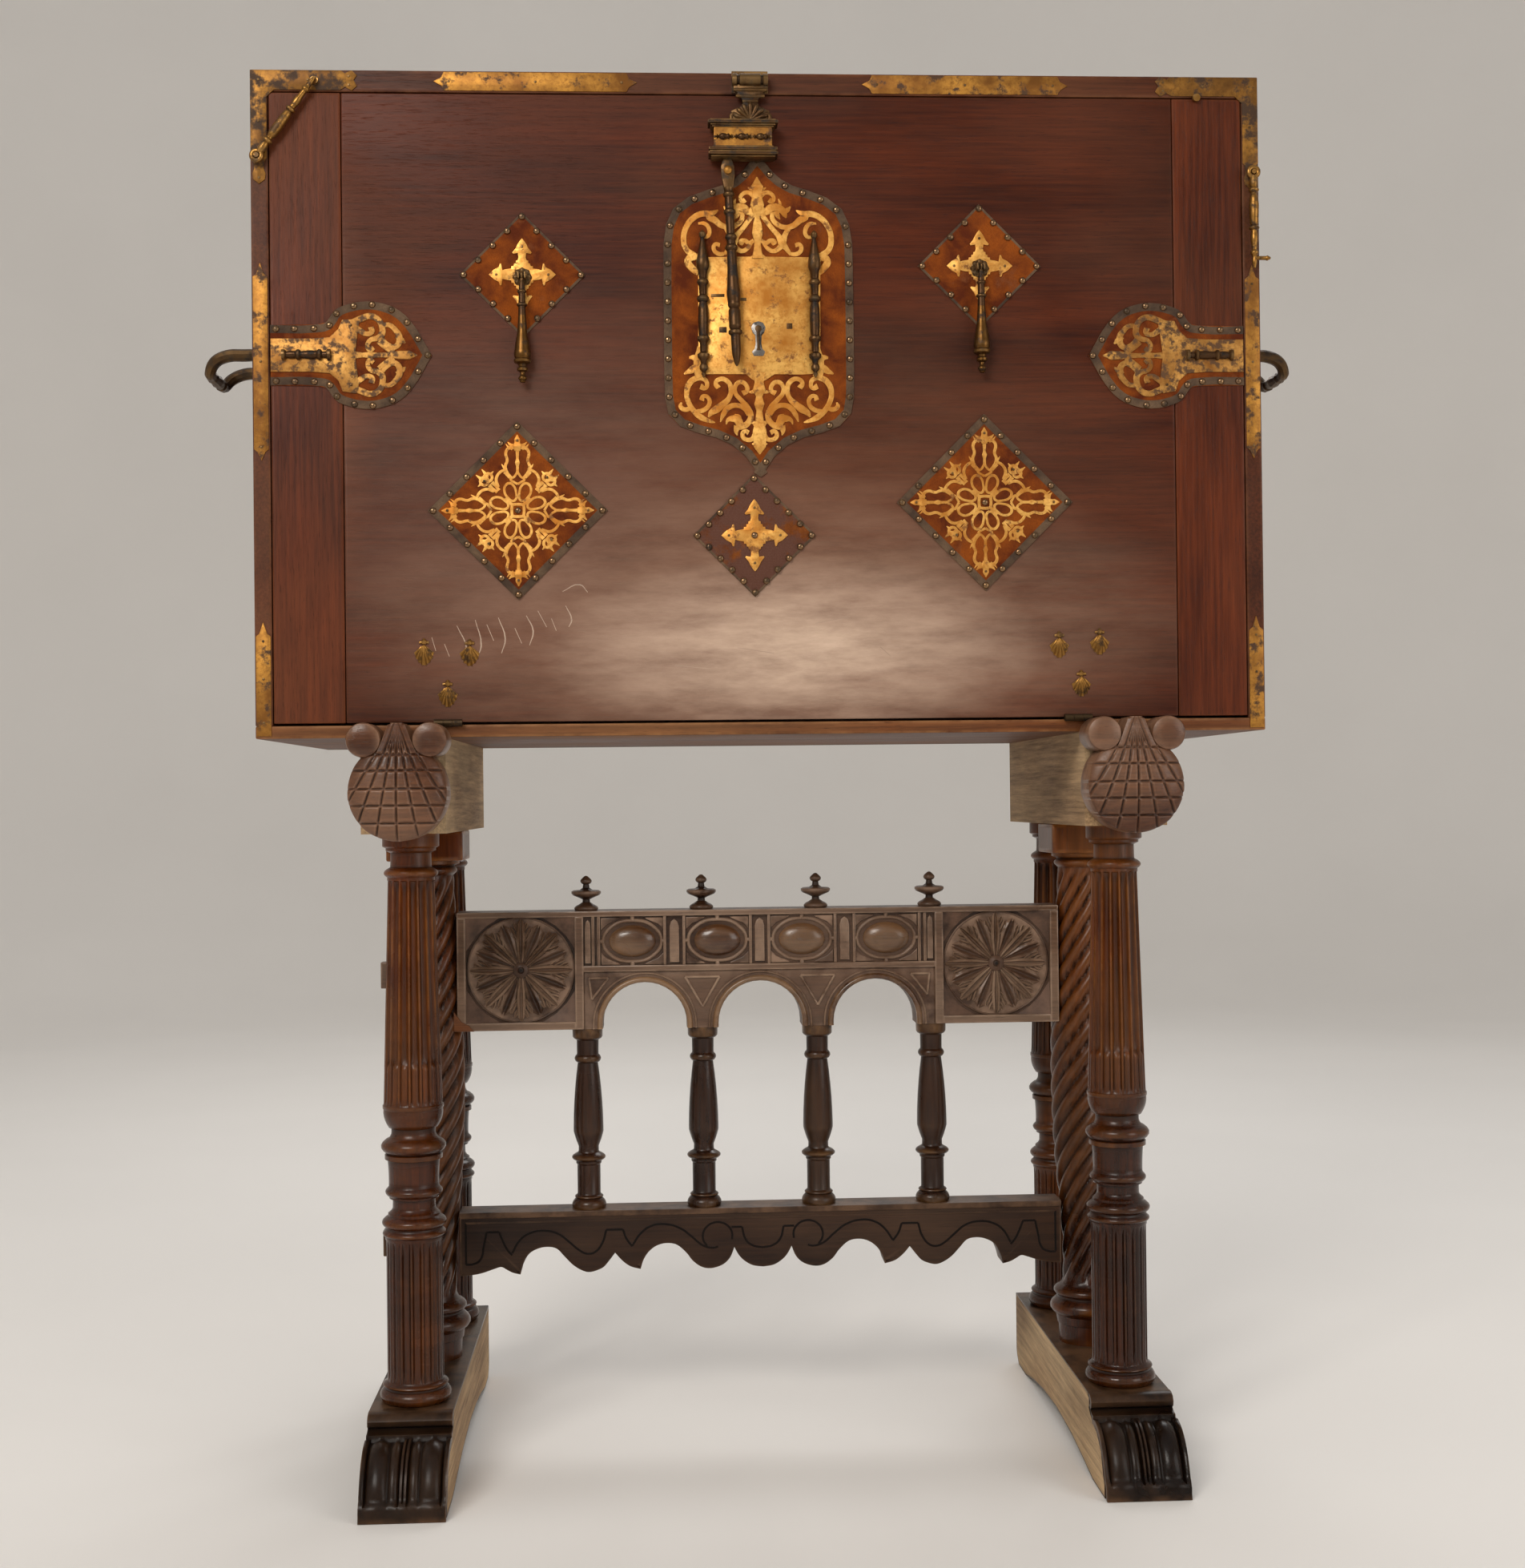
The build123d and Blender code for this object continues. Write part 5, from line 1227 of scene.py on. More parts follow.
# hasp: barrel, shell and scrolls, a moulded box with balusters, and the long turned arm
haspLook = {
    "x": -11.0, "boxX": -19.5, "axisY": -197.8, "axisZ": 1473.5, "back": -195.6,
    "armTop": (-36.0, 1389.0), "armTip": (-28.0, 1172.5), "fanStep": 24,
}
haspX, boxX, haspBack = haspLook["x"], haspLook["boxX"], haspLook["back"]
leafSlot, darkSlot, armSlot, shellSlot = range(4)
haspBm = bmesh.new()
barrelSteps = [
    (3, -19), (6.2, -18.6), (6.5, -14), (5.2, -13), (5.2, -11.6), (6.4, -10.8), (6.5, 10.8), (5.2, 11.6),
    (5.2, 13), (6.5, 14), (6.2, 18.6), (3, 19)
]
stamp(haspBm, turnedMesh(barrelSteps, 24), layAlong(haspX, haspLook["axisY"], haspLook["axisZ"]), darkSlot)
strapShape = [
    (-17, 1472), (17, 1472), (17.5, 1463), (13, 1460), (15.5, 1456.5), (9, 1454), (7.5, 1450), (9, 1446),
    (20, 1441), (19, 1432), (11, 1428), (11, 1420), (-11, 1420), (-11, 1428), (-19, 1432), (-20, 1441),
    (-9, 1446), (-7.5, 1450), (-9, 1454), (-15.5, 1456.5), (-13, 1460), (-17.5, 1463)
]
stamp(haspBm, plateMesh(strapShape, 3.2, 0.8), frontAt(haspX, haspBack, 0), shellSlot)
fan = bandMesh([[(0, 0, 1.2), (0, 8, 2.2), (0, 16, 2.8), (0, 18.5, 1.6)]], "round", 3)
for k in range(-3, 4):
    stamp(haspBm, fan, frontAt(haspX, haspBack - 2.6, 1431, -haspLook["fanStep"] * k), shellSlot)
haspCurl = [(10, 1429, 2.4), (16, 1428.5, 2.4), (20, 1432.5, 2.2), (18.5, 1437.5, 2.2), (14, 1436.5, 2)]
haspLines = [
    [(-17, 1463, 1.8), (0, 1463, 2.2), (17, 1463, 1.8)],
    [(-15, 1456.5, 1.6), (0, 1456, 2), (15, 1456.5, 1.6)],
    [(-8, 1451, 1.6), (0, 1451, 1.9), (8, 1451, 1.6)], haspCurl,
    [(-x, z, half) for x, z, half in haspCurl]
]
haspBands = bandMesh(haspLines, "round", 4)
stamp(haspBm, haspBands, frontAt(haspX, haspBack - 2.6, 0), shellSlot)
# the box is built of mouldings, lowest to highest: half width, depth, bottom, top
haspMouldings = [
    (33.5, 17, 1388.6, 1390.6), (36, 20, 1390.4, 1393.6), (34.5, 18.6, 1393.4, 1395),
    (35.6, 19.4, 1395.2, 1398.4), (31.5, 17.4, 1398.2, 1400.2), (30.2, 16.4, 1400, 1420),
    (32, 17.4, 1419.4, 1421), (33.8, 18.8, 1421, 1422.8), (36.4, 20.8, 1422.8, 1426),
    (34, 18.8, 1426, 1427.6)
]
for half, depth, z0, z1 in haspMouldings:
    moulding = boxMesh((boxX - half, haspBack - depth, z0), (boxX + half, haspBack, z1), 0.5)
    stamp(haspBm, moulding, asDrawn, leafSlot if depth < 17 else shellSlot)
spindle = turnedMesh(
    [
        (0.8, 0), (2.6, 1), (1.2, 2.4), (2.4, 4), (3.4, 3.2, 8.5), (3.6, 9), (2.4, 3.4, 13), (1.2, 14.8),
        (2.6, 16.4), (0.8, 17.4)
    ],
    14
)
for k in range(3):
    stamp(haspBm, spindle, layAlong(boxX - 28 + 19.4 * k, haspBack - 16.6, 1409.5), shellSlot)
for k in range(4):
    stamp(haspBm, nail, frontAt(boxX - 29.2 + 19.4 * k, haspBack - 16.3, 1409.5), darkSlot)
# the arm leans a little to the right as it goes down
armSteps = [
    (0.8, 0), (2.6, 3.4, 7), (4.6, 4.9, 20), (5.1, 32), (7.2, 34), (7.2, 36.5), (5.4, 38.5),
    (6.4, 6.3, 44), (6.3, 58), (5, 60.5), (6.6, 6.4, 66), (7.1, 7.2, 78), (6.2, 5.4, 100), (4.9, 120),
    (6.8, 4.8, 127), (4.6, 131), (6.2, 4.4, 138), (4.4, 143), (4.9, 158), (6.4, 4.6, 164), (4.4, 176),
    (6.2, 4.6, 182), (5.2, 186)
]
(topX, topZ), (tipX, tipZ) = haspLook["armTop"], haspLook["armTip"]
lean = math.atan2(topX - tipX, topZ - tipZ)
armPlace = standAt(tipX, haspBack - 8, tipZ, Matrix.Rotation(lean, 4, "Y"))
stamp(haspBm, turnedMesh(armSteps, 24), armPlace, armSlot)
flatArm = [
    (-4.4, 184), (4.4, 184), (5.4, 189), (7, 198), (7, 208), (5, 214), (3.4, 219), (-3.4, 219), (-5, 214),
    (-7, 208), (-7, 198), (-5.4, 189)
]
stamp(haspBm, plateMesh(flatArm, 6, 1.2), armPlace @ Matrix.Translation((0, 3, 0)) @ toFront, armSlot)
armRivet = turnedMesh([(4.4, 0), (4.2, 1.6), (2.6, 3), (0, 3.4)], 16)
stamp(haspBm, armRivet, armPlace @ Matrix.Translation((0, -3, 204)) @ toFront, leafSlot)
addPiece("haspFrontPlate", haspBm, "hasp", [oldLeaf, darkIron, brownIron, brownIron], ["hasp"])
strapBm = bmesh.new()
for low, high in (((-30, -191, 1462), (8, -189.4, 1485.4)), ((-30, -190.6, 1483.9), (8, -146, 1485.5))):
    stamp(strapBm, boxMesh(low, high, 0.5), asDrawn)
for x in (-22, 0):
    for y in (-175, -155):
        stamp(strapBm, turnedMesh([(2.4, -1.5), (2.2, -0.4), (0, 0)], 12), standAt(x, y, 1485.5))
addPiece("haspStrap", strapBm, chestBody, brownIron, ["hasp_strap"])
print("hasp made")


# catches at the top corners
catchSteps = [
    (3.0, 4), (4.2, 8), (4.6, 14), (3.6, 16.5), (5.6, 3.6, 22), (3.2, 24), (4.4, 4.8, 30), (5.2, 5.1, 40),
    (4.6, 54), (3.4, 57), (5.6, 3.4, 62), (3.2, 64.5), (4, 3.2, 76), (2.8, 83), (4.4, 2.8, 88.5),
    (2.4, 91), (2.8, 2, 99), (1.4, 102)
]
catchTurned = turnedMesh(catchSteps, 20)
# each catch: where its eye turns, and which way its rod points at rest
catchLook = {
    "y": -198, "eye": (5, 2.6), "spur": 91.4,
    "left": (-522, 1391.5, 59 / 99.4, 80 / 99.4), "right": (522, 1380, 0, -1),
}
catchEye = ringMesh(*catchLook["eye"], 5)
spur = turnedMesh([(2.2, 0), (2.2, 12), (2.8, 2.2, 15), (1.2, 17)], 14)
for side in ("left", "right"):
    x, z, dx, dz = catchLook[side]
    bm = bmesh.new()
    stamp(bm, catchTurned, standAt(x, catchLook["y"], z, Matrix.Rotation(math.atan2(dx, dz), 4, "Y")))
    stamp(bm, catchEye, frontAt(x, catchLook["y"], z))
    if side == "right":
        stamp(bm, spur, layAlong(x, catchLook["y"], z - catchLook["spur"]))
    addPiece(side + "Catch", bm, side + "_catch", bronzeIron, [side + "_catch"])
print("catches made")


# carrying handles
def tubeMesh(points, sides=3):
    curve = bpy.data.curves.new("tube", "CURVE")
    curve.dimensions = "3D"
    curve.bevel_depth = 1.0
    curve.bevel_resolution = sides
    curve.resolution_u = 6
    curve.use_fill_caps = True
    spline = curve.splines.new("BEZIER")
    spline.bezier_points.add(len(points) - 1)
    for point, (x, y, z, radius) in zip(spline.bezier_points, points):
        point.co = (x, y, z)
        point.handle_left_type = point.handle_right_type = "AUTO"
        point.radius = radius
    return meshOfCurve(curve)


handleLook = {"out": 542.5, "y": 34.5, "z": 1226.0, "eyes": 48}
handlePath = [
    (0, -48, 0, 6.2), (12, -48, 0, 6.6), (30, -48, -0.5, 7), (50, -48, -1.5, 7), (64, -46, -8, 6.8),
    (71, -38, -18, 6.4), (71.6, -27, -20, 5.8), (71.6, -21, -20, 7.0), (71.6, -17, -20, 5.6),
    (71.4, 0, -20, 7.3), (71.6, 17, -20, 5.6), (71.6, 21, -20, 7.0), (71.6, 27, -20, 5.8),
    (71, 38, -18, 6.6), (64, 46, -8, 6.8), (50, 48, -1.5, 7), (30, 48, -0.5, 7), (12, 48, 0, 6.6),
    (0, 48, 0, 6.2)
]
eyeRound = turnedMesh([(3.3, -4.4), (8, -4.4), (9.3, -3.4), (9.3, 3.4), (8, 4.4), (3.3, 4.4)], 20)
for side, sign in bothSides:
    bm = bmesh.new()
    # the two ends start at the rounds of the eyes
    path = [(x if abs(y) < 47.9 or x > 20 else max(x, 7.5), y, z, r) for x, y, z, r in handlePath]
    hinge = Matrix.Translation((sign * handleLook["out"] * mm, handleLook["y"] * mm, handleLook["z"] * mm))
    place = hinge @ Matrix.Diagonal((sign * mm, mm, mm, 1))
    stamp(bm, tubeMesh(path), place)
    for y in (-handleLook["eyes"], handleLook["eyes"]):
        stamp(bm, eyeRound, place @ Matrix.Translation((0, y, 0)) @ toFront)
    addPiece(side + "CarryHandle", bm, side + "_handle", darkIron, [side + "_handle"])
print("handles made")


# stand columns
def levelsOf(steps, spans):
    # ring levels of a turned profile, with extra rings where it is carved
    points = roundSteps(steps)
    levels = [points[0]]
    for (r0, z0), (r1, z1) in zip(points, points[1:]):
        gap = next((g for a, b, g in spans if z0 >= a and z1 <= b), None)
        count = max(1, round((z1 - z0) / gap)) if gap else 1
        levels += [(r0 + (r1 - r0) * k / count, z0 + (z1 - z0) * k / count) for k in range(1, count + 1)]
    return levels


def carvedColumn(levels, sides, shape):
    # every level is (radius, height); the shape function moves the surface in and out
    bm = bmesh.new()
    ring = bmesh.ops.create_circle(bm, cap_ends=False, segments=sides, radius=1)["verts"]
    edges = bm.edges[:]
    for number, (radius, z) in enumerate(levels):
        if number:
            grown = bmesh.ops.extrude_edge_only(bm, edges=edges)["geom"]
            ring = vertsOf(grown)
            fresh = set(ring)
            edges = [e for e in grown if isinstance(e, bmesh.types.BMEdge) and fresh.issuperset(e.verts)]
        for vert in ring:
            angle = math.atan2(vert.co.y, vert.co.x)
            r = shape(angle, z, radius)
            vert.co = (r * math.cos(angle), r * math.sin(angle), z)
    bmesh.ops.holes_fill(bm, edges=[e for e in bm.edges if e.is_boundary], sides=0)
    bmesh.ops.recalc_face_normals(bm, faces=bm.faces)
    return keepMesh(bm)


outerSteps = [
    (33, 86.8), (34.5, 87.2), (37.6, 34.6, 100), (32.6, 101.2), (32.6, 103), (34.4, 31, 108),
    (29.9, 109.5), (29.7, 110), (29.7, 257), (30.4, 258), (30.4, 261), (33.4, 31, 267.5), (29.8, 269),
    (29.8, 270.5), (34, 30.6, 281), (27.6, 283), (27.4, 285.5), (23.4, 22.6, 293), (22.4, 300.5),
    (26, 301.5), (26, 303), (30.2, 27.6, 312.5), (26.4, 314), (26.6, 27.4, 342), (30.4, 343.2),
    (30.4, 347.8), (28.4, 349), (34.4, 28.8, 364), (25.6, 365.5), (24, 23.2, 371), (23.2, 375.5),
    (26, 376.6), (30.6, 31.4, 396), (32.2, 397), (32.2, 400), (31.2, 401), (29.9, 446), (24.6, 638),
    (25.2, 639), (25.2, 642), (28.8, 25.4, 651), (21.8, 653), (21.5, 668), (26.5, 670.5), (26.5, 673),
    (30, 675), (30, 689.2)
]
standLook = {"x": 379, "Front": -130.5, "Back": 199.5, "middle": 34.5, "tenonX": 419}
outerLook = {
    "flutes": 16, "sides": 192, "cut": 4.6, "cable": 3.5, "fillet": 0.2,
    "foot": (109.9, 257.1), "shaft": (400.9, 446.5, 638.5),
}


def outerShape(angle, z, radius):
    spot = ((angle + math.pi) * outerLook["flutes"] / (2 * math.pi)) % 1
    q = abs(spot - 0.5) / (0.5 * (1 - outerLook["fillet"]))
    if q >= 1:
        return radius
    bulge = math.sqrt(1 - q * q)
    (footLow, footHigh), (cableLow, cableHigh, fluteHigh) = outerLook["foot"], outerLook["shaft"]
    if footLow < z < footHigh:
        # the drum at the foot: flutes filled with round rods
        fade = min(1, (z - footLow) / 7, (footHigh - z) / 7)
        return radius - fade * outerLook["cable"] * (1 - 0.9 * bulge)
    if cableLow < z <= cableHigh:
        # rods again at the foot of the shaft, rounded off at their tops
        fade = min(1, (z - cableLow) / 6)
        top = max(0.0, (z - 440) / 6.5)
        return radius - fade * outerLook["cable"] * (1 - 0.9 * bulge * (1 - top * top)) - 0.4 * top
    if cableHigh < z < fluteHigh:
        # above them the flutes are hollow
        fade = min(1, (fluteHigh - z) / 9)
        return radius - outerLook["cut"] * bulge * math.sqrt(max(0.0, 1 - (1 - fade) ** 2))
    return radius


plainSpans = [(293, 300.6, 2.4), (314, 342.1, 4), (653, 668.1, 2.4), (675, 689.3, 4)]
outerLevels = levelsOf(outerSteps, [(110, 257, 7.35), (401, 446, 2.5), (446, 638, 6)] + plainSpans)
outerColumn = carvedColumn(outerLevels, outerLook["sides"], outerShape)
twistSteps = [
    (33, 86.8), (33.2, 108), (35, 109), (36, 118), (42.8, 37, 136), (34.8, 138), (34.8, 140),
    (38.4, 34, 151), (30, 153), (27.4, 158), (27.2, 205), (29.6, 32, 262), (35, 37, 330),
    (38.2, 38.6, 400), (38.4, 37.4, 460), (36, 33.6, 540), (31.2, 29, 615), (28, 638), (29.4, 639.5),
    (32.4, 29, 648), (30, 649.5), (35, 651), (35, 655.5)
]
twistLook = {"reeds": 10, "sides": 156, "turn": 0.0235, "cut": 6.2, "carved": (157, 638)}


def twistShape(angle, z, radius):
    low, high = twistLook["carved"]
    if not low < z < high:
        return radius
    fade = min(1, (z - low) / 12, (high - z) / 14)
    spot = ((angle - z * twistLook["turn"]) * twistLook["reeds"] / (2 * math.pi)) % 1
    q = abs(spot - 0.5) * 2
    if q < 0.84:
        bulge = math.sqrt(max(0.0, 1 - (q / 0.84) ** 2))
    else:
        bulge = 0.28 * math.sqrt(max(0.0, 1 - ((q - 0.92) / 0.08) ** 2))  # a thin bead between two reeds
    return radius + 0.5 - fade * twistLook["cut"] * (1 - bulge)


twistColumn = carvedColumn(levelsOf(twistSteps, [(158, 638, 3.6)]), twistLook["sides"], twistShape)
for side, sign in bothSides:
    postX = sign * standLook["x"]
    for row in ("Front", "Back"):
        bm = bmesh.new()
        stamp(bm, outerColumn, standAt(postX, standLook[row], 0))
        node = side + "_" + row.lower() + "_column"
        addPiece(side + row + "Column", bm, chestBody, postWood, [node], sharp=40)
    bm = bmesh.new()
    stamp(bm, twistColumn, standAt(postX, standLook["middle"], 0))
    stamp(bm, boxMesh((postX - 43, -8.5, 655), (postX + 43, 77.5, 689), 2.2), asDrawn)
    addPiece(
        side + "TwistedColumn", bm, chestBody, postWood, [side + "_twisted_column"],
        sharp=40
    )
print("columns made")


# arcaded beam: a sunk ground with carved work planted on it; the ground takes the very dark wood, partly
# for dirt and partly as painted shade
beamLook = {
    "half": 346, "low": 460, "high": 595, "back": 56.5, "thick": 36.5, "arches": (-132.6, 0.0, 132.6),
    "spring": 464.5, "eggs": (-146, -48.6, 48.6, 146), "eggZ": 560, "rosetteX": 273.5, "rosetteZ": 528.5
}


def tenonMesh(sign, low):
    # the square end of a rail, seen on the outer side of the columns
    middle = sign * standLook["tenonX"]
    return boxMesh((middle - 15, 27.5, low), (middle + 15, 41.5, low + 30), 1)


def ovalLoop(wide, high, half, count):
    turns = [2 * math.pi * k / count for k in range(count)]
    return [[(wide * math.cos(a), high * math.sin(a), half) for a in turns]]


def archPoints(centre, radius, count=14):
    angles = [math.pi * k / count for k in range(count + 1)]
    arch = [(centre - radius * math.cos(a), beamLook["spring"] + radius * math.sin(a)) for a in angles]
    return [(centre - radius, beamLook["low"])] + arch + [(centre + radius, beamLook["low"])]


def archedOutline(half, high, radius):
    points = [(-half, high), (-half, beamLook["low"])]
    for centre in beamLook["arches"]:
        points += archPoints(centre, radius, 18)
    return points + [(half, beamLook["low"]), (half, high)]


plainSlot, brokenSlot, groundSlot, bossSlot, filletSlot = range(5)
beamBm = bmesh.new()
beamOutline = archedOutline(beamLook["half"], beamLook["high"], 48)
stamp(beamBm, plateMesh(beamOutline, beamLook["thick"], 1.0), frontAt(0, beamLook["back"], 0), groundSlot)
stamp(beamBm, plateMesh(archedOutline(202, 526, 48.2), 4.2, 0.6), frontAt(0, 20.2, 0))
frameBars = [
    (-346, 346, 588.5, 595), (-346, -336, 460, 589), (336, 346, 460, 589), (-212, -202, 460, 589),
    (202, 212, 460, 589), (-337, -211, 460, 469), (211, 337, 460, 469), (-203, 203, 525.5, 532.5)
]
for x0, x1, z0, z1 in frameBars:
    stamp(beamBm, boxMesh((x0, 12.5, z0), (x1, 21, z1), 1.2), asDrawn, filletSlot)
stamp(beamBm, boxMesh((-203, 18.2, 531), (203, 21, 590), 0.4), asDrawn)
for x in (-191, -184.5, -109, -87, -10.6, 10.6, 87, 109, 184.5, 191):
    stamp(beamBm, boxMesh((x - 1.7, 14, 532), (x + 1.7, 19, 589), 1.0), asDrawn, filletSlot)


def carve(bm, strokes, y, section="round", loops=(), flat=0.7, steps=5, place=None, both=True, index=None):
    made = bandMesh(strokes, section, steps, loops)
    for flip in (1, -1) if both else (1,):
        stamp(bm, made, (place or frontAt(0, y, 0)) @ Matrix.Diagonal((flip, 1, flat, 1)), index)


# three mouldings round each arch: a dark flat band standing for a sunk groove, its darkness painted shade;
# a roll in the brighter bosses' wood and a thin bead in the paler fillet wood, both lighter partly as
# painted highlight
archRolls = [
    (54.8, 3.6, "flat", 0.12, groundSlot), (51.4, 3.2, "round", 1.15, bossSlot),
    (58.6, 1.3, "round", 1.9, filletSlot)
]
for radius, half, section, high, index in archRolls:
    rolls = [[(x, z, half) for x, z in archPoints(c, radius)] for c in beamLook["arches"]]
    carve(beamBm, rolls, 16.3, section, flat=high, steps=4, both=False, index=index)
eggZ = beamLook["eggZ"]
ovalRing = ovalLoop(33.5, 23.6, 2.0, 8)
bars = [
    [(0, 24, 2), (0, 29, 2.6)], [(0, -24, 2), (0, -28, 2.6)], [(34, 0, 2), (38.5, 0, 2.6)],
    [(-34, 0, 2), (-38.5, 0, 2.6)]
]
egg = turnedMesh([(26.5, 0), (26.2, 24, 3.4), (20, 6), (12, 7.8), (0, 8.6)], 36)
for x in beamLook["eggs"]:
    carve(
        beamBm, [], 18, loops=ovalRing, flat=1.1, place=frontAt(x, 18, eggZ), both=False, index=filletSlot
    )
    stamp(beamBm, egg, frontAt(x, 18.6, eggZ) @ Matrix.Diagonal((1, 0.68, 1, 1)), bossSlot)
    carve(beamBm, bars, 17, flat=0.9, steps=3, place=frontAt(x, 17, eggZ), both=False, index=filletSlot)
    for a in (1, -1):
        for b in (1, -1):
            facet = [
                (a * 36, b * 27), (a * 36, b * 13), (a * 29, b * 19.5), (a * 16, b * 25), (a * 14, b * 27)
            ]
            stamp(beamBm, plateMesh(facet, 2.4, 1.0), frontAt(x, 18.4, eggZ))
for x in (-197, -98, 0, 98, 197):
    half = 3.4 if abs(x) > 190 else 5.6
    tongue = [(x - half, 535), (x + half, 535), (x + half, 576), (x + half * 0.7, 582)]
    tongue += [(x, 585), (x - half * 0.7, 582), (x - half, 576)]
    stamp(beamBm, plateMesh(tongue, 3.6, 1.4), frontAt(0, 18.6, 0), filletSlot)
triangles = [
    [(-196, 518, 1.5), (-174, 518, 1.5), (-193, 494, 1.5)],
    [(-86, 518, 1.5), (-46.6, 518, 1.5), (-66.3, 484, 1.5)]
]
for points in triangles:
    carve(
        beamBm, [[points[k], points[(k + 1) % 3]] for k in range(3)], 16.2, flat=1.7, steps=1,
        index=filletSlot
    )
    cx, cy = sum(p[0] for p in points) / 3, sum(p[1] for p in points) / 3
    # a smaller triangle of dark ground wood inside each darkens its middle with dirt and painted shade
    inner = [(cx + (x - cx) * 0.5, cy + (y - cy) * 0.5, w * 0.8) for x, y, w in points]
    carve(
        beamBm, [[inner[k], inner[(k + 1) % 3]] for k in range(3)], 16.2, "flat", flat=0.3, steps=1,
        index=groundSlot
    )
leafStrokes = [
    [(0, 8, 2), (0, 18, 3.6), (0, 28, 5), (0, 38, 5.4), (0, 46, 4.6), (0, 53, 4.2), (0, 58.5, 1.4)],
    [(3, 33, 2), (7.6, 39, 3), (10.4, 44.5, 3.2), (11.6, 49.5, 1.6)],
    [(2, 44, 2), (5.4, 49.5, 2.8), (7.4, 54, 1.6)],
]
leaf = bandMesh(leafStrokes + [[(-x, y, w) for x, y, w in stroke] for stroke in leafStrokes[1:]], "leaf", 4)
petalStrokes = [[(0, 10, 1.6), (0, 20, 4.4), (0, 32, 7.4), (0, 42, 8.4), (0, 50, 6.6), (0, 56, 2)]]
petalLeaf = bandMesh(petalStrokes, "leaf", 4)
rosetteKnob = turnedMesh([(9, 0), (9, 3.4), (7, 5.4), (4, 6.2), (3, 5), (0, 6.6)], 24)
rosetteDish = turnedMesh([(60.5, 0), (60.5, 1.2), (40, 0.5), (0, 0.4)], 48)
for sign in (-1, 1):
    centre, level = sign * beamLook["rosetteX"], beamLook["rosetteZ"]
    stamp(beamBm, rosetteDish, frontAt(centre, 20, level))
    for k in range(8):
        # the leaves take the paler fillet wood, lighter partly as painted highlight where they catch the
        # light
        stamp(beamBm, leaf, frontAt(centre, 19.2, level, 45 * k) @ raised(2.1), filletSlot)
        stamp(beamBm, petalLeaf, frontAt(centre, 20, level, 45 * k + 22.5) @ raised(1.1), plainSlot)
    ring = ovalLoop(60.4, 59.494, 1.1, 12)
    carve(beamBm, [], 19, loops=ring, flat=1.3, steps=4, place=frontAt(centre, 19, level), both=False)
    stamp(beamBm, rosetteKnob, frontAt(centre, 19.5, level), groundSlot)
    for a in (1, -1):
        for b in (1, -1):
            # a corner facet that rises to its outer tip, in the dark ground wood as painted shade for a
            # shadowed recess
            corner = bmesh.new()
            flat = [
                (a * 62.5, b * 60, 7.2), (a * 62.5, b * 22, 0.6), (a * 52, b * 38, 0.6),
                (a * 40, b * 50, 0.6), (a * 24, b * 60, 0.6)
            ]
            made = [corner.verts.new(v) for v in flat]
            below = [corner.verts.new((x, y, -1)) for x, y, z in flat]
            tip = made[0]
            for m in range(1, 4):
                corner.faces.new((tip, made[m], made[m + 1]))
            corner.faces.new(below)
            for m in range(5):
                corner.faces.new((made[m], made[(m + 1) % 5], below[(m + 1) % 5], below[m]))
            bmesh.ops.recalc_face_normals(corner, faces=corner.faces)
            stamp(beamBm, keepMesh(corner), frontAt(centre, 20, level), groundSlot)
# lighter wood where the lower left corner has broken away
broken = plateMesh([(-350, 459.8), (-327, 459.8), (-333, 467), (-341, 471), (-350, 483)], 3, 1)
stamp(beamBm, broken, frontAt(0, 14.2, 0), brokenSlot)
for sign in (-1, 1):
    stamp(beamBm, tenonMesh(sign, 509), asDrawn)
addPiece(
    "arcadedBeam", beamBm, chestBody, [beamWood, drawerWood, groundWood, eggWood, filletWood],
    ["arcade_beam"], sharp=38
)

finialSteps = [
    (4, -1), (12.6, 0), (13.4, 1), (13.2, 8.4, 7), (5.4, 9), (4.4, 9.6), (4.2, 12.6), (8, 14.4),
    (15.4, 17.5), (17, 19.6), (17, 22), (14.6, 23.2), (7.6, 23.6), (4, 26), (3.4, 30), (5.2, 31),
    (6.6, 4.6, 37), (2, 39.4), (0, 40)
]
finial = turnedMesh(finialSteps, 28)
turnedX = (-199, -66.3, 66.3, 199)
finialBm = bmesh.new()
for x in turnedX:
    stamp(finialBm, finial, standAt(x, standLook["middle"], beamLook["high"]))
addPiece("beamFinials", finialBm, chestBody, beamWood, ["finials"])

balusterSteps = [
    (18.5, 252.8), (19.6, 16.4, 263.5), (15, 264.6), (16.4, 14, 268.5), (13.2, 270), (13.3, 303),
    (14.6, 304.5), (14.6, 307), (19.4, 15.4, 315.5), (12.4, 317), (11.6, 318.5), (11.6, 324),
    (14.8, 17.2, 341), (17.2, 346), (15.6, 11.6, 420), (13.4, 421), (15.2, 12.6, 429.5), (12.4, 431),
    (12.6, 446), (15.8, 448), (17.2, 450), (17.4, 460.4)
]
baluster = turnedMesh(balusterSteps, 36)
balusterBm = bmesh.new()
for x in turnedX:
    stamp(balusterBm, baluster, standAt(x, standLook["middle"], 0))
balusterNodes = ["baluster_" + str(k) for k in range(1, 5)]
addPiece("standBalusters", balusterBm, chestBody, turnedWood, balusterNodes)
print("beam and balusters made")

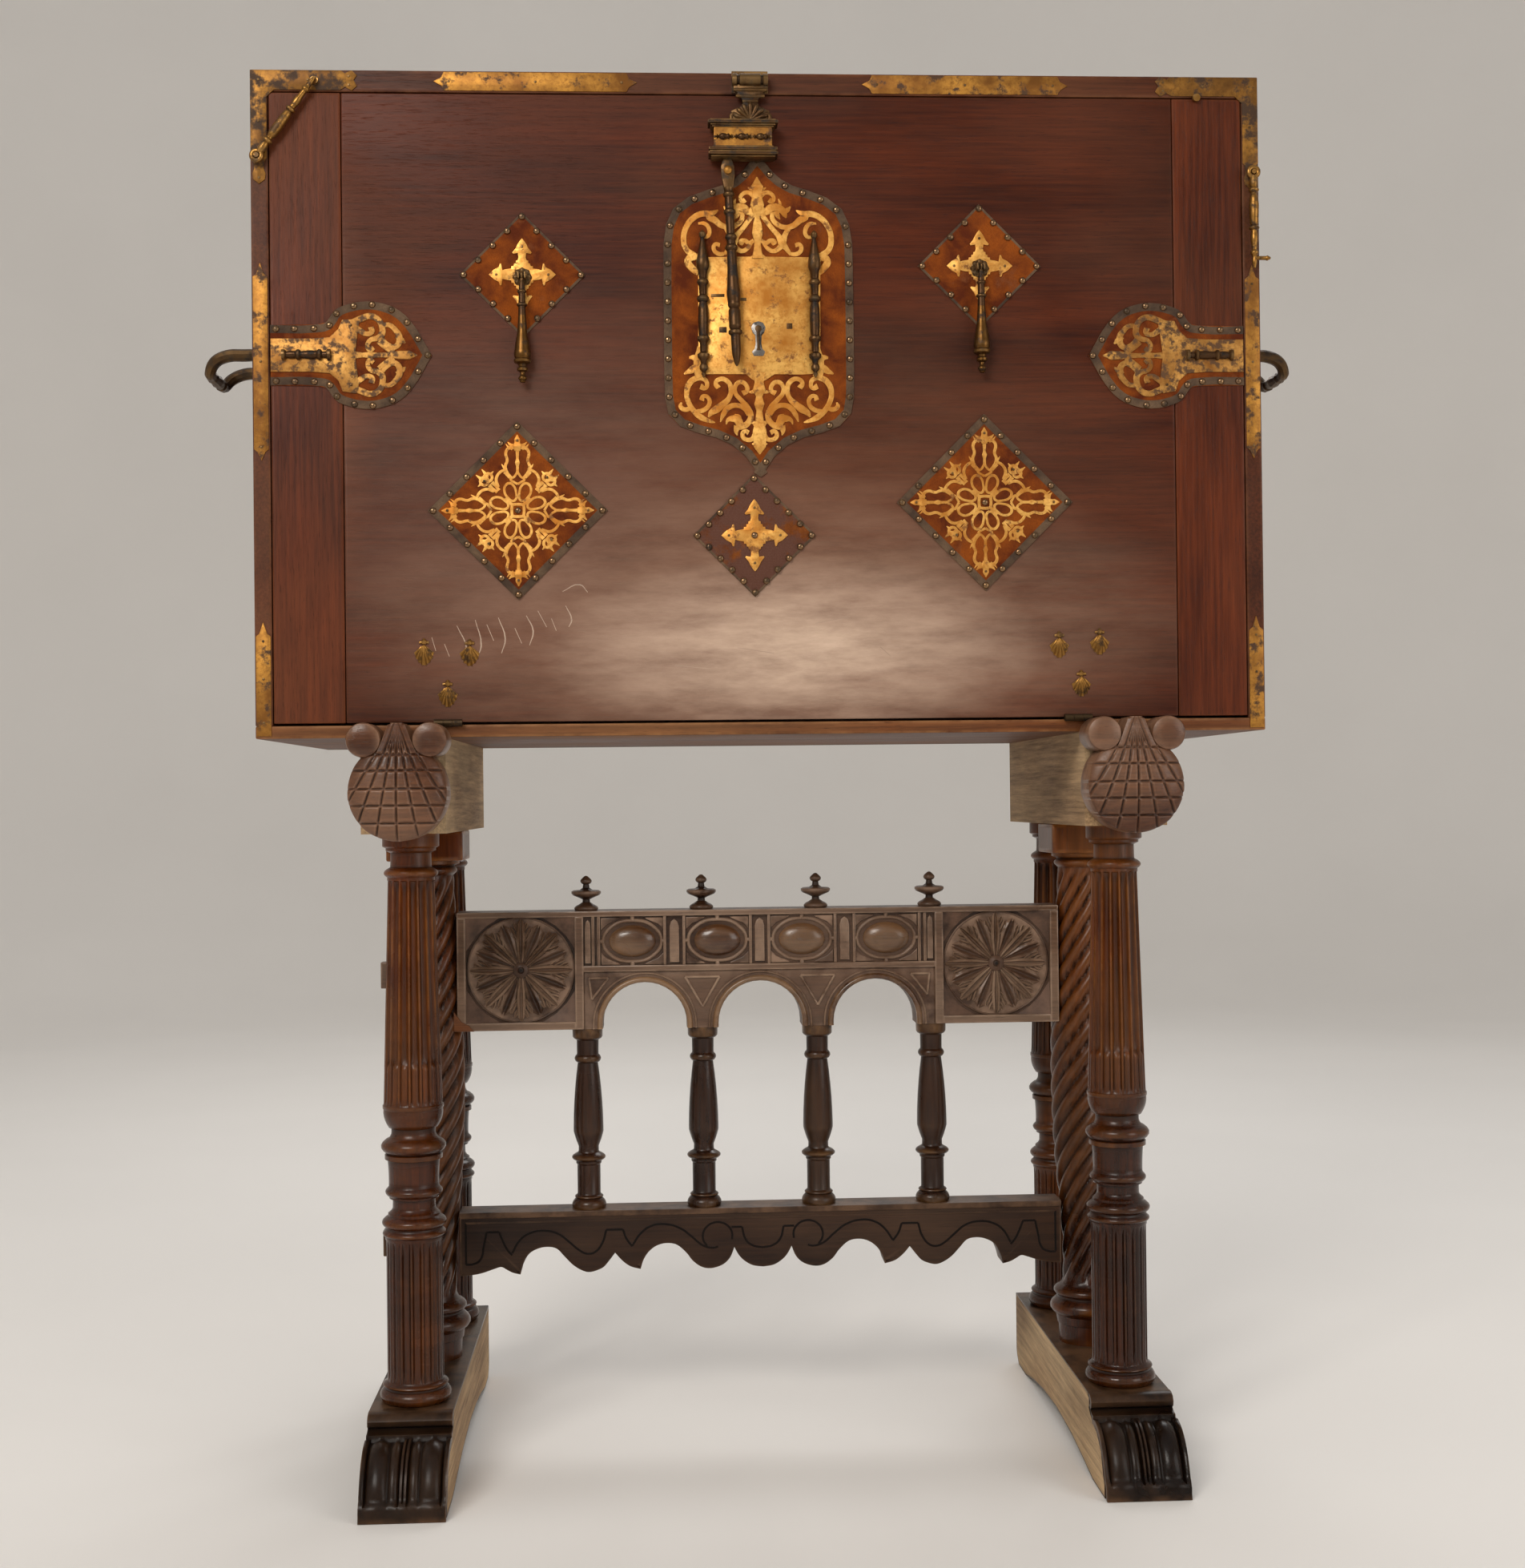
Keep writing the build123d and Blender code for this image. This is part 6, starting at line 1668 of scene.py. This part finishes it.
# lower stretcher with its scrolled under edge
stretcherLook = {"half": 346, "top": 253, "back": 54.5, "thick": 38.4, "line": 1.25}
edgeRuns = [
    [
        (-346, 181), (-331.7, 181.8), (-320, 184), (-306.2, 188.5), (-299, 190.2), (-293, 187),
        (-286.3, 183.5), (-277.5, 181.2)
    ],
    [
        (-277.5, 181.2), (-274.4, 192.4), (-267.9, 204.1), (-258, 210), (-247, 212), (-236, 209.7),
        (-227, 200.4), (-218, 191.1), (-208, 184.6), (-198, 182.2), (-184.3, 186.6), (-177, 194),
        (-169.5, 203.6)
    ],
    [(-169.5, 203.6), (-163.2, 196.2), (-156, 190), (-149.6, 186.7), (-140.5, 184.4)],
    [
        (-140.5, 184.4), (-137, 195), (-131, 204), (-122, 210.6), (-111, 213.3), (-98.9, 211.2),
        (-88, 201.8), (-80.8, 192.5), (-71, 185.4), (-60, 183.4), (-47, 187), (-38, 195), (-32.9, 207)
    ],
    [(-32.9, 207), (-28.4, 198.6), (-22, 191.6), (-12, 185.8), (0, 184)]
]


def easedValue(p, q, r, u, t):
    # between q and r, with p before them and u after
    square, cube = 2 * p - 5 * q + 4 * r - u, 3 * q - p - 3 * r + u
    return 0.5 * (2 * q + (r - p) * t + square * t * t + cube * t ** 3)


def eased(points, cuts=4):
    # a smooth line through the points
    line = [points[0]]
    for k in range(len(points) - 1):
        before, after = points[max(0, k - 1)], points[min(len(points) - 1, k + 2)]
        fours = list(zip(before, points[k], points[k + 1], after))
        line += [tuple(easedValue(*four, m / cuts) for four in fours) for m in range(1, cuts + 1)]
    return line


underEdge = []
for run in edgeRuns:
    underEdge += eased(run)[1 if underEdge else 0:]
fullEdge = underEdge + [(-x, z) for x, z in reversed(underEdge[:-1])]
stretcherBm = bmesh.new()
half, top = stretcherLook["half"], stretcherLook["top"]
stretcherOutline = [(-half, top)] + fullEdge + [(half, top)]
stamp(
    stretcherBm, plateMesh(stretcherOutline, stretcherLook["thick"], 1.4),
    frontAt(0, stretcherLook["back"], 0)
)
borderLine = [[(-339, 194), (-339, 241)], [(-339, 241), (0, 241)]]
waveLines = [
    [(-339, 194), (-331, 194.5), (-323, 199), (-318.6, 215.4), (-315.4, 230.5)],
    [(-315.4, 230.5), (-301.3, 230.5)], [(-301.3, 230.5), (-297, 220), (-292, 210), (-286.6, 203.7)],
    [
        (-286.6, 206), (-277.5, 221), (-266, 228.6), (-250, 231), (-234, 227), (-220.4, 216.4),
        (-211, 208.4), (-202, 203.7), (-193, 205), (-184, 215.4), (-179.3, 230.5)
    ],
    [(-179.3, 230.5), (-160.2, 230.5)], [(-160.2, 230.5), (-156.5, 220), (-149.7, 210.8)],
    [
        (-149.7, 211.7), (-140.5, 225), (-129, 233.3), (-113, 235.6), (-95, 230.5), (-81, 220),
        (-70, 210.8), (-58, 207), (-51.5, 208.4)
    ],
    [(-36, 230.5), (-24, 230.5)], [(-24, 230.5), (-19.5, 215.4), (-12, 209), (0, 206.5)]
]
curlTurns = [math.radians(225 - 30 * k) for k in range(9)]
curl = [[(-52 + 17 * math.cos(a), 220.5 + 16 * math.sin(a)) for a in curlTurns]]
incised = [[(x, z, stretcherLook["line"]) for x, z in line] for line in borderLine + waveLines + curl]
carve(stretcherBm, incised, 16.25, "flat", flat=0.8, steps=4)
# the small faces at the very front are the incised lines, which get the near-black wood as painted shade
# for their cuts
for face in stretcherBm.faces:
    if face.calc_center_median().y < 0.0161 and face.calc_area() < 0.00005:
        face.material_index = 1
stamp(stretcherBm, boxMesh((-half, 14.5, 246), (half, 18, top), 1.2), asDrawn)
for sign in (-1, 1):
    stamp(stretcherBm, tenonMesh(sign, 203), asDrawn)
addPiece(
    "scrolledStretcher", stretcherBm, chestBody, [stretcherWood, incisedWood], ["lower_stretcher"],
    sharp=38
)


# sled feet with carved toes
footSide = [
    (-246, 0), (-246, 14), (-240, 22), (-231, 44), (-212, 57), (-190, 63), (-184, 68), (-177, 74),
    (-173.5, 86.9), (258.5, 86.9), (258.5, 16), (254, 8), (242.5, 0), (196.5, 0), (140, 9), (80, 15),
    (4, 18), (-80, 14), (-140, 7), (-188.5, 0)
]
toePath = [
    (-170, 87), (-177, 86.8), (-183, 84.2), (-186, 79.6), (-185, 74.6), (-181, 71.6), (-183, 70.4),
    (-188, 68.6), (-193, 68), (-193.6, 64.6), (-196, 63.4), (-202, 63.2), (-209, 61.8), (-216, 59.4),
    (-223, 55.6), (-229.5, 50.5), (-235, 44.5), (-240, 37.5), (-244, 30), (-247.5, 22), (-250, 18.6),
    (-253.5, 18), (-256.5, 16), (-258.3, 12), (-258.3, 6), (-258, 0)
]
footLook = {"thick": 88, "ease": 1.0, "toeHalf": 44.0, "columns": 80, "wall": 5}


def toeMesh():
    # a sheet bent down the toe's profile; u runs across the foot, each row is one point of the profile
    bm = bmesh.new()
    last = len(toePath) - 1
    bmesh.ops.create_grid(bm, x_segments=footLook["columns"], y_segments=last, size=1)
    for vert in bm.verts:
        u, row = vert.co.x, round((vert.co.y + 1) / 2 * last)
        before, after = toePath[max(0, row - 1)], toePath[min(last, row + 1)]
        along = Vector((after[0] - before[0], after[1] - before[1])).normalized()
        out = Vector((along.y, -along.x))
        y, z = toePath[row]
        push = 0.0
        if 9 <= row <= 21:
            # the front of the toe: a split middle rib, two rounded claws, a raised edge
            part = abs(u)
            ends = min(1, (row - 9) / 2, (21 - row) / 1.5)
            if part < 0.085:
                push = ends * (2.4 - 2.8 * (part < 0.022))
            elif part > 0.88:
                push = ends * (4.0 * math.sqrt(max(0.0, 1 - ((part - 1.0) / 0.13) ** 2)) - 1.2)
            else:
                q = (part - 0.24) / 0.125 if part < 0.36 else (part - 0.61) / 0.25
                high = 4.6 if part < 0.36 else 7.2
                start = 9.8 + 1.5 * q * q
                rise = max(0.0, min(1, (row - start) / 2.6)) * max(0.0, min(1, (21.4 - row) / 3.4))
                push = high * math.sqrt(max(0.0, 1 - q * q)) * math.sqrt(rise) - 2.0 * (row > 9)
        if row in (22, 23, 24):
            push = 0.9 * math.cos(u * math.pi * 3) - 1.0
        if row >= 24:
            push = min(push, 0.0)
        vert.co = (u * footLook["toeHalf"], y + out.x * push, max(0.0, z + out.y * push))
    bmesh.ops.recalc_face_normals(bm, faces=bm.faces)
    if sum(f.normal.y for f in bm.faces) > 0:
        bmesh.ops.reverse_faces(bm, faces=bm.faces)
    bmesh.ops.solidify(bm, geom=bm.faces[:], thickness=footLook["wall"])
    for vert in bm.verts:
        vert.co.z = max(0.0, vert.co.z)
    return keepMesh(bm)


toe = toeMesh()
for side, sign in bothSides:
    bm = bmesh.new()
    footX = sign * standLook["x"]
    stamp(
        bm, plateMesh(footSide, footLook["thick"], footLook["ease"]),
        sideAt(footX - footLook["thick"] / 2)
    )
    stamp(bm, toe, standAt(footX, 0, 0))
    # the inner side is bare wood
    bm.normal_update()
    for face in bm.faces:
        if face.normal.x * sign < -0.9 and face.calc_area() > 0.001:
            face.material_index = 1
    addPiece(
        side + "SledFoot", bm, chestBody, [footWood, rawWood], [side + "_foot"], sharp=40
    )
print("stretcher and feet made")


# loper shells: rows of bulging cells fanning down from between two round ears
shellLook = {
    "apex": 20.0, "middle": -53.8, "radius": 50.2, "depth": 51.5, "groove": 2.3, "width": 1.35,
    "ears": 33.5, "back": -198.3, "z": 786,
}
shellRows = (-15.5, -32.0, -50.5, -67.5, -85.5)
shellFans = (-30.5, -20.5, -10.0, 0.0, 10.0, 20.5, 30.5)


def grooveAt(x, y, fans):
    # how deep the cut is at a place, from the nearest of the lines that fan out of the top
    near = 99.0
    reach = shellLook["apex"] - y
    for lean in fans:
        a = math.radians(lean)
        near = min(near, abs(x * math.cos(a) - reach * math.sin(a)))
    if y < -10:
        near = min(near, min(abs(y - row) for row in shellRows))
    return shellLook["groove"] * math.exp(-(near / shellLook["width"]) ** 2)


def sheetOver(columns, rows, spot):
    # a closed slab whose front follows spot(a, b) -> (x, y, z), a and b from -1 to 1
    bm = bmesh.new()
    bmesh.ops.create_grid(bm, x_segments=columns, y_segments=rows, size=1)
    for vert in bm.verts:
        vert.co = spot(vert.co.x, vert.co.y)
    wallDown(bm)
    bmesh.ops.holes_fill(bm, edges=[e for e in bm.edges if e.is_boundary], sides=0)
    bmesh.ops.recalc_face_normals(bm, faces=bm.faces)
    return keepMesh(bm)


def bodySpot(a, b):
    x, y = a * math.sqrt(1 - b * b / 2), b * math.sqrt(1 - a * a / 2)
    away = math.hypot(x, y)
    turn = math.atan2(x, -y)
    scallop = 1 - 0.008 * abs(math.sin(turn * 4.4)) * max(0.0, min(1, (away - 0.8) * 5)) * (y < 0.4)
    x, y = x * shellLook["radius"] * scallop, shellLook["middle"] + y * shellLook["radius"] * scallop
    rise = shellLook["depth"] - 14 + 14 * math.sqrt(max(0.0, 1 - 0.97 * away * away))
    return x, y, rise - grooveAt(x, y, shellFans)


def neckSpot(a, b):
    y = -22 + (b + 1) / 2 * 39
    t = (b + 1) / 2
    half = 25 - 17 * t ** 0.8 if t < 0.96 else 6
    x = a * half
    rise = shellLook["depth"] - 6.5 + 2.5 * (1 - a * a) - 3 * t
    return x, y, rise - grooveAt(x, y, shellFans[1:6] + (-15.0, -5.0, 5.0, 15.0))


shellBody = sheetOver(110, 110, bodySpot)
shellNeck = sheetOver(56, 40, neckSpot)
ear = turnedMesh([(17.0, 0), (17.8, 1), (17.8, 42), (16.8, 44.4), (13, 46), (7, 46.8), (0, 47)], 40)
for side, sign in bothSides:
    bm = bmesh.new()
    shellX, back, level = sign * standLook["x"], shellLook["back"], shellLook["z"]
    stamp(bm, shellBody, frontAt(shellX, back, level))
    stamp(bm, shellNeck, frontAt(shellX, back, level - 0.6))
    for shift in (-shellLook["ears"], shellLook["ears"]):
        stamp(bm, ear, frontAt(shellX + shift, back, level - 0.8))
    addPiece(
        side + "LoperShell", bm, side + "_loper", shellWood, [side + "_loper_shell"],
        sharp=40
    )
print("loper shells made")


# fronts of the inner drawers and the little door
inlayBone = makeWood(
    "boneInlay", "a8946c", "cdbb95", "e2d6b8", alongX, cloud=0.3, streak=0.4, gloss=0.3, edge=0.2,
    dirtAndShade=0.8
)
drawerLook = {
    "front": -133.5, "rows": 3, "first": 812, "step": 216.17, "inner": 175.8, "outer": 500.7,
    # distance from the edge, half width and material of the three frames on a drawer
    "frames": ((5, 3.4, 0), (26, 2.0, 1), (31, 1.2, 0)),
}
caseFront = drawerLook["front"]


def starStrokes(points, ways):
    # rays through (distance, half width) points, turned round the middle
    angles = [2 * math.pi / ways * k for k in range(ways)]
    return [[(math.sin(a) * r, math.cos(a) * r, half) for r, half in points] for a in angles]


insideBm = bmesh.new()
drawerStar = starStrokes([(14, 1.2), (30, 3.6), (46, 0.6)], 8)
for sign in (-1, 1):
    for row in range(drawerLook["rows"]):
        z = drawerLook["first"] + drawerLook["step"] * row
        x0, x1, z0, z1 = drawerLook["inner"], drawerLook["outer"], z + 0.5, z + 204.9
        for inset, half, index in drawerLook["frames"]:
            left, right, low, high = x0 + inset, x1 - inset, z0 + inset, z1 - inset
            corners = [(left, low), (right, low), (right, high), (left, high)]
            sides = [
                [(a, b, half), (c, d, half)] for (a, b), (c, d) in zip(corners, corners[1:] + corners[:1])
            ]
            place = frontAt(0, caseFront, 0, 0, sign) @ raised(0.8)
            stamp(insideBm, bandMesh(sides, "round", 1), place, index)
        cx, cz = (x0 + x1) / 2, (z0 + z1) / 2
        stamp(insideBm, bandMesh(drawerStar, "flat", 3), frontAt(sign * cx, caseFront, cz) @ raised(0.7), 1)
        wings = [[(s * 60, 0, 1), (s * 84, 0, 6), (s * 108, 0, 1)] for s in (1, -1)]
        stamp(insideBm, bandMesh(wings, "flat", 3), frontAt(sign * cx, caseFront, cz) @ raised(0.5), 1)
doorLook = {"half": 118, "foot": 850, "spring": 1240, "stars": (1240, 960)}
half, foot, spring = doorLook["half"], doorLook["foot"], doorLook["spring"]
turns = [math.pi * k / 10 for k in range(1, 10)]
doorArch = [(-half, foot), (-half, spring)]
doorArch += [(-half * math.cos(a), spring + half * math.sin(a)) for a in turns]
doorArch += [(half, spring), (half, foot)]
for half, grow, index in ((4.4, 1.0, 0), (1.8, 0.92, 1)):
    path = [(x * grow, foot + (z - foot) * (0.985 if grow < 1 else 1), half) for x, z in doorArch]
    stamp(insideBm, bandMesh([path], "round", 3), frontAt(0, caseFront, 0) @ raised(0.8), index)
doorStar = starStrokes([(14, 1.2), (38, 5), (66, 0.6)], 12)
for z in doorLook["stars"]:
    stamp(insideBm, bandMesh(doorStar, "flat", 3), frontAt(0, caseFront, z) @ raised(0.6), 1)
sill = [
    [(-150, 836, 3), (150, 836, 3)], [(-150, 1420, 3), (150, 1420, 3)], [(-150, 836, 3), (-150, 1420, 3)],
    [(150, 836, 3), (150, 1420, 3)]
]
stamp(insideBm, bandMesh(sill, "round", 1), frontAt(0, caseFront, 0))
addPiece("drawerMouldings", insideBm, chestBody, [drawerWood, inlayBone], ())
print("drawer fronts made")


# CAD shapes that stay as they are get their materials
keptNodes = {
    "drawer_case": drawerWood, "cupboard_door": drawerWood, "left_bearer": rawWood,
    "right_bearer": rawWood, "left_loper": rawWood, "right_loper": rawWood,
    "carcass_hinge_knuckles": hingeIron, "fall_hinge_knuckles": hingeIron, "catch_studs": bronzeIron,
    "handle_eyes": hingeIron, "lock_case": hingeIron
}
for side in ("left", "right"):
    for row in ("lower", "middle", "upper"):
        keptNodes[side + "_" + row + "_drawer"] = drawerWood
for node, material in keptNodes.items():
    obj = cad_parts[node]
    if not obj.material_slots:
        obj.data.materials.append(material)
    for number in range(len(obj.material_slots)):
        obj.material_slots[number].material = material
for holder in sections.values():
    bpy.data.objects.remove(holder)


# floor, backdrop and soft lights
def stageMaterial(name, colour, rough):
    material, tree, shader, place = startMaterial(name)
    cloud = noiseOf(tree, place, 1.5, 2, 0.5)
    shade = between(tree, cloud, 0.3, 0.7, 0.97, 1.0)
    grey = addNode(tree, "ShaderNodeCombineColor", {0: shade, 1: shade, 2: shade}).outputs[0]
    tree.links.new(blendTones(tree, 1.0, tone(colour), grey, "MULTIPLY"), shader.inputs["Base Color"])
    shader.inputs["Roughness"].default_value = rough
    shader.inputs["Specular IOR Level"].default_value = 0.2
    return material


sweepLook = {"flat": 4.6, "bend": 2.0, "high": 7.6, "colour": "efece8", "rough": 0.75}
sweepPath = [(0.0, 0.0), (1.5, 0.0), (3.0, 0.0), (sweepLook["flat"], 0.0)]
for k in range(1, 13):
    a = math.pi / 2 * k / 12
    sweepPath.append(
        (sweepLook["flat"] + sweepLook["bend"] * math.sin(a), sweepLook["bend"] * (1 - math.cos(a)))
    )
sweepPath.append((sweepLook["flat"] + sweepLook["bend"], sweepLook["high"]))
bm = bmesh.new()
line = [bm.verts.new((r, 0, z - 0.0005)) for r, z in sweepPath]
edges = [bm.edges.new(pair) for pair in zip(line, line[1:])]
bmesh.ops.spin(
    bm, geom=line + edges, cent=(0, 0, 0), axis=(0, 0, 1), angle=2 * math.pi, steps=96, use_merge=True
)
bmesh.ops.remove_doubles(bm, verts=bm.verts, dist=0.0001)
bmesh.ops.recalc_face_normals(bm, faces=bm.faces)
if bm.faces[0].normal.z < 0:
    bmesh.ops.reverse_faces(bm, faces=bm.faces)
mesh = keepMesh(bm, "studioSweep")
mesh.materials.append(stageMaterial("sweepPaper", sweepLook["colour"], sweepLook["rough"]))
mesh.shade_smooth()
sweep = linked("studioSweep", mesh)


def softLight(name, at, aim, size, power, colour):
    light = bpy.data.lights.new(name, "AREA")
    light.shape = "RECTANGLE"
    light.size, light.size_y = size
    light.energy = power
    light.color = colour
    lamp = linked(name, light)
    away = Vector(at) - Vector(aim)
    lamp.matrix_world = Matrix.Translation(at) @ away.to_track_quat("Z", "Y").to_matrix().to_4x4()


# where each light stands, what it points at, its size, its power and its colour
lightLook = {
    "keyLight": ((-1.5, -3.1, 2.7), (0, 0, 0.85), (1.6, 1.2), 74, (1.0, 0.95, 0.89)),
    "fillLight": ((2.6, -2.4, 1.5), (0, 0, 0.8), (1.6, 1.8), 24, (1.0, 0.97, 0.94)),
    "backLight": ((0.6, 2.6, 3.2), (0, 0, 0.8), (2.6, 1.4), 44, (1, 1, 1)),
}
airLook = {"colour": (1.0, 0.985, 0.97, 1), "strength": 0.5}
for name, (at, aim, size, power, colour) in lightLook.items():
    softLight(name, at, aim, size, power, colour)
world = bpy.data.worlds.new("studioAir")
world.use_nodes = True
world.node_tree.nodes["Background"].inputs["Color"].default_value = airLook["colour"]
world.node_tree.nodes["Background"].inputs["Strength"].default_value = airLook["strength"]
bpy.context.scene.world = world
print("floor and lights made")
